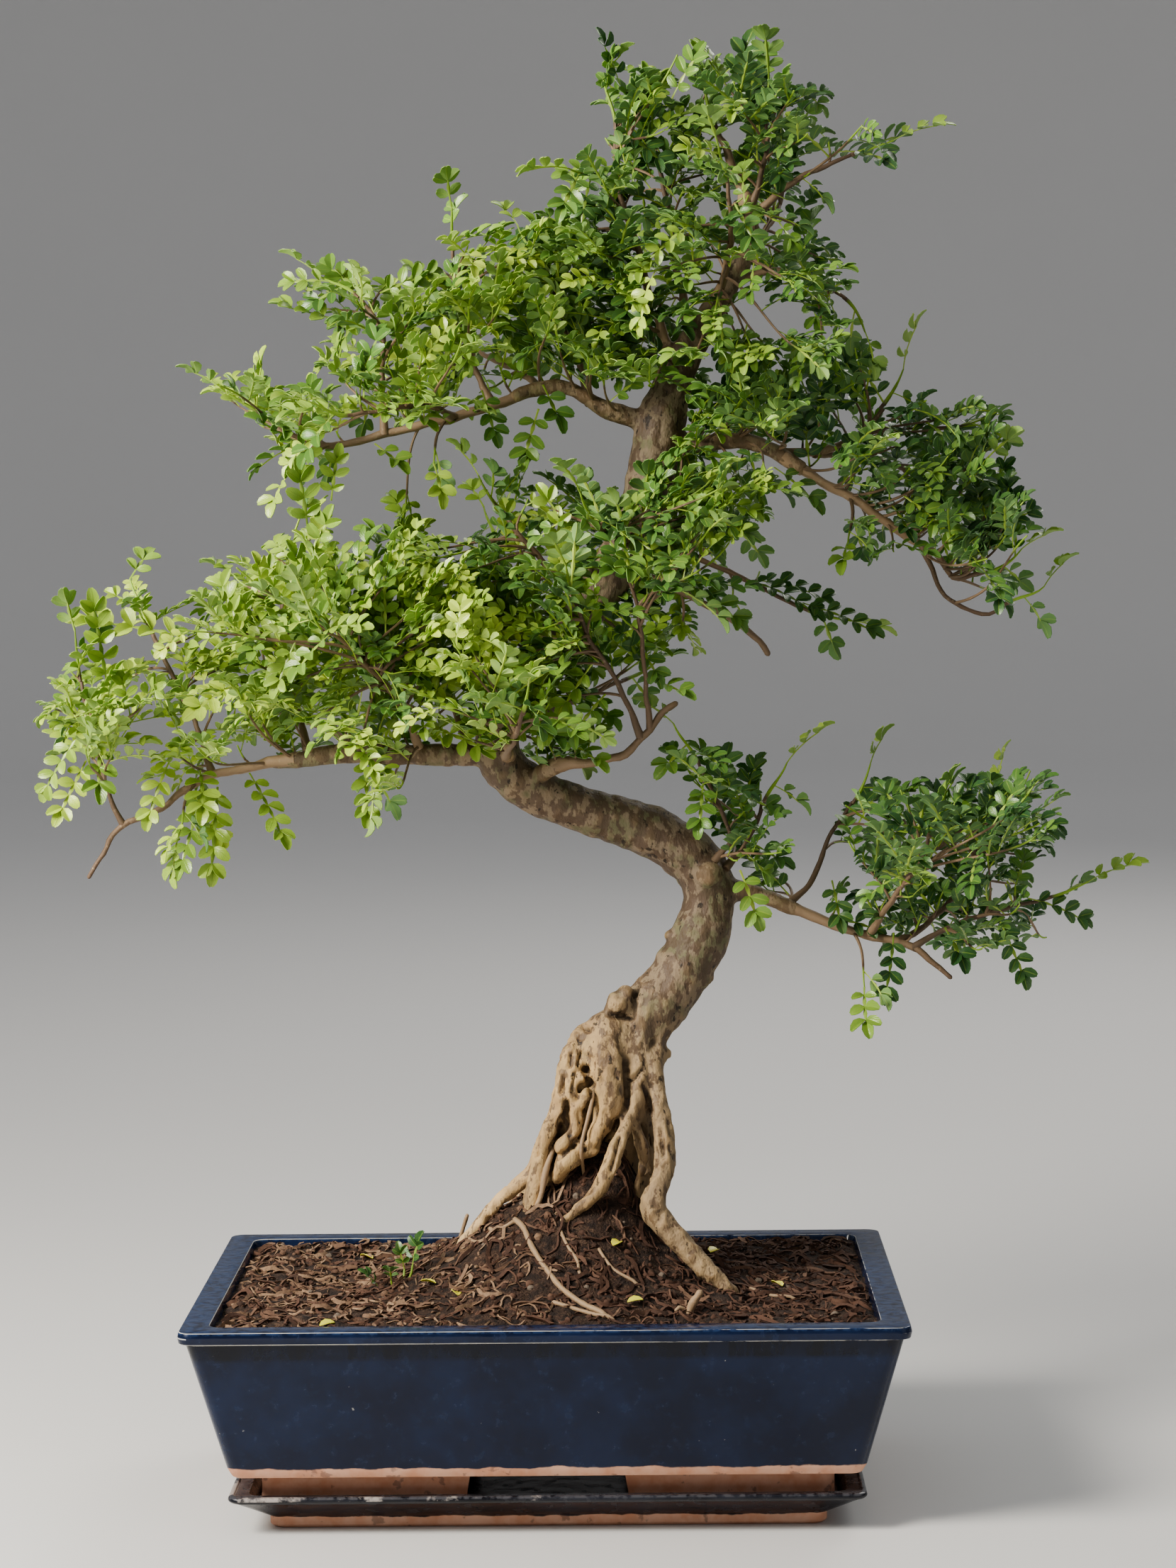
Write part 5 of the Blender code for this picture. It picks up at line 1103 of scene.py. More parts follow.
@dataclass(frozen=True)
class Humus(Finish):
    """Fibrous peat: dark and damp, with red brown and straw coloured strands."""

    dark: Colour = (0.020, 0.012, 0.009)
    brown: Colour = (0.062, 0.033, 0.022)
    straw: Colour = (0.17, 0.105, 0.065)
    damp: Patches = Patches(30.0, 0.35, 0.65, 0.45)
    crumbs: Patches = Patches(4.2, 0.36, 0.62)
    strand_scale: float = 240.0
    strand_tangle: float = 2.6
    strand_width: Ramp = Ramp(0.010, 0.045, 0.85, 0.0)
    roughness: float = 0.92
    relief: Relief = Relief(5.0, 0.6, 2.2)

    def make(self, effects: Effects) -> Material:
        """The finish as a material."""
        material, nodes, shader, place = self.begin()
        crumbs = effects.clouds(nodes, place, self.crumbs)
        colour = nodes.blend(crumbs, self.dark, self.brown)
        strands = nodes.add("TexNoise", {"Vector": place, "Scale": self.strand_scale,
                                         "Detail": 2.0, "Distortion": self.strand_tangle})
        thread = nodes.calculate("ABSOLUTE", nodes.calculate("SUBTRACT", strands, 0.5))
        thread = nodes.spread(thread, *self.strand_width)
        colour = nodes.blend(nodes.times(thread, crumbs), colour, self.straw)
        colour = nodes.blend(effects.clouds(nodes, place, self.damp), colour, self.dark)
        self.close(nodes, shader, {"Base Color": colour, "Roughness": self.roughness},
                   effects.rough(nodes, place, self.relief), self.relief.depth)
        return material


@dataclass(frozen=True)
class Strand(Finish):
    """Loose fibre and bark chips, from dark brown to straw by their tint."""

    dark: Colour = (0.040, 0.019, 0.012)
    red: Colour = (0.130, 0.066, 0.042)
    straw: Colour = (0.36, 0.240, 0.150)
    stone: Colour = (0.19, 0.150, 0.115)
    turns_red: Ramp = Ramp(0.0, 0.55)
    turns_straw: Ramp = Ramp(0.55, 1.0)
    streaks: Patches = Patches(1.5, 0.35, 0.7, 0.4)
    roughness: float = 0.85
    relief: Relief = Relief(1.6, 0.4, 0.3)

    def make(self, effects: Effects) -> Material:
        """The finish as a material."""
        material, nodes, shader, place = self.begin()
        shade, stony, _ = nodes.parts("Color", nodes.attribute("tint", 0))
        colour = nodes.blend(nodes.spread(shade, *self.turns_red), self.dark, self.red)
        colour = nodes.blend(nodes.spread(shade, *self.turns_straw), colour, self.straw)
        colour = nodes.blend(stony, colour, self.stone)
        colour = nodes.blend(effects.clouds(nodes, place, self.streaks), colour, self.dark)
        self.close(nodes, shader, {"Base Color": colour, "Roughness": self.roughness},
                   effects.rough(nodes, place, self.relief), self.relief.depth)
        return material


@dataclass(frozen=True)
class Backdrop(Finish):
    """Plain pale floor."""

    colour: Colour = (0.74, 0.73, 0.71)
    haze: Patches = Patches(600.0, 0.2, 0.8)
    darker: float = 0.985
    roughness: float = 0.9

    def make(self, effects: Effects) -> Material:
        """The finish as a material."""
        material, nodes, shader, place = self.begin()
        darker = tuple(channel * self.darker for channel in self.colour)
        colour = nodes.blend(effects.clouds(nodes, place, self.haze), self.colour, darker)
        self.close(nodes, shader, {"Base Color": colour, "Roughness": self.roughness})
        return material


class Heap:
    """Many small bodies gathered into one piece, with what the finishes read at each point."""

    def __init__(self) -> None:
        """Starts empty."""
        self.points: list[np.ndarray] = []
        self.faces: list[np.ndarray] = []
        self.tints: list[np.ndarray] = []
        self.blades: list[np.ndarray] = []
        self.dresses: list[np.ndarray] = []
        self.count = 0
        self.triangles = 0

    def add(self, points: np.ndarray, faces: Iterable[np.ndarray], tint: np.ndarray,
            blade: np.ndarray | None = None, dress: int = 0) -> None:
        """Adds one closed body.

        Args:
            points: its points, in millimetres.
            faces: arrays of triangles and of four-sided faces.
            tint: shade, youth and underside of every point.
            blade: along, across and rib share of every point of a leaf.
            dress: which of the piece's materials it wears.
        """
        for group in faces:
            if len(group):
                self.faces.append(group + self.count)
                self.dresses.append(np.full(len(group), dress))
                self.triangles += len(group) * (group.shape[1] - 2)
        self.points.append(points)
        self.tints.append(tint)
        self.blades.append(np.zeros((len(points), 3)) if blade is None else blade)
        self.count += len(points)

    def piece(self, name: str, materials: Sequence[Material]) -> Piece:
        """Makes the piece.

        Args:
            name: its name.
            materials: its materials, in the order that the bodies name them.

        Returns:
            The new piece.
        """
        mesh = bpy.data.meshes.new(name)
        points = np.concatenate(self.points) * MM
        corners = np.concatenate([group.ravel() for group in self.faces]).astype(np.int32)
        sizes = np.concatenate([np.full(len(group), group.shape[1]) for group in self.faces])
        starts = np.concatenate([[0], np.cumsum(sizes)[:-1]]).astype(np.int32)
        mesh.vertices.add(len(points))
        mesh.vertices.foreach_set("co", points.astype(np.float32).ravel())
        mesh.loops.add(len(corners))
        mesh.loops.foreach_set("vertex_index", corners)
        mesh.polygons.add(len(sizes))
        mesh.polygons.foreach_set("loop_start", starts)
        mesh.update(calc_edges=True)
        for material in materials:
            mesh.materials.append(material)
        dresses = np.concatenate(self.dresses).astype(np.int32)
        mesh.polygons.foreach_set("material_index", dresses)
        tints = np.concatenate(self.tints)
        tints = np.column_stack([tints, np.ones(len(tints))]).astype(np.float32)
        attribute = mesh.attributes.new("tint", "FLOAT_COLOR", "POINT")
        attribute.data.foreach_set("color", tints.ravel())
        attribute = mesh.attributes.new("blade", "FLOAT_VECTOR", "POINT")
        attribute.data.foreach_set("vector", np.concatenate(self.blades).astype(np.float32).ravel())
        mesh.shade_smooth()
        mesh.set_sharp_from_angle(angle=SHARP_FROM)
        piece = bpy.data.objects.new(name, mesh)
        bpy.context.scene.collection.objects.link(piece)
        return piece


def tube(path: Sequence[Vector], sides: int, knots: random.Random | None = None,
         uneven: float = 0.0) -> tuple[np.ndarray, list[np.ndarray]]:
    """A round limb along stations, closed flat at its start and rounded at its end.

    Args:
        path: four-part vectors of place and radius.
        sides: points of each ring.
        knots: draws the swellings of the joints, where there are some.
        uneven: how much the rings swell, as a share of the radius.

    Returns:
        Its points, and its triangles and four-sided faces.
    """
    centres = [station.to_3d() for station in path]
    radii = [station[3] for station in path]
    if knots:
        radii = [radius * (1 + uneven * knots.uniform(-1, 1)) for radius in radii]
    tip = (centres[-1] - centres[-2]).normalized()
    onward_share, slimmer, point_share = 0.55, 0.72, 0.6
    centres.append(centres[-1] + tip * radii[-1] * onward_share)
    radii.append(radii[-1] * slimmer)
    turns = np.arange(sides) * (2 * math.pi / sides)
    circle = np.column_stack([np.cos(turns), np.sin(turns)])
    ahead = (centres[1] - centres[0]).normalized()
    side = ahead.orthogonal().normalized()
    rings = []
    for index, centre in enumerate(centres):
        before = centres[max(index - 1, 0)]
        after = centres[min(index + 1, len(centres) - 1)]
        turned = (after - before).normalized()
        side = (ahead.rotation_difference(turned) @ side).normalized()
        ahead = turned
        across = ahead.cross(side)
        frame_of_ring = np.array([side, across]) * radii[index]
        rings.append(np.array(centre) + circle @ frame_of_ring)
    last = np.array(centres[-1] + tip * radii[-1] * point_share)
    points = np.concatenate([*rings, [np.array(centres[0]), last]])
    columns = np.arange(sides)
    onward = (columns + 1) % sides
    quads = []
    for row in range(len(rings) - 1):
        low, high = row * sides, (row + 1) * sides
        quads.append(np.column_stack([low + columns, low + onward, high + onward, high + columns]))
    foot, head, top = len(points) - 2, len(points) - 1, (len(rings) - 1) * sides
    fans = np.concatenate([
        np.column_stack([onward, columns, np.full(sides, foot)]),
        np.column_stack([top + columns, top + onward, np.full(sides, head)]),
    ])
    return points, [np.concatenate(quads), fans]


def flat_tint(count: int, shade: float, youth: float) -> np.ndarray:
    """The same tint for every point of a body."""
    return np.tile([shade, youth, 0.0], (count, 1)).astype(float)


def square_to(ahead: Vector, direction: Vector) -> Vector:
    """A direction tipped until it is square to another one."""
    return (direction - direction.dot(ahead) * ahead).normalized()


@dataclass
class Twig:
    """The way from a limb out to the tip of a green shoot."""

    LIMB_PITCH: ClassVar[float] = 4.0
    FOOT_BACK: ClassVar[float] = 0.35
    ALONG_LIMB: ClassVar[float] = 0.45
    LEAVE_SHARE: ClassVar[float] = 0.38
    ARRIVE_SHARE: ClassVar[float] = 0.34
    GREEN_SHARE: ClassVar[float] = 0.42
    GREEN_LENGTH: ClassVar[tuple[float, float]] = (11.0, 24.0)
    LEAST_WOODY: ClassVar[float] = 0.12
    GAP: ClassVar[float] = 0.45
    PITCH: ClassVar[float] = 3.0

    start: Vector
    leave: Vector
    arrive: Vector
    tip: Vector
    green_from: float

    @classmethod
    def grown(cls, limb: Sequence[Station], tip: Point, lift: float, end_taken: bool) -> "Twig":
        """The twig of the solids between a limb and a tip.

        Args:
            limb: the bearing limb's stations.
            tip: end of the shoot.
            lift: how the shoot turns up or down at its end.
            end_taken: whether another shoot carries the limb on already.

        Returns:
            The twig. It carries the limb on, all green, where the tip is ahead of the limb's end.
        """
        end = Vector(tip)
        points = smooth_path(limb, cls.LIMB_PITCH)
        start = min(range(len(points)), key=lambda i: (points[i].to_3d() - end).length)
        carries_on = start == len(points) - 1 and not end_taken
        if not carries_on:
            back = cls.FOOT_BACK * (points[start].to_3d() - end).length
            start = max(1, start - round(back / cls.LIMB_PITCH))
        foot = points[start].to_3d()
        along = (foot - points[start - 1].to_3d()).normalized()
        length = (end - foot).length
        outward = (end - foot).normalized()
        leaving = along if carries_on else (cls.ALONG_LIMB * along + outward).normalized()
        arriving = (outward + lift * UP).normalized()
        shortest, longest = cls.GREEN_LENGTH
        green = min(max(length * cls.GREEN_SHARE, shortest), longest)
        green_from = 0.0 if carries_on else max(cls.LEAST_WOODY, 1 - green / length)
        return cls(foot, foot + leaving * length * cls.LEAVE_SHARE,
                   end - arriving * length * cls.ARRIVE_SHARE, end, green_from)

    @property
    def length(self) -> float:
        """Straight length from foot to tip."""
        return (self.tip - self.start).length

    def at(self, t: float) -> Vector:
        """Point of the twig's middle line."""
        back = 1 - t
        return (back ** 3 * self.start + 3 * back * back * t * self.leave
                + 3 * back * t * t * self.arrive + t ** 3 * self.tip)

    def heading(self, t: float) -> Vector:
        """Direction of growth."""
        return (self.at(min(t + 0.01, 1.0)) - self.at(t - 0.01)).normalized()

    def green_at(self, share: float) -> float:
        """Where on the whole way a share of the solid shoot lies."""
        start = self.green_from + self.GAP / self.length
        return start + (1 - start) * share

    def path(self, thick: float, thin: float) -> list[Vector]:
        """Stations along the whole twig, thick at its foot and thin at its tip."""
        steps = max(3, round(self.length / self.PITCH))
        stations = []
        for step in range(steps + 1):
            t = step / steps
            station = self.at(t).to_4d()
            station[3] = thick + (thin - thick) * t
            stations.append(station)
        return stations


@dataclass(frozen=True)
class Leaf:
    """One compound leaf at its place."""

    pairs: int
    joint: Vector
    ahead: Vector
    face_up: Vector
    size: float
    youth: float
    shade: float
    arch: float = math.radians(34)

    def tip(self, length: float) -> Vector:
        """Where the leaf ends when it is arched over its length."""
        bend = self.arch / length
        return (self.joint + self.ahead * (math.sin(self.arch) / bend)
                - self.face_up * ((1 - math.cos(self.arch)) / bend))


@dataclass(frozen=True)
class Pattern:
    """A flat leaf to copy: points, faces, and what the finish reads at each point."""

    points: np.ndarray
    quads: np.ndarray
    blade: np.ndarray
    under: np.ndarray
    length: float


@dataclass
class LeafCutter:
    """Cuts the leaf patterns: leaflets, each shaped with its own cup, laid along a winged rib."""

    stations: tuple[float, ...] = (0.0, 0.20, 0.52, 0.83, 1.0)
    half_widths: tuple[float, ...] = (0.14, 0.72, 1.0, 0.74, 0.28)
    leaflet: tuple[float, float] = (7.5, 4.7)
    end_leaflet: tuple[float, float] = (8.4, 5.2)
    petiole: float = 5.5
    pitch: float = 6.4
    rib_base: float = 1.1
    rib_halves: tuple[float, ...] = (0.50, 0.42, 0.92, 0.40, 0.26)
    rib_heights: tuple[float, float, float] = (0.10, 0.30, -0.26)
    lean: float = math.radians(64)
    straighter: float = 0.10
    lift: tuple[float, float] = (0.04, 0.44)
    cup: tuple[float, float] = (0.12, 0.5)
    growth: tuple[float, float] = (0.92, 1.08)
    first_pair: float = 0.82
    thickness: float = 0.26
    hump: float = 0.05
    sag: float = 0.06
    notch: float = 0.03
    stalk_share: float = 0.55
    wing_share: float = 0.45
    foot: tuple[float, float, float] = (0.3, 0.3, 0.12)
    lean_varies: float = 0.14
    roll: float = 0.30
    end_foot: float = 0.2
    end_lift: tuple[float, float] = (-0.08, 0.14)
    end_roll: float = 0.2
    variants: int = 4
    variant_step: int = 997
    pair_counts: tuple[int, ...] = (1, 2, 3, 4, 5)
    patterns: dict[int, list[Pattern]] = field(default_factory=dict)

    def shape_leaflet(self, cup: float) -> tuple[np.ndarray, np.ndarray, np.ndarray, np.ndarray]:
        """One leaflet of unit length and width, cupped along its midrib.

        Args:
            cup: how far the sides rise over the midrib.

        Returns:
            Points, faces, (along, across) of each point, and 1 for the lower skin.
        """
        bpy.ops.object.select_all(action="DESELECT")
        rows = len(self.stations) - 1
        bpy.ops.mesh.primitive_grid_add(x_subdivisions=rows, y_subdivisions=2, size=1.0)
        piece = Bench.named("leaflet")
        flat = []
        for vert in piece.data.vertices:
            row = round((vert.co.x + 0.5) * rows)
            across = vert.co.y * 2
            along = self.stations[row]
            width = self.half_widths[row] * across / 2
            rise = cup * abs(width) + self.hump * math.sin(math.pi * along) - self.sag * along ** 2
            if row == rows and across == 0:
                along -= self.notch
            flat.append((along, across))
            vert.co = (along, width, rise)
        count = len(flat)
        thin = self.thickness / self.leaflet[0]
        Bench.finish_with(piece, "SOLIDIFY", thickness=thin, offset=0.0)
        points = np.array([vert.co for vert in piece.data.vertices])
        faces = np.array([tuple(face.vertices) for face in piece.data.polygons])
        blade = np.array(flat + flat)
        lower = points[:count, 2] < points[count:, 2]
        under = np.concatenate([lower, ~lower]).astype(float)
        bpy.data.objects.remove(piece)
        return points, faces, blade, under

    def rib(self, pairs: int) -> tuple[np.ndarray, np.ndarray, float]:
        """The winged rib: narrow at each pair of leaflets, wide between them."""
        foot, stalk, wing, joint, tip = self.rib_halves
        rows = [(0.0, foot), (self.petiole * self.stalk_share, stalk)]
        for pair in range(pairs):
            middle = self.petiole + pair * self.pitch
            if pair:
                rows.append((middle - self.pitch * self.wing_share, wing))
            rows.append((middle, joint))
        end = self.petiole + (pairs - 1) * self.pitch + self.rib_base
        rows.append((end, tip))
        side, ridge, keel = self.rib_heights
        points = []
        for along, half in rows:
            points += [(along, half, side), (along, 0.0, ridge), (along, -half, side),
                       (along, 0.0, keel)]
        quads = [(3, 2, 1, 0)]
        for row in range(len(rows) - 1):
            for corner in range(4):
                onward = (corner + 1) % 4
                low, high = row * 4, row * 4 + 4
                quads.append((low + corner, low + onward, high + onward, high + corner))
        top = (len(rows) - 1) * 4
        quads.append((top, top + 1, top + 2, top + 3))
        return np.array(points), np.array(quads), end

    def lay(self, base: Point, lean: float, lift: float, roll: float, length: float,
            width: float, points: np.ndarray) -> np.ndarray:
        """A leaflet's points laid at its place on the flat leaf.

        Args:
            base: where it joins the rib.
            lean: turn away from the rib, to the left positive.
            lift: rise above the leaf's face.
            roll: turn about its own midrib.
            length: its length.
            width: its width.
            points: the leaflet's unit points.

        Returns:
            The points in the leaf's frame.
        """
        turn = Matrix.Rotation(lean, 3, "Z") @ Matrix.Rotation(-lift, 3, "Y")
        turn = turn @ Matrix.Rotation(roll, 3, "X")
        scaled = points * np.array([length, width, length])
        return scaled @ np.array(turn).T + np.array(base)

    def cut(self, pairs: int, draw: random.Random) -> Pattern:
        """One pattern with a number of leaflet pairs."""
        rib_points, rib_faces, end = self.rib(pairs)
        count = len(rib_points)
        points, faces = [rib_points], [rib_faces]
        blades, unders = [np.tile([0, 0, 1.0], (count, 1))], [np.zeros(count)]
        places = []
        smallest, largest = self.growth
        shift, aside, up = self.foot

        def varied(most: float) -> float:
            """A small turn or shift to either side."""
            return draw.uniform(-most, most)

        for pair in range(pairs):
            middle = self.petiole + pair * self.pitch
            grown = self.first_pair if pair == 0 and pairs > 1 else 1.0
            for side in (1, -1):
                lean = side * (self.lean - self.straighter * pair + varied(self.lean_varies))
                places.append(((middle + varied(shift), side * aside, up), lean,
                               draw.uniform(*self.lift), varied(self.roll),
                               self.leaflet[0] * grown * draw.uniform(smallest, largest),
                               self.leaflet[1] * grown * draw.uniform(smallest, largest)))
        places.append(((end - self.end_foot, 0, 0.0), varied(self.lean_varies),
                       draw.uniform(*self.end_lift), varied(self.end_roll), *self.end_leaflet))
        for base, lean, lift, roll, length, width in places:
            unit, skin, blade, under = self.shape_leaflet(draw.uniform(*self.cup))
            points.append(self.lay(base, lean, lift, roll, length, width, unit))
            faces.append(skin + count)
            blades.append(np.column_stack([blade, np.zeros(len(blade))]))
            unders.append(under)
            count += len(unit)
        return Pattern(np.concatenate(points), np.concatenate(faces), np.concatenate(blades),
                       np.concatenate(unders), end + self.end_leaflet[0])

    def cut_all(self) -> None:
        """Every pattern: a few variants for each number of pairs."""
        draw = random.Random(Seed.LEAVES.value)
        for pairs in self.pair_counts:
            self.patterns[pairs] = [self.cut(pairs, draw) for _ in range(self.variants)]

    def set(self, heap: Heap, leaf: Leaf) -> None:
        """Copies a pattern onto a leaf's place, arched along its rib."""
        choice = int(leaf.shade * self.variant_step) % self.variants
        pattern = self.patterns[leaf.pairs][choice]
        flat = pattern.points * leaf.size
        bend = leaf.arch / (pattern.length * leaf.size)
        turn = (bend * flat[:, 0])[:, None]
        ahead, up = np.array(leaf.ahead), np.array(leaf.face_up)
        side = np.cross(up, ahead)
        middle = np.array(leaf.joint) + ahead * np.sin(turn) / bend - up * (1 - np.cos(turn)) / bend
        normal = up * np.cos(turn) + ahead * np.sin(turn)
        points = middle + side * flat[:, 1:2] + normal * flat[:, 2:3]
        tint = flat_tint(len(points), leaf.shade, leaf.youth)
        tint[:, 2] = pattern.under
        heap.add(points, [pattern.quads], tint, pattern.blade)

    def reach(self, leaf: Leaf) -> Vector:
        """Where the tip of a leaf comes to lie."""
        return leaf.tip(self.patterns[leaf.pairs][0].length * leaf.size)


@dataclass(frozen=True)
class SolidLeaves:
    """How the leaves of the solid sprays stand, so that they can be found again."""

    one_leaf: tuple[float, ...] = (0.4,)
    two_leaves: tuple[float, ...] = (0.24, 0.66)
    often_two: float = 0.16
    often_three_pairs: float = 0.26
    poses_tried: int = 40
    turn: float = 47.0
    opening_beside: float = 52.0
    opening_at_tip: float = 14.0
    opening_step: float = 9.0
    outward: float = 0.35
    roll_steps: tuple[int, int] = (73, 41)
    roll_range: int = 70
    youth_beside: float = 0.45
    youth_at_tip: float = 0.75
    shade_steps: tuple[float, float] = (0.618, 0.37)
    petiole: float = 5.5
    pitch: float = 6.4
    end: float = 10.1
    skin: float = 0.35
    near_enough: float = 0.08

    def found(self, name: str, number: int, twig: Twig) -> list[Leaf]:
        """The leaves that a solid spray has, found again from its points.

        Args:
            name: the spray's node.
            number: its place in the order of all sprays.
            twig: the twig it stands on.

        Returns:
            Those leaves at their own places.
        """
        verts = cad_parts[name].data.vertices
        tree = KDTree(len(verts))
        for vert in verts:
            tree.insert(vert.co / MM, vert.index)
        tree.balance()
        draw = random.Random(number)
        shares = self.two_leaves if draw.random() < self.often_two else self.one_leaf
        pairs = [3 if draw.random() < self.often_three_pairs else 2
                 for _ in range(len(shares) + 1)]
        leaves = []
        for order, share in enumerate((*shares, 1.0)):
            t = twig.green_at(share)
            for candidate in range(self.poses_tried):
                leaf = self.pose(twig, t, order, number, candidate, share == 1.0,
                                 pairs[order])
                if self.tip_matches(tree, leaf):
                    leaves.append(leaf)
                    break
        return leaves

    def tip_matches(self, tree: KDTree, leaf: Leaf) -> bool:
        """Whether the solid has both skins of this leaf's tip, half a blade to each side."""
        length = self.petiole + (leaf.pairs - 1) * self.pitch + self.end
        tip = leaf.tip(length)
        normal = leaf.face_up * math.cos(leaf.arch) + leaf.ahead * math.sin(leaf.arch)
        return all(tree.find(tip + normal * side * self.skin)[2] < self.near_enough
                   for side in (1, -1))

    def pose(self, twig: Twig, t: float, order: int, number: int, candidate: int, last: bool,
             pairs: int) -> Leaf:
        """One of the ways that a solid leaf may stand on its shoot."""
        ahead = twig.heading(t)
        around = (number + order) * GOLDEN_TURN + candidate * math.radians(self.turn)
        opening = math.radians((self.opening_at_tip if last else self.opening_beside)
                               + self.opening_step * (candidate % 4))
        side = Matrix.Rotation(around, 3, ahead) @ ahead.orthogonal().normalized()
        heading = (ahead * math.cos(opening) + side * math.sin(opening)).normalized()
        face_up = square_to(heading, UP + self.outward * side)
        by_candidate, by_order = self.roll_steps
        roll = math.radians((candidate * by_candidate + order * by_order) % self.roll_range
                            - self.roll_range / 2)
        face_up = Matrix.Rotation(roll, 3, heading) @ face_up
        youth = self.youth_at_tip if last else self.youth_beside
        by_number, by_order = self.shade_steps
        shade = (number * by_number + order * by_order) % 1.0
        return Leaf(pairs, twig.at(t), heading, face_up, 1.0, youth, shade)


@dataclass
class Foliage:
    """All leaves and green shoots: those of the solids, and the finer ones between them."""

    cutter: LeafCutter
    skin: Material
    twig_skin: Material
    node_pitch: float = 6.4
    pair_weights: tuple[float, ...] = (0.03, 0.16, 0.35, 0.32, 0.14)
    sizes: tuple[float, float] = (0.84, 1.10)
    smaller_to_tip: float = 0.24
    younger_to_tip: float = 0.45
    opening: float = 66.0
    closing: float = 40.0
    arches: tuple[float, float] = (10.0, 55.0)
    spur_pitch: float = 9.0
    spur_length: tuple[float, float] = (6.0, 17.0)
    spur_leaf: float = 0.95
    spray_radius: float = 0.85
    shoot_radius: float = 0.68
    spur_radius: float = 0.6
    tip_radius: float = 0.36
    tested_shares: tuple[float, float] = (0.4, 0.85)
    leafy_length: float = 40.0
    room_of_tip: float = 200.0
    tries_for_tip: float = 2.4
    tip_spacing: float = 14.0
    fewest_leaves: int = 3
    depth: tuple[float, float] = (-3.0, 36.0)
    deepest: float = 84.0
    taper: float = 0.0034
    taper_from: float = 470.0
    margin: float = 3.0
    heap_limit: int = 150_000
    # Painted light on the leaves' colour: more at the front left, in patches.
    sun: float = 0.38
    sun_left: float = 0.0024
    sun_front: float = 0.0008
    sun_patch: float = 60.0
    sun_change: float = 0.22
    beside_taken: float = 0.4
    pitch_varies: tuple[float, float] = (0.8, 1.2)
    hanging: float = -0.3
    opening_varies: float = 12.0
    outward: float = 0.45
    sway: float = 0.5
    youth_varies: float = 0.18
    stem_sides: int = 6
    stem_swell: float = 0.12
    woody_tint: float = 0.30
    least_tint: float = 0.22
    greening: float = 3.2
    before_green: float = 8.0
    first_leaf: float = 0.25
    first_leaf_further: float = 0.12
    thinner_further: float = 0.8
    limb_pitch: float = 5.0
    shoot_lift: tuple[float, float] = (-0.2, 0.6)
    lone_arches: tuple[float, float] = (8.0, 40.0)
    lone_youth: tuple[float, float] = (-0.15, 0.30)
    spur_green_from: float = 0.35
    spur_lift: tuple[float, float] = (0.1, 1.0)
    spur_pitch_varies: float = 2.0
    solid: SolidLeaves = SolidLeaves()
    leaf_count: int = 0
    heaps: dict[str, list[Heap]] = field(default_factory=dict)
    fine_limbs: dict[str, list[Station]] = field(default_factory=dict)

    def __post_init__(self) -> None:
        """Finds the room that the leaves may fill."""
        low, high = cad_box
        grow = Vector((1, 1, 1)) * self.margin
        self.low, self.high = low / MM - grow, high / MM + grow

    def inside(self, place: Vector) -> bool:
        """Whether a place is within the object's box."""
        return all(self.low[axis] <= place[axis] <= self.high[axis] for axis in range(3))

    def wanted(self, leaf: Leaf) -> bool:
        """Whether a leaf stays in the object's box and within the leaf clouds."""
        tip = self.cutter.reach(leaf)
        return self.inside(tip) and all(leafy(seen(leaf.joint.lerp(tip, share)))
                                        for share in self.tested_shares)

    def light(self, place: Vector) -> float:
        """How much sun a place gets: more at the front left, in patches."""
        # Painted light: this value goes into the youth tint of the leaves.
        sunny = noise.noise(place / self.sun_patch) * self.sun_change
        return self.sun - self.sun_left * place.x - self.sun_front * place.y + sunny

    def clothe(self, twig: Twig, start: float, draw: random.Random, taken: Sequence[float] = (),
               smaller: float = 1.0) -> list[Leaf]:
        """Leaves in a spiral along a twig, small and fresh towards its tip.

        Args:
            twig: the twig to clothe.
            start: the share of its way where the first leaf stands.
            draw: source of the small differences.
            taken: shares where a leaf stands already.
            smaller: size against a full-grown leaf.

        Returns:
            The leaves that stay in the object's box.
        """
        pitch = self.node_pitch / max(twig.length, 6.0)
        around = draw.uniform(0, 2 * math.pi)
        leaves, t = [], start
        while t <= 1.001:
            around += GOLDEN_TURN
            if all(abs(t - other) > self.beside_taken * pitch for other in taken):
                share = (t - start) / max(1 - start, 1e-3)
                leaf = self.side_leaf(twig, min(t, 1.0), around, share, draw, smaller)
                if self.wanted(leaf):
                    leaves.append(leaf)
            t += pitch * draw.uniform(*self.pitch_varies)
        return leaves

    def side_leaf(self, twig: Twig, t: float, around: float, share: float, draw: random.Random,
                  smaller: float) -> Leaf:
        """One leaf on a twig, its face to the light."""
        ahead = twig.heading(t)
        side = Matrix.Rotation(around, 3, ahead) @ ahead.orthogonal().normalized()
        if side.z < self.hanging and draw.random() < 0.5:
            side = -side
        varied = draw.uniform(-self.opening_varies, self.opening_varies)
        opening = math.radians(self.opening - self.closing * share + varied)
        heading = (ahead * math.cos(opening) + side * math.sin(opening)).normalized()
        sway = Vector([draw.uniform(-self.sway, self.sway) for _ in range(3)])
        face_up = square_to(heading, UP + self.outward * side + TO_LIGHT + sway)
        pairs = draw.choices(self.cutter.pair_counts, self.pair_weights)[0]
        size = smaller * (1.0 - self.smaller_to_tip * share) * draw.uniform(*self.sizes)
        place = twig.at(t)
        # The youth tint carries the painted light of the leaf's place.
        youth = self.light(place) + self.younger_to_tip * share
        youth += draw.uniform(-self.youth_varies, self.youth_varies)
        arch = math.radians(draw.uniform(*self.arches))
        return Leaf(pairs, place, heading, face_up, size, min(max(youth, 0.0), 1.0),
                    draw.random(), arch)

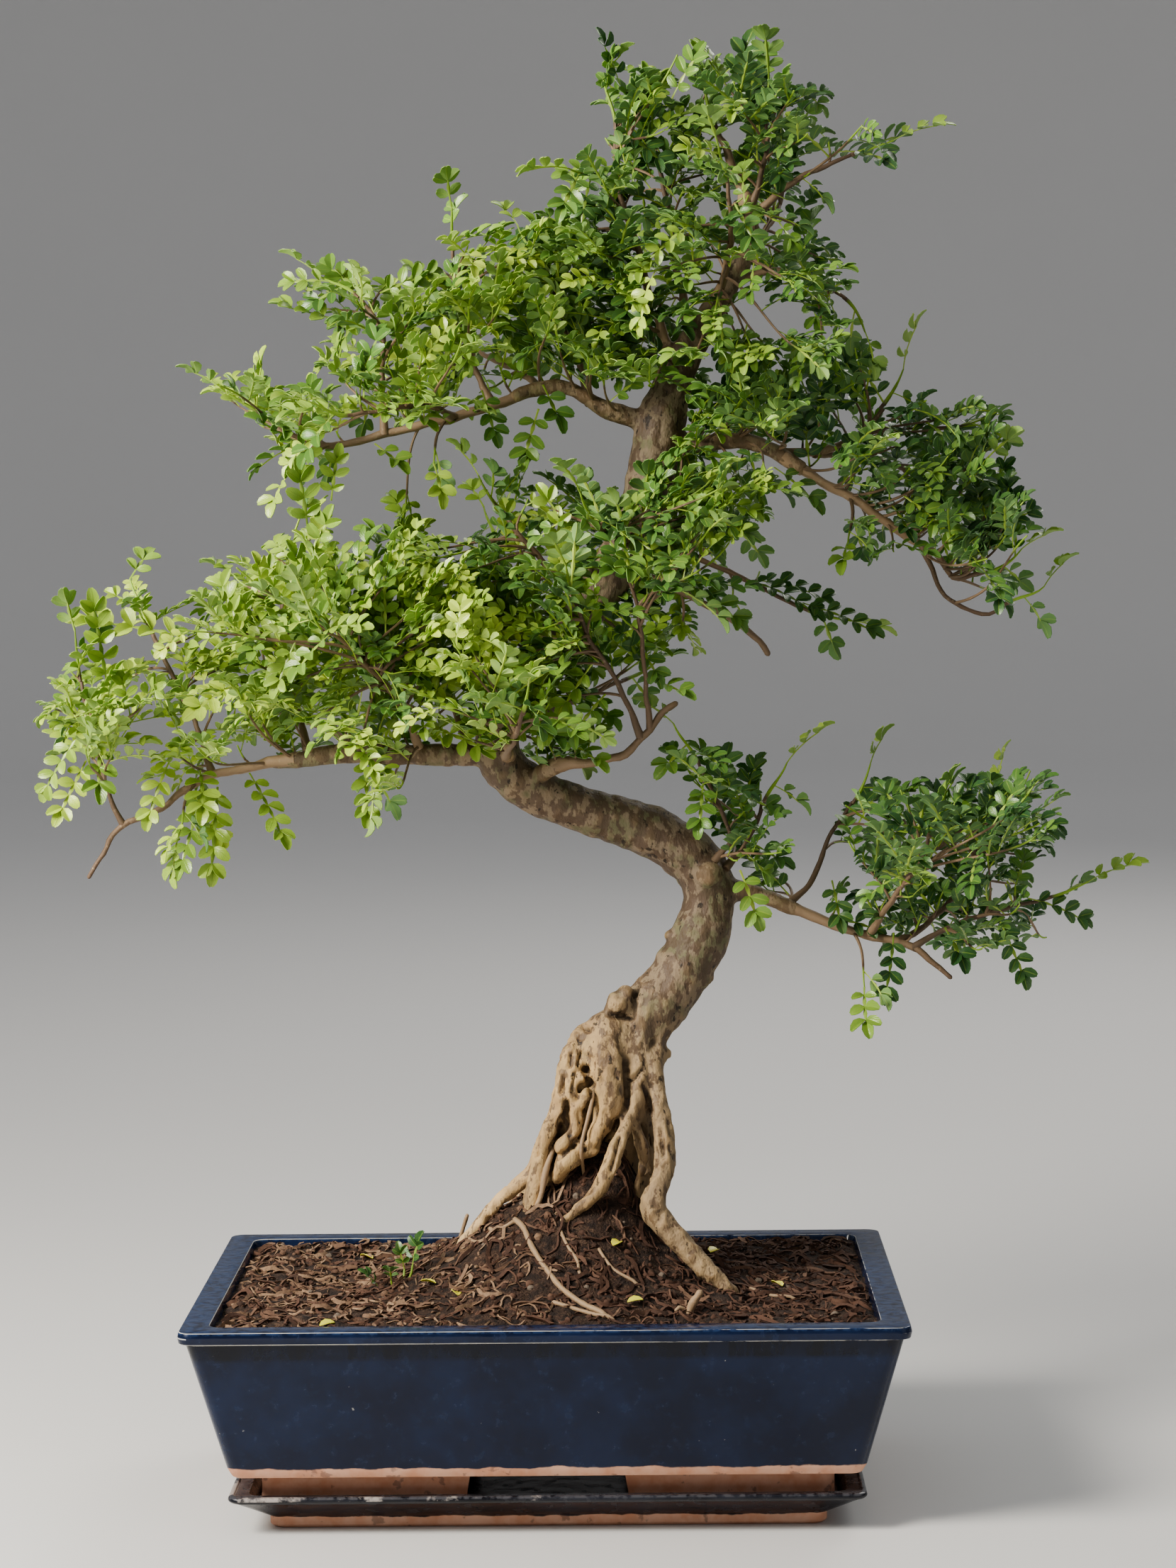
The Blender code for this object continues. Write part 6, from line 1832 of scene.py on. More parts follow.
    def stem(self, heap: Heap, twig: Twig, thick: float, woody_to: float,
             draw: random.Random) -> None:
        """The stem of a twig, brown where it is woody and green beyond."""
        path = twig.path(thick, self.tip_radius)
        points, faces = tube(path, self.stem_sides, draw, self.stem_swell)
        along = np.minimum(np.arange(len(points)) // self.stem_sides / (len(path) - 1), 1.0)
        tint = flat_tint(len(points), draw.random(), 0.0)
        tint[:, 1] = np.clip(self.woody_tint + (along - woody_to) * self.greening,
                             self.least_tint, 1.0)
        heap.add(points, faces, tint, None, TWIG_DRESS)

    def dress_piece(self, heap: Heap, name: str, nodes: Sequence[str]) -> Piece:
        """Turns a heap into a piece that rides on the body and stands for solid sprays."""
        piece = heap.piece(name, [self.skin, self.twig_skin])
        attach(piece, "root")
        if nodes:
            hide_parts(*nodes)
        return piece

    def sprays(self) -> None:
        """A leafy shoot in the place of each solid spray."""
        carried_on: set[str] = set()
        number = 0
        found = 0
        for zone, rows in SPRAYS.items():
            for index, (limb, tip, lift) in enumerate(rows, 1):
                name = f"spray_{zone}_{index:02d}"
                twig = Twig.grown(limb_stations(limb), tip, lift.value, limb in carried_on)
                woody = twig.green_from > 0
                if not woody:
                    carried_on.add(limb)
                draw = random.Random(Seed.SPRAYS.value + number)
                heap = Heap()
                leaves = self.solid.found(name, number, twig)
                found += len(leaves)
                taken = [twig.green_at(share) for share in (*self.solid.one_leaf, 1.0)]
                start = max(twig.green_from - self.before_green / twig.length,
                            self.first_leaf if woody else self.first_leaf_further)
                leaves += self.clothe(twig, start, draw, taken)
                thick = self.spray_radius if woody \
                    else limb_stations(limb)[-1][3] * self.thinner_further
                self.stem(heap, twig, thick, twig.green_from, draw)
                self.set_all(heap, leaves)
                self.dress_piece(heap, f"leaves_{zone}_{index:02d}", [name])
                number += 1
        log.info("sprays: %d, with %d leaves found again from the solids", number, found)

    def nearest_limb(self, tip: Vector) -> str:
        """The limb whose middle comes nearest to a tip."""
        return min(BRANCHES, key=lambda name: min(
            (Vector(station[:3]) - tip).length for station in self.fine_limbs[name]))

    def filling(self) -> None:
        """The finer shoots between the sprays, and the spurs along the limbs, zone by zone."""
        self.fine_limbs = {
            name: [tuple(station) for station in smooth_path(rows, self.limb_pitch)]
            for name, rows in BRANCHES.items()}
        draw = random.Random(Seed.SHOOTS.value)
        self.heaps = {zone: [Heap()] for zone in CROWN}
        for zone in CROWN:
            tips = [Vector(tip) for _, tip, _ in SPRAYS[zone]]
            shoots = self.scattered(zone, tips, draw)
            for tip in shoots:
                self.filling_shoot(zone, tip, draw)
            log.info("%s: %d finer shoots", zone, len(shoots))
        for foot, tip in LONE_LEAVES:
            self.lone_leaf(Vector(foot), Vector(tip), draw)
        for name, path in self.fine_limbs.items():
            self.spurs(name, path, draw)
        for zone, heaps in self.heaps.items():
            for number, heap in enumerate(heaps, 1):
                self.dress_piece(heap, f"foliage_{zone}_{number}", [])

    def scattered(self, zone: str, taken: Sequence[Vector], draw: random.Random) -> list[Vector]:
        """Tips of finer shoots, evenly strewn over one leaf cloud and through its depth.

        Args:
            zone: the leaf cloud.
            taken: tips that are there already.
            draw: source of the places.

        Returns:
            The new tips.
        """
        outline = CROWN[zone]
        columns, rows = zip(*outline)
        room = (max(columns) - min(columns)) * (max(rows) - min(rows))
        tips: list[Vector] = []
        for _ in range(round(room / self.room_of_tip * self.tries_for_tip)):
            spot = draw.uniform(min(columns), max(columns)), draw.uniform(min(rows), max(rows))
            slim = 1 - self.taper * max(0.0, spot[1] - self.taper_from)
            y = min(max(draw.gauss(*self.depth), -self.deepest), self.deepest) * slim
            further = (EYE[1] - y) / EYE[1]
            tip = Vector((EYE[0] + (spot[0] - EYE[0]) * further, y,
                          EYE[2] + (spot[1] - EYE[2]) * further))
            apart = min((tip - other).length for other in [*taken, *tips])
            if within(spot, outline) and leafy(spot) and apart > self.tip_spacing:
                tips.append(tip)
        return tips

    def filling_shoot(self, zone: str, tip: Vector, draw: random.Random) -> None:
        """One shoot from the nearest limb to a tip, with its leaves."""
        if not self.inside(tip):
            return
        limb = BRANCHES[self.nearest_limb(tip)]
        twig = Twig.grown(limb, tuple(tip), draw.uniform(*self.shoot_lift), True)
        start = max(self.first_leaf, 1 - self.leafy_length / max(twig.length, 1.0))
        leaves = self.clothe(twig, start, draw)
        if len(leaves) < self.fewest_leaves:
            return
        heap = self.open_heap(zone)
        self.stem(heap, twig, self.shoot_radius, twig.green_from, draw)
        self.set_all(heap, leaves)

    def lone_leaf(self, foot: Vector, tip: Vector, draw: random.Random) -> None:
        """One leaf that stands out, with as many leaflets as its length asks for."""
        way = tip - foot
        pairs = min(self.cutter.pair_counts, key=lambda count: abs(
            self.cutter.patterns[count][0].length - way.length))
        ahead = way.normalized()
        face_up = Vector((draw.uniform(-0.1, 0.5), -0.7, draw.uniform(0.4, 1.1)))
        face_up = square_to(ahead, face_up)
        size = way.length / self.cutter.patterns[pairs][0].length
        # The youth tint carries the painted light of the tip's place.
        youth = min(max(self.light(tip) + draw.uniform(*self.lone_youth), 0.0), 1.0)
        leaf = Leaf(pairs, foot, ahead, face_up, size, youth, draw.random(),
                    math.radians(draw.uniform(*self.lone_arches)))
        if self.inside(self.cutter.reach(leaf)):
            self.set_all(self.open_heap(self.zone_of(tip)), [leaf])

    def open_heap(self, zone: str) -> Heap:
        """The zone's newest heap, or a new one where that is full."""
        heaps = self.heaps[zone]
        if heaps[-1].triangles > self.heap_limit:
            heaps.append(Heap())
        return heaps[-1]

    def set_all(self, heap: Heap, leaves: Sequence[Leaf]) -> None:
        """Adds leaves to a heap."""
        for leaf in leaves:
            self.cutter.set(heap, leaf)
        self.leaf_count += len(leaves)

    def spurs(self, name: str, path: Sequence[Station], draw: random.Random) -> None:
        """Short leafy spurs along one limb.

        Args:
            name: the limb's name.
            path: its fine stations.
            draw: source of the small differences.
        """
        start, end = LEAFY_STRETCH.get(name, USUAL_STRETCH)
        walked = 0.0
        last = len(path) - 1
        for index in range(1, len(path)):
            here, before = Vector(path[index][:3]), Vector(path[index - 1][:3])
            walked += (here - before).length
            if walked < self.spur_pitch or not start <= index / last <= end:
                continue
            walked = draw.uniform(-self.spur_pitch_varies, self.spur_pitch_varies)
            along = (here - before).normalized()
            side = Matrix.Rotation(draw.uniform(0, 2 * math.pi), 3, along) @ along.orthogonal()
            rise = UP * draw.uniform(*self.spur_lift)
            out = (side.normalized() + rise + along * 0.5).normalized()
            length = draw.uniform(*self.spur_length)
            tip = here + out * length
            twig = Twig(here, here + along * length * 0.2 + out * length * 0.2,
                        tip - (out + 0.5 * UP).normalized() * length * 0.3, tip, 0.3)
            leaves = self.clothe(twig, self.spur_green_from, draw, (), self.spur_leaf)
            if not leaves:
                continue
            heap = self.open_heap(self.zone_of(tip))
            self.stem(heap, twig, self.spur_radius, self.spur_green_from, draw)
            self.set_all(heap, leaves)

    @staticmethod
    def zone_of(place: Vector) -> str:
        """The leaf cloud nearest to a place."""
        spot = Vector(seen(place))
        return min(CROWN, key=lambda zone: min(
            (Vector(corner) - spot).length for corner in CROWN[zone]))


@dataclass
class Wood:
    """Trunk, roots and limbs. The thick parts are fused into one skin and then gnarled."""

    bark: Material
    twig_skin: Material
    pitch: float = 2.5
    sides: int = 20
    swell: float = 0.05
    voxel: float = 1.05
    thick_from: float = 3.0
    slim: float = 0.84
    finer: float = 0.20
    smoothing: int = 4
    root_zone: tuple[float, float] = (238.0, 200.0)
    lumps: tuple[tuple[float, float], ...] = ((0.75, 13.0), (0.32, 4.4))
    sinew: tuple[float, float, float] = (1.7, 5.5, 21.0)
    sinew_level: float = 0.4
    pit: tuple[float, float, float] = (3.6, 4.2, 5.8)
    pit_from: float = 0.34
    pit_shift: float = 7.0
    smoothness: float = 0.6
    limb_pitch: float = 3.0
    limb_overlap: int = 3
    limb_sides: int = 8
    limb_swell: float = 0.10
    root_swell: float = 0.12
    root_shade: float = 0.9
    brown_below: float = 2.6
    brown_range: float = 2.4
    brownest: float = 0.5
    zigzag: float = 1.1
    zigzag_size: float = 9.0
    eased_over: int = 4
    finer_below: float = 3.6
    finer_range: float = 2.4
    # Painted shade: rays cast out of the roots, and how much the hollows and hemmed-in points
    # darken.
    probes: int = 6
    probe_start: float = 0.4
    probe_lean: float = 0.85
    probe_ahead: float = 0.55
    hollow_rounds: int = 8
    hollow_range: float = 0.55
    buried_kept: float = 0.4
    buried_weight: float = 2.4
    laid_radii: tuple[float, float, float] = (1.25, 0.9, 0.75)
    laid_up: float = 0.7
    laid_end: float = 0.8

    def split(self, stations: Sequence[Station]) -> tuple[list[Vector], list[Vector]]:
        """The thick and the thin part of a limb, which overlap a little."""
        path = smooth_path(stations, self.limb_pitch)
        thick = [index for index, station in enumerate(path) if station[3] >= self.thick_from]
        last = thick[-1] if thick else 0
        return path[:last + 1], path[max(last - self.limb_overlap, 0):]

    def fused(self) -> Piece:
        """Every thick limb and root as one remeshed skin."""
        heap = Heap()
        draw = random.Random(Seed.WOOD.value)
        paths = [smooth_path(stations, self.pitch) for stations in ROOTS.values()]
        limbs = [TRUNK, *[rows for rows in BRANCHES.values() if rows[0][3] > self.thick_from]]
        paths += [self.split(stations)[0] for stations in limbs]
        for path in paths:
            if len(path) > 2:
                points, faces = tube(path, self.sides, draw, self.swell)
                heap.add(points, faces, flat_tint(len(points), 0.5, 0.0))
        body = heap.piece("trunk_and_roots", [self.bark])
        parts = []
        for middle, radius in [*BURLS, *KNOTS]:
            bpy.ops.object.select_all(action="DESELECT")
            place = tuple(Vector(middle) * MM)
            bpy.ops.mesh.primitive_ico_sphere_add(subdivisions=3, radius=radius * MM,
                                                  location=place)
            parts.append(Bench.named("burl"))
        body = Bench.join([*parts, body])
        Bench.finish_with(body, "REMESH", mode="VOXEL", voxel_size=self.voxel * MM)
        Bench.finish_with(body, "SMOOTH", factor=self.smoothness, iterations=self.smoothing)
        return body

    @staticmethod
    def skin_of(mesh: bpy.types.Mesh) -> tuple[np.ndarray, np.ndarray]:
        """Places, in millimetres, and directions outward of a mesh's points."""
        co = np.empty(len(mesh.vertices) * 3)
        normal = np.empty_like(co)
        mesh.vertices.foreach_get("co", co)
        mesh.vertices.foreach_get("normal", normal)
        return co.reshape(-1, 3) / MM, normal.reshape(-1, 3)

    @staticmethod
    def cleft_depth(places: np.ndarray) -> np.ndarray:
        """How deep the clefts of the front cut in at each place."""
        depth = np.zeros(len(places))
        flat = places[:, [0, 2]]
        for route in CLEFTS:
            for start, end in zip(np.array(route), np.array(route)[1:]):
                way = end - start
                share = np.clip((flat - start) @ way / (way @ way), 0, 1)[:, None]
                apart = np.linalg.norm(flat - start - share * way, axis=1)
                depth = np.maximum(depth, np.exp(-(apart / CLEFT_HALF_WIDTH) ** 2))
        return depth * CLEFT_DEPTH * (places[:, 1] < CLEFT_FRONT)

    def gnarl(self, body: Piece) -> None:
        """Lumps, sinews and pits over the whole skin, strongest on the roots."""
        mesh = body.data
        co, normal = self.skin_of(mesh)
        top, bottom = self.root_zone
        rooty = np.clip((top - co[:, 2]) / (top - bottom), 0, 1)
        sinew_height, sinew_wide, sinew_long = self.sinew
        pit_depth, pit_wide, pit_long = self.pit
        move = np.empty(len(co))
        for index, (x, y, z) in enumerate(co):
            lump = sum(height * noise.noise(Vector((x, y, z)) / size)
                       for height, size in self.lumps)
            weight = rooty[index]
            if weight > 0:
                sinew = abs(noise.noise(Vector((x / sinew_wide, y / sinew_wide, z / sinew_long))))
                lump += weight * (self.sinew_level - sinew_height * sinew)
                pit = noise.noise(Vector((x / pit_wide, y / pit_wide,
                                          z / pit_long + self.pit_shift)))
                lump -= weight * pit_depth * max(pit - self.pit_from, 0.0)
            move[index] = lump
        move -= self.cleft_depth(co) * np.clip(-normal[:, 1] * 2.0, 0, 1)
        co = co + normal * move[:, None]
        mesh.vertices.foreach_set("co", (co * MM).astype(np.float32).ravel())
        mesh.update()

    def buried(self, body: Piece, places: np.ndarray, normals: np.ndarray) -> np.ndarray:
        """Share of the directions out of each root point that meet wood close by.

        Args:
            body: the skin.
            places: its points, in millimetres.
            normals: its directions outward.

        Returns:
            The share for every point, 0 above the roots.
        """
        tree = BVHTree.FromPolygons([Vector(place) for place in places.tolist()],
                                    [list(face.vertices) for face in body.data.polygons])
        share = np.zeros(len(places))
        leans = [Vector((math.cos(turn), math.sin(turn), 0.0)) * self.probe_lean
                 for turn in np.arange(self.probes) * (2 * math.pi / self.probes)]
        for index in np.flatnonzero(places[:, 2] < ROOT_TOP):
            place, normal = Vector(places[index]), Vector(normals[index])
            side = normal.orthogonal().normalized()
            across = normal.cross(side)
            start = place + normal * self.probe_start
            met = 0
            for lean in leans:
                way = normal * self.probe_ahead + side * lean.x + across * lean.y
                met += tree.ray_cast(start, way, NEAR_WOOD)[0] is not None
            met += 2 * (tree.ray_cast(start, normal, NEAR_WOOD)[0] is not None)
            share[index] = met / (len(leans) + 2)
        return share

    def mark_hollows(self, body: Piece) -> None:
        """Writes how sunk or proud each point is, for the painted shade in the hollows and between
        the roots.
        """
        mesh = body.data
        co, normal = self.skin_of(mesh)
        edges = np.empty(len(mesh.edges) * 2, np.int32)
        mesh.edges.foreach_get("vertices", edges)
        edges = edges.reshape(-1, 2)
        degree = np.bincount(edges.ravel(), minlength=len(co))[:, None]

        def spread(values: np.ndarray) -> np.ndarray:
            """Mean of every point's neighbours."""
            total = np.zeros_like(values)
            np.add.at(total, edges[:, 0], values[edges[:, 1]])
            np.add.at(total, edges[:, 1], values[edges[:, 0]])
            return total / degree

        soft = co
        for _ in range(self.hollow_rounds):
            soft = 0.5 * soft + 0.5 * spread(soft)
        hollow = ((soft - co) * normal).sum(1, keepdims=True)
        for _ in range(2):
            hollow = 0.5 * hollow + 0.5 * spread(hollow)
        hollow = np.clip(hollow.ravel() / self.hollow_range, -1, 1)
        # Painted shade: points hemmed in by nearby wood count as sunk, so the bark darkens there.
        buried = self.buried(body, co, normal)[:, None]
        buried = self.buried_kept * buried + (1 - self.buried_kept) * spread(buried)
        dark = self.buried_weight * (buried.ravel() - BURIED_FROM)
        hollow = np.clip(np.maximum(hollow, dark), -1, 1)
        attribute = mesh.attributes.new("hollow", "FLOAT", "POINT")
        attribute.data.foreach_set("value", hollow.astype(np.float32))

    def thin_limbs(self) -> Piece:
        """Thin branches and the roots laid on the mound, as one piece."""
        heap = Heap()
        draw = random.Random(Seed.LIMBS.value)
        for stations in (TRUNK, *BRANCHES.values()):
            _, thin = self.split(stations)
            if len(thin) < 3:
                continue
            points, faces = tube(self.crooked(thin), self.limb_sides, draw, self.limb_swell)
            old = np.repeat([station[3] for station in thin], self.limb_sides)
            old = np.concatenate([old, np.full(len(points) - len(old), thin[-1][3])])
            tint = flat_tint(len(points), draw.random(), 0.0)
            tint[:, 1] = np.clip((self.brown_below - old) / self.brown_range, 0.0, self.brownest)
            heap.add(points, faces, tint)
        for route in [*STRAPS, *self.laid_routes()]:
            path = smooth_path(route, self.pitch)
            points, faces = tube(path, self.limb_sides, draw, self.root_swell)
            heap.add(points, faces, flat_tint(len(points), self.root_shade, 0.0))
        return heap.piece("thin_limbs", [self.twig_skin])

    def laid_routes(self) -> list[list[Station]]:
        """Stations of the thin roots that lie on the soil."""
        routes = []
        long, fork, small = self.laid_radii
        rows = [(LAID_ROOT, long), (LAID_ROOT_FORK, fork), (LAID_ROOT_TWIN, fork)]
        rows += [(points, small) for points in SURFACE_ROOTS]
        for places, radius in rows:
            route = [(x, y, soil_height(x, y) + radius * self.laid_up, radius)
                     for x, y in places]
            x, y, z, _ = route[-1]
            end = (x + 3, y - 2 if y < 0 else y + 2, z - 5, radius * self.laid_end)
            x, y, z, _ = route[0]
            foot = (x + 3, y + (4 if y < 0 else -4), z - 4, radius)
            routes.append([foot, *route, end])
        return routes

    def crooked(self, path: Sequence[Vector]) -> list[Vector]:
        """The path of a thin limb with the small zigzag of its joints, and slimmer further out."""
        bent = []
        for index, station in enumerate(path):
            way = noise.noise_vector(station.to_3d() / self.zigzag_size) * self.zigzag
            ease = min(index, self.eased_over) / self.eased_over
            finer = min(max((self.finer_below - station[3]) / self.finer_range, 0.0), 1.0)
            finer *= self.finer
            radius = station[3] * (1 + (self.slim - finer - 1) * ease)
            bent.append(Vector((*(station.to_3d() + way * ease), radius)))
        return bent

    def build(self) -> None:
        """Makes the wood and lets it stand for the solid tree."""
        body = self.fused()
        self.gnarl(body)
        self.mark_hollows(body)
        Bench.coat(body, self.bark)
        Bench.shade(body, 180)
        limbs = self.thin_limbs()
        for piece in (body, limbs):
            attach(piece, "root")
            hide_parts("tree")
        log.info("wood: %d and %d faces", len(body.data.polygons), len(limbs.data.polygons))


def mark_edges(piece: Piece) -> None:
    """Writes 1 on the points whose faces are all narrow, as on rounded edges."""
    mesh = piece.data
    edge = np.ones(len(mesh.vertices), np.float32)
    for face in mesh.polygons:
        corners = [mesh.vertices[index].co for index in face.vertices]
        longest = max((here - after).length for here, after in zip(corners, corners[1:]))
        if face.area > longest * NARROW_FACE * MM:
            edge[list(face.vertices)] = 0.0
    attribute = mesh.attributes.new("edge", "FLOAT", "POINT")
    attribute.data.foreach_set("value", edge)


@dataclass
class Pot:
    """The glazed pot: tapered walls, overhanging lip, flat rim, foot ring with arches."""

    glaze: Material
    corner: float = 5.0
    rim: tuple[float, float] = (300.0, 210.0)
    band: tuple[float, float] = (265.0, 175.0)
    foot: tuple[float, float] = (239.0, 149.0)
    foot_wall: float = 10.0
    long_arch: float = 64.0
    short_arch: float = 39.5
    arch_top: float = 24.0
    drain_radius: float = 9.0
    drain_place: float = 62.0
    edge_round: float = 1.1

    def steps(self) -> list[Point]:
        """Profile from the underside up over the rim and down inside."""
        length, width = self.rim
        return [
            (self.band[0] - 4, self.band[1] - 4, 25.0), (*self.band, BAND_TOP),
            (length - 6, width - 6, RIM_TOP - 5.5), (length - 1.0, width - 1.0, RIM_TOP - 5.0),
            (length, width, RIM_TOP - 2.4), (length - 1.0, width - 1.0, RIM_TOP),
            (length - 24, width - 24, RIM_TOP), (252.0, 162.0, 40.0), (246.0, 156.0, 37.0),
        ]

    def arch(self, wide: float, reach: float, turned: bool) -> Piece:
        """A bar with slanted sides that cuts the arches of two opposite foot walls."""
        low = TRAY_FLOOR - 4
        bar = Bench.stack("arch", [(wide + 6, reach, low), (wide, reach, self.arch_top)], 0.6, 1)
        if turned:
            bar.rotation_euler = (0, 0, math.pi / 2)
            Bench.pick(bar)
            bpy.ops.object.transform_apply(rotation=True)
        return bar

    def build(self) -> None:
        """Makes the pot."""
        pot = Bench.stack("glazed_pot", self.steps(), self.corner, 6)
        length, width = self.foot
        ring = Bench.stack("foot", [(length - 2, width - 2, TRAY_FLOOR + 0.3),
                                    (length, width, TRAY_FLOOR + 1.3), (length, width, 27.0)],
                           self.corner)
        wall = 2 * self.foot_wall
        hollow = Bench.stack("hollow", [(length - wall, width - wall, TRAY_FLOOR - 2),
                                        (length - wall, width - wall, 30.0)], self.corner)
        Bench.cut(ring, hollow)
        Bench.cut(ring, self.arch(self.long_arch, 200.0, False))
        Bench.cut(ring, self.arch(self.short_arch, 300.0, True))
        for side in (-1, 1):
            bpy.ops.object.select_all(action="DESELECT")
            bpy.ops.mesh.primitive_cylinder_add(
                vertices=32, radius=self.drain_radius * MM, depth=20 * MM,
                location=(side * self.drain_place * MM, 0, 31 * MM))
            Bench.cut(pot, Bench.named("drain"))
        Bench.cut(pot, ring, "UNION")
        Bench.ease_edges(pot, self.edge_round)
        Bench.coat(pot, self.glaze)
        Bench.shade(pot, 35)
        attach(pot, "root")
        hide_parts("pot")
        log.info("pot: %d faces", len(pot.data.polygons))


@dataclass
class Tray:
    """The drip tray under the pot: bare foot, slanted underside, beaded rim, sunk floor."""

    glaze: Material
    corner: float = 4.5
    size: tuple[float, float] = (265.0, 175.0)
    foot: tuple[float, float] = (233.0, 143.0)
    foot_height: float = TRAY_FOOT_TOP
    rim_top: float = TRAY_RIM_TOP
    flange: float = 8.0
    edge_round: float = 0.4

    def build(self) -> None:
        """Makes the tray."""
        length, width = self.size
        inner = (length - 2 * self.flange, width - 2 * self.flange)
        steps = [
            (self.foot[0] - 3, self.foot[1] - 3, 0.0), (*self.foot, 1.4),
            (*self.foot, self.foot_height), (length - 5, width - 5, self.rim_top - 3.4),
            (length - 1.6, width - 1.6, self.rim_top - 2.6), (length, width, self.rim_top - 1.6),
            (length - 0.6, width - 0.6, self.rim_top - 0.4),
            (length - 2.2, width - 2.2, self.rim_top), (length - 4.4, width - 4.4, self.rim_top),
            (length - 5.4, width - 5.4, self.rim_top - 0.7), (*inner, self.rim_top - 0.8),
            (inner[0] - 6, inner[1] - 6, TRAY_FLOOR),
        ]
        tray = Bench.stack("glazed_tray", steps, self.corner, 6)
        Bench.ease_edges(tray, self.edge_round)
        Bench.coat(tray, self.glaze)
        Bench.shade(tray, 35)
        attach(tray, "root")
        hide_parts("drip_tray")
        log.info("tray: %d faces", len(tray.data.polygons))


@dataclass
class Soil:
    """The potting soil with its clods, and the fibre and chips that lie on it."""

    humus: Material
    strand: Material
    cell: float = 1.9
    clod: float = 1.7
    clod_size: float = 13.0
    crumb: float = 1.5
    crumb_size: float = 4.6
    edge_drop: float = 1.6
    edge_reach: float = 7.0
    strewn: tuple[float, float] = (0.485, 0.48)
    fibres: int = 2150
    fibre_radius: tuple[float, float] = (0.25, 0.6)
    fibre_step: tuple[float, float] = (1.0, 2.2)
    fibre_curl: float = 0.8
    fibre_crook: float = 0.35
    fibre_bow: tuple[float, float] = (0.1, 0.8)
    fibre_steps: int = 6
    fibre_swell: float = 0.2
    fibre_ends: float = 0.6
    fibre_up: float = 0.7
    fibre_turn: float = 1.1
    shortest_fibre: float = 1.5
    rim_gap: float = 1.5
    long_fibres: float = 0.24
    long_fibre_radius: tuple[float, float] = (0.5, 1.15)
    long_fibre_step: tuple[float, float] = (1.8, 3.4)
    chips: int = 260
    chip_length: tuple[float, float] = (1.4, 4.0)
    chip_width: tuple[float, float] = (0.9, 2.2)
    chip_thickness: tuple[float, float] = (0.25, 0.6)
    chip_taper: tuple[float, float] = (0.4, 0.9)
    chip_bend: float = 0.18
    chip_tilt: float = 0.5
    chip_up: float = 0.7
    pebbles: int = 1350
    pebble_radius: tuple[float, float] = (0.7, 2.1)
    pebble_profile: tuple[Spot, ...] = ((-0.8, 0.5), (-0.3, 0.9), (0.3, 0.95), (0.8, 0.55))
    pebble_sides: int = 6
    pebble_swell: float = 0.12
    pebble_sunk: float = 0.2
    pebble_light: float = 0.75
    stony_pebbles: float = 0.06
    light_shape: tuple[float, float] = (2.2, 1.8)
    # Painted light on the strands: lighter on the left, darker on the right.
    left_light: float = 1.1
    right_light: float = 0.72

    def surface(self, x: float, y: float) -> float:
        """Height of the soil with clods and crumbs, lower where it meets the pot."""
        length, width = SOIL_EDGE
        near_wall = min(length / 2 - abs(x), width / 2 - abs(y))
        drop = self.edge_drop * max(0.0, 1 - near_wall / self.edge_reach)
        clods = self.clod * noise.noise(Vector((x, y, 0.0)) / self.clod_size)
        crumbs = self.crumb * noise.noise(Vector((x, y, 3.0)) / self.crumb_size)
        off = Vector((x - CORE_MIDDLE[0], y - CORE_MIDDLE[1])) / CORE_REACH
        core = CORE_HEIGHT * math.exp(-off.length_squared)
        return soil_height(x, y) + core + clods + crumbs - drop

    def bed(self) -> Piece:
        """The body of the soil: a grid drawn up over the mound and down inside the pot."""
        length, width = SOIL_EDGE
        bpy.ops.object.select_all(action="DESELECT")
        bpy.ops.mesh.primitive_grid_add(x_subdivisions=round(length / self.cell),
                                        y_subdivisions=round(width / self.cell), size=1.0)
        bpy.context.object.scale = (length * MM, width * MM, 1.0)
        bed = Bench.named("soil_bed")
        for vert in bed.data.vertices:
            vert.co.z = self.surface(vert.co.x / MM, vert.co.y / MM) * MM
        bpy.ops.object.mode_set(mode="EDIT")
        bpy.ops.mesh.select_mode(type="EDGE")
        bpy.ops.mesh.select_all(action="DESELECT")
        bpy.ops.mesh.select_non_manifold()
        bpy.ops.mesh.extrude_region_move(TRANSFORM_OT_translate={"value": (0, 0, -0.02)})
        shape = bmesh.from_edit_mesh(bed.data)
        foot = (SOIL_FOOT[0] / length, SOIL_FOOT[1] / width)
        for vert in shape.verts:
            if vert.select:
                vert.co = (vert.co.x * foot[0], vert.co.y * foot[1], SOIL_UNDERSIDE * MM)
        bmesh.update_edit_mesh(bed.data)
        bpy.ops.mesh.edge_face_add()
        bpy.ops.mesh.select_all(action="SELECT")
        bpy.ops.mesh.normals_make_consistent(inside=False)
        bpy.ops.object.mode_set(mode="OBJECT")
        bed.data.materials.append(self.humus)
        Bench.shade(bed, 60)
        return bed

    def litter(self) -> Piece:
        """Curly fibres and bent chips strewn over the soil."""
        heap = Heap()
        draw = random.Random(Seed.LITTER.value)
        length, width = SOIL_EDGE
        makers = [self.fibre] * self.fibres + [self.chip] * self.chips
        makers += [self.pebble] * self.pebbles
        along, across = self.strewn
        for make in makers:
            x = draw.uniform(-along, along) * length
            y = draw.uniform(-across, across) * width
            make(heap, x, y, draw)
        return heap.piece("soil_litter", [self.strand])

    def shade(self, x: float, draw: random.Random) -> float:
        """How light a strand is: painted light, lighter on the left and darker in the shade right
        of the mound.
        """
        light = self.left_light if x < MOUND_MIDDLE[0] else self.right_light
        return draw.betavariate(*self.light_shape) * light

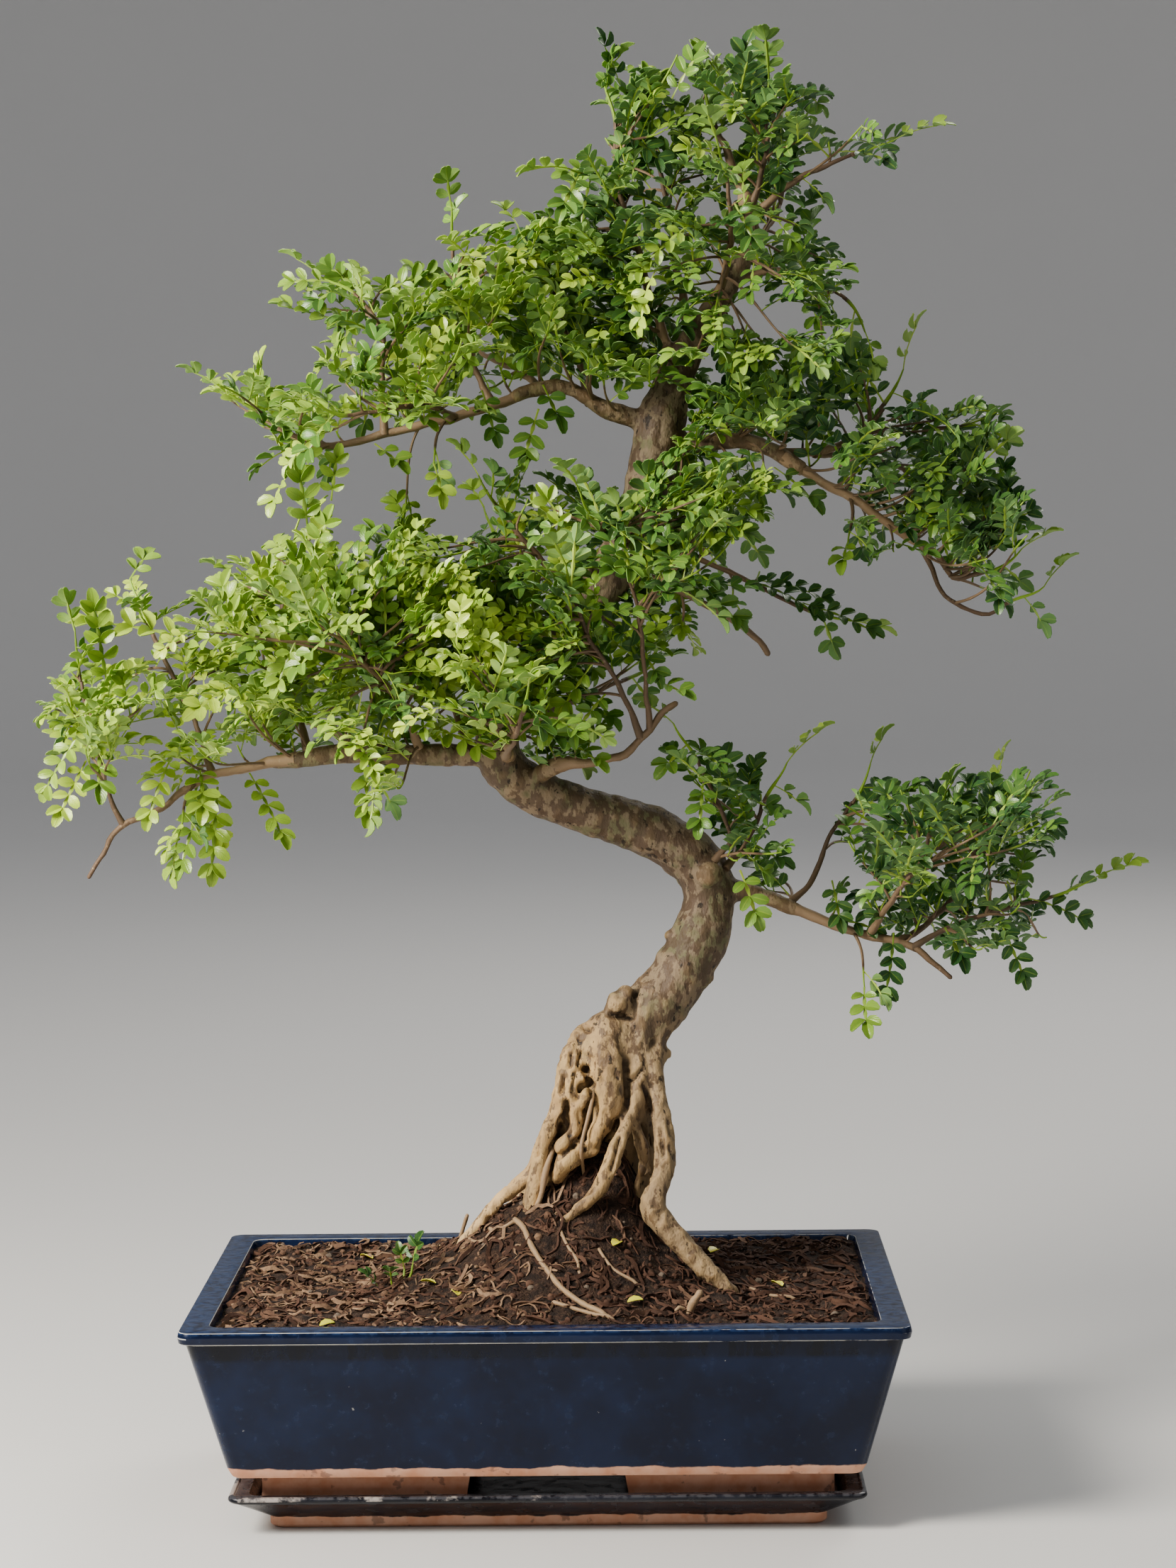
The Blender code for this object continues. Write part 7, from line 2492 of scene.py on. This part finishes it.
    def pebble(self, heap: Heap, x: float, y: float, draw: random.Random) -> None:
        """One small rounded crumb or stone, half sunk in."""
        radius = draw.uniform(*self.pebble_radius)
        height = self.surface(x, y) - self.pebble_sunk * radius
        turn = draw.uniform(0, math.pi)
        path = [Vector((x + radius * step * math.cos(turn), y + radius * step * math.sin(turn),
                        height, radius * wide))
                for step, wide in self.pebble_profile]
        points, faces = tube(path, self.pebble_sides, draw, self.pebble_swell)
        stony = 1.0 if draw.random() < self.stony_pebbles else 0.0
        shade = self.pebble_light * self.shade(x, draw)
        heap.add(points, faces, flat_tint(len(points), shade, stony))

    def fibre(self, heap: Heap, x: float, y: float, draw: random.Random) -> None:
        """One curly fibre that lies on the soil."""
        heading = draw.uniform(0, 2 * math.pi)
        curl = draw.uniform(-self.fibre_curl, self.fibre_curl)
        long = draw.random() < self.long_fibres
        step = draw.uniform(*(self.long_fibre_step if long else self.fibre_step))
        radius = draw.uniform(*(self.long_fibre_radius if long else self.fibre_radius))
        phase, bow = draw.uniform(0, 2 * math.pi), draw.uniform(*self.fibre_bow)
        shade = self.shade(x, draw)
        path = []
        for index in range(self.fibre_steps):
            wave = bow * (1 + math.sin(phase + index * self.fibre_turn))
            z = self.surface(x, y) + radius * self.fibre_up + wave
            end = index in (0, self.fibre_steps - 1)
            path.append(Vector((x, y, z, radius * (self.fibre_ends if end else 1.0))))
            heading += curl + draw.uniform(-self.fibre_crook, self.fibre_crook)
            x += step * math.cos(heading)
            y += step * math.sin(heading)
            x, y = (min(max(value, self.rim_gap - size / 2), size / 2 - self.rim_gap)
                    for value, size in zip((x, y), SOIL_EDGE))
        if (path[-1] - path[0]).to_3d().length < self.shortest_fibre:
            return
        points, faces = tube(path, 3, draw, self.fibre_swell)
        heap.add(points, faces, flat_tint(len(points), shade, 0.0))

    def chip(self, heap: Heap, x: float, y: float, draw: random.Random) -> None:
        """One bent flake of bark."""
        long, wide = draw.uniform(*self.chip_length), draw.uniform(*self.chip_width)
        thick = draw.uniform(*self.chip_thickness)
        corners = []
        for along in (-1, 0, 1):
            for across in (-1, 1):
                taper = 1.0 if along == 0 else draw.uniform(*self.chip_taper)
                corners.append((along * long / 2, across * wide / 2 * taper,
                                -self.chip_bend * long * abs(along)))
        flat = np.array(corners)
        points = np.concatenate([flat + [0, 0, thick], flat - [0, 0, thick * 0.4]])
        turn = Matrix.Rotation(draw.uniform(0, 2 * math.pi), 3, "Z")
        for axis in "XY":
            tilt = draw.uniform(-self.chip_tilt, self.chip_tilt)
            turn = turn @ Matrix.Rotation(tilt, 3, axis)
        points = points @ np.array(turn).T + [x, y, self.surface(x, y) + self.chip_up]
        quads = np.array([(0, 2, 3, 1), (2, 4, 5, 3), (7, 9, 8, 6), (9, 11, 10, 8), (0, 6, 8, 2),
                          (2, 8, 10, 4), (3, 9, 7, 1), (5, 11, 9, 3), (1, 7, 6, 0), (4, 10, 11, 5)])
        heap.add(points, [quads], flat_tint(len(points), self.shade(x, draw), 0.0))

    def build(self) -> None:
        """Makes the soil and its litter."""
        bed, litter = self.bed(), self.litter()
        for piece in (bed, litter):
            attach(piece, "root")
            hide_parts("soil")
        log.info("soil: %d faces, litter %d", len(bed.data.polygons), len(litter.data.polygons))


@dataclass
class SmallGrowth:
    """What stands or lies on the soil: a seedling, a dry twig, a root's end, fallen leaflets."""

    cutter: LeafCutter
    skin: Material
    twig_skin: Material
    seedling_foot: Point = (-62, -22, 78)
    seedling_head: Point = (-58, -25, 101)
    side_stems: tuple[Point, ...] = ((-9, -3, -6), (7, 2, -8), (-4, 7, -3), (-15, 1, -9))
    stem: tuple[float, float] = (0.8, 0.5)
    stem_tint: tuple[float, float] = (0.4, 0.9)
    head_size: float = 0.80
    side_size: float = 0.60
    youth: float = 0.18
    dead: ClassVar[dict[str, tuple[str, list[Station], list[Station]]]] = {
        "dry_stick": ("dry_twig",
                      [(-47, 14, 78, 1.2), (-41, 12, 100, 1.1), (-36, 10, 116, 0.8)],
                      [(-43, 12.6, 94, 0.7), (-47, 11, 99, 0.6), (-48, 9, 103, 0.5)]),
        "bare_root_end": ("root_end",
                          [(58, -74, 80, 2.1), (60, -75, 92, 1.8), (64, -76, 99, 1.7)],
                          [(59, -74.5, 90, 1.0), (56, -76, 93, 0.9), (54, -77, 92, 0.8)]),
    }
    dead_pitch: float = 2.0
    dead_sides: int = 10
    dead_swell: float = 0.14
    dead_shade: float = 0.95
    fallen: tuple[tuple[float, float, float], ...] = (
        (-93, -84, 0.4), (-37, -58, 1.9), (34, -74, 0.2), (-47, -46, 2.8), (28, -42, 1.1),
        (100, -26, 2.2), (70, 34, 0.9), (-80, 40, 2.5),
    )
    fallen_size: tuple[float, float] = (6.6, 4.8)
    fallen_cup: float = 0.3
    fallen_up: float = 1.6
    fallen_tilt: tuple[float, float] = (0.15, 0.2)
    fallen_shade: tuple[float, float] = (0.4, 0.07)
    fallen_youth: float = 1.55

    def seedling(self) -> None:
        """A young plant of a few stems with round leaflets."""
        heap = Heap()
        draw = random.Random(Seed.YOUNG_PLANT.value)
        foot, head = Vector(self.seedling_foot), Vector(self.seedling_head)
        tips = [head, *[head + Vector(away) for away in self.side_stems]]
        for number, tip in enumerate(tips):
            start = foot + Vector((draw.uniform(-2, 2), draw.uniform(-2, 2), 6))
            twig = Twig(start, start + UP * 6, tip - UP * 5, tip, 0.0)
            points, faces = tube(twig.path(*self.stem), 6)
            tint = flat_tint(len(points), *self.stem_tint)
            heap.add(points, faces, tint, None, TWIG_DRESS)
            ahead = (tip - foot + Vector((draw.uniform(-6, 6), -6, 0))).normalized()
            face_up = (UP - UP.dot(ahead) * ahead + Vector((0, -0.5, 0))).normalized()
            face_up = square_to(ahead, face_up)
            size = self.head_size if number == 0 else self.side_size
            leaf = Leaf(2, tip, ahead, face_up, size, self.youth, draw.random())
            self.cutter.set(heap, leaf)
        piece = heap.piece("young_plant", [self.skin, self.twig_skin])
        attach(piece, "root")
        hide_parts("seedling")

    def dead_wood(self) -> None:
        """The dry twig behind the seedling and the bare root's end at the front right."""
        draw = random.Random(Seed.DEAD_WOOD.value)
        for name, (node, *parts) in self.dead.items():
            heap = Heap()
            for stations in parts:
                path = smooth_path(stations, self.dead_pitch)
                points, faces = tube(path, self.dead_sides, draw, self.dead_swell)
                heap.add(points, faces, flat_tint(len(points), self.dead_shade, 0.0))
            piece = heap.piece(name, [self.twig_skin])
            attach(piece, "root")
            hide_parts(node)

    def fallen_leaflets(self, soil: Soil) -> None:
        """Yellow leaflets that have dropped on the soil."""
        heap = Heap()
        first, step = self.fallen_shade
        for index, (x, y, turn) in enumerate(self.fallen):
            unit, faces, blade, under = self.cutter.shape_leaflet(self.fallen_cup)
            base = (x, y, soil.surface(x, y) + self.fallen_up)
            points = self.cutter.lay(base, turn, *self.fallen_tilt, *self.fallen_size, unit)
            tint = flat_tint(len(points), first + step * index, self.fallen_youth)
            tint[:, 2] = under
            blade = np.column_stack([blade, np.zeros(len(blade))])
            heap.add(points, [faces], tint, blade)
        piece = heap.piece("fallen_leaflets", [self.skin])
        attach(piece, "root")

    def build(self, soil: Soil) -> None:
        """Makes them all."""
        self.seedling()
        self.dead_wood()
        self.fallen_leaflets(soil)
        log.info("small growth: %d leaflets on the soil", len(self.fallen))


@dataclass
class Studio:
    """Pale floor that curves up into a backdrop, soft lights, and the camera."""

    floor: Material
    radius: float = 7.0
    cove: float = 2.2
    height: float = 4.6
    pitch: float = 4.06
    yaw: float = -0.76
    roll: float = -0.65
    focal_pixels: float = 5173.0
    picture_height: float = 2212.0
    sensor: float = 36.0
    wall_sides: int = 96
    cove_steps: int = 10
    aim: Point = (0.0, 0.0, 0.33)
    lamps: tuple[tuple[str, Point, float, float, Colour], ...] = (
        ("key", (-0.80, -0.60, 0.84), 0.46, 23.0, (1.0, 0.95, 0.87)),
        ("fill", (1.9, -1.5, 0.9), 1.6, 2.5, (0.92, 0.96, 1.0)),
        ("rim", (0.9, 1.7, 1.7), 1.2, 14.0, (1.0, 0.97, 0.92)),
    )
    sky: Colour = (0.93, 0.95, 1.0)
    sky_strength: float = 0.38
    look: str = "AgX - Medium High Contrast"

    def backdrop(self) -> None:
        """Floor and wall turned from one profile."""
        bpy.ops.object.select_all(action="DESELECT")
        bpy.ops.mesh.primitive_circle_add(vertices=self.wall_sides, fill_type="NGON",
                                          radius=self.radius - self.cove)
        stage = Bench.named("pale_floor")
        bpy.ops.object.mode_set(mode="EDIT")
        bpy.ops.mesh.select_mode(type="FACE")
        bpy.ops.mesh.select_all(action="SELECT")
        before = (self.radius - self.cove, 0.0)
        steps = self.cove_steps
        profile = [(self.radius - self.cove * (1 - math.sin(a)), self.cove * (1 - math.cos(a)))
                   for a in (math.pi / 2 * (i + 1) / steps for i in range(steps))]
        profile.append((self.radius, self.height))
        for radius, height in profile:
            rise = height - before[1]
            bpy.ops.mesh.extrude_region_move(TRANSFORM_OT_translate={"value": (0, 0, rise)})
            bpy.ops.transform.resize(value=(radius / before[0], radius / before[0], 1),
                                     center_override=(0, 0, height))
            before = (radius, height)
        bpy.ops.mesh.delete(type="FACE")
        bpy.ops.mesh.select_all(action="SELECT")
        bpy.ops.mesh.normals_make_consistent(inside=True)
        bpy.ops.object.mode_set(mode="OBJECT")
        stage.data.materials.append(self.floor)
        Bench.shade(stage, 60)

    def lamp(self, name: str, place: Point, size: float, power: float, colour: Colour) -> None:
        """A soft square light that faces the tree."""
        data = bpy.data.lights.new(name, "AREA")
        data.size = size
        data.energy = power
        data.color = colour
        item = bpy.data.objects.new(name, data)
        item.location = place
        way = Vector(self.aim) - Vector(place)
        item.rotation_euler = way.to_track_quat("-Z", "Y").to_euler()
        bpy.context.scene.collection.objects.link(item)

    def lights(self) -> None:
        """Key from the upper front left, fill from the right, rim from behind, and the sky."""
        for lamp in self.lamps:
            self.lamp(*lamp)
        world = bpy.data.worlds.new("sky")
        bpy.context.scene.world = world
        world.use_nodes = True
        sky = world.node_tree.nodes["Background"]
        sky.inputs["Color"].default_value = (*self.sky, 1.0)
        sky.inputs["Strength"].default_value = self.sky_strength
        bpy.context.scene.view_settings.look = self.look

    def camera(self) -> None:
        """The photograph's own view."""
        pitch, yaw, roll = (math.radians(a) for a in (self.pitch, self.yaw, self.roll))
        ahead = Vector((math.sin(yaw) * math.cos(pitch), math.cos(yaw) * math.cos(pitch),
                        -math.sin(pitch)))
        right = Vector((math.cos(yaw), -math.sin(yaw), 0.0))
        above = right.cross(ahead)
        across = right * math.cos(roll) + above * math.sin(roll)
        upright = above * math.cos(roll) - right * math.sin(roll)
        data = bpy.data.cameras.new("camera")
        data.sensor_width = self.sensor
        data.lens = self.sensor * self.focal_pixels / self.picture_height
        item = bpy.data.objects.new("camera", data)
        turn = Matrix((across, upright, -ahead)).transposed().to_4x4()
        item.matrix_world = Matrix.Translation(Vector(EYE) * MM) @ turn
        bpy.context.scene.collection.objects.link(item)
        bpy.context.scene.camera = item

    def build(self) -> None:
        """Sets the stage."""
        self.backdrop()
        self.lights()
        self.camera()
        log.info("studio: set")


def main() -> None:
    """Builds and dresses the whole bonsai."""
    logging.basicConfig(level=logging.INFO, format="%(name)s %(message)s")
    noise.seed_set(NOISE_SEED)
    effects = Effects()
    blue = GlazedClay("blue_glaze", deep=(0.0045, 0.0095, 0.031), glaze=(0.0075, 0.0170, 0.054),
                      light=(0.024, 0.048, 0.120), worn_and_glint=(0.46, 0.45, 0.42), bare_below=BAND_TOP,
                      rim_top=RIM_TOP, lip_shade_band=(RIM_TOP - 13.5, RIM_TOP - 5.4))
    slate = GlazedClay("slate_glaze", deep=(0.005, 0.005, 0.008), glaze=(0.024, 0.026, 0.036),
                       light=(0.080, 0.080, 0.090), worn_and_glint=(0.34, 0.31, 0.29),
                       bare_below=TRAY_FOOT_TOP, rim_top=TRAY_RIM_TOP, gloss=0.22, wear=0.26)
    twig_skin = TwigSkin("twig_skin").make(effects)
    leaf_skin = LeafSkin("leaf_skin").make(effects)
    Pot(blue.make(effects)).build()
    Tray(slate.make(effects)).build()
    soil = Soil(Humus("humus").make(effects), Strand("strand").make(effects))
    soil.build()
    Wood(Bark("bark").make(effects), twig_skin).build()
    cutter = LeafCutter()
    cutter.cut_all()
    foliage = Foliage(cutter, leaf_skin, twig_skin)
    foliage.sprays()
    foliage.filling()
    log.info("foliage: %d leaves", foliage.leaf_count)
    SmallGrowth(cutter, leaf_skin, twig_skin).build(soil)
    Studio(Backdrop("pale_paper").make(effects)).build()


if __name__ == "__main__":
    main()
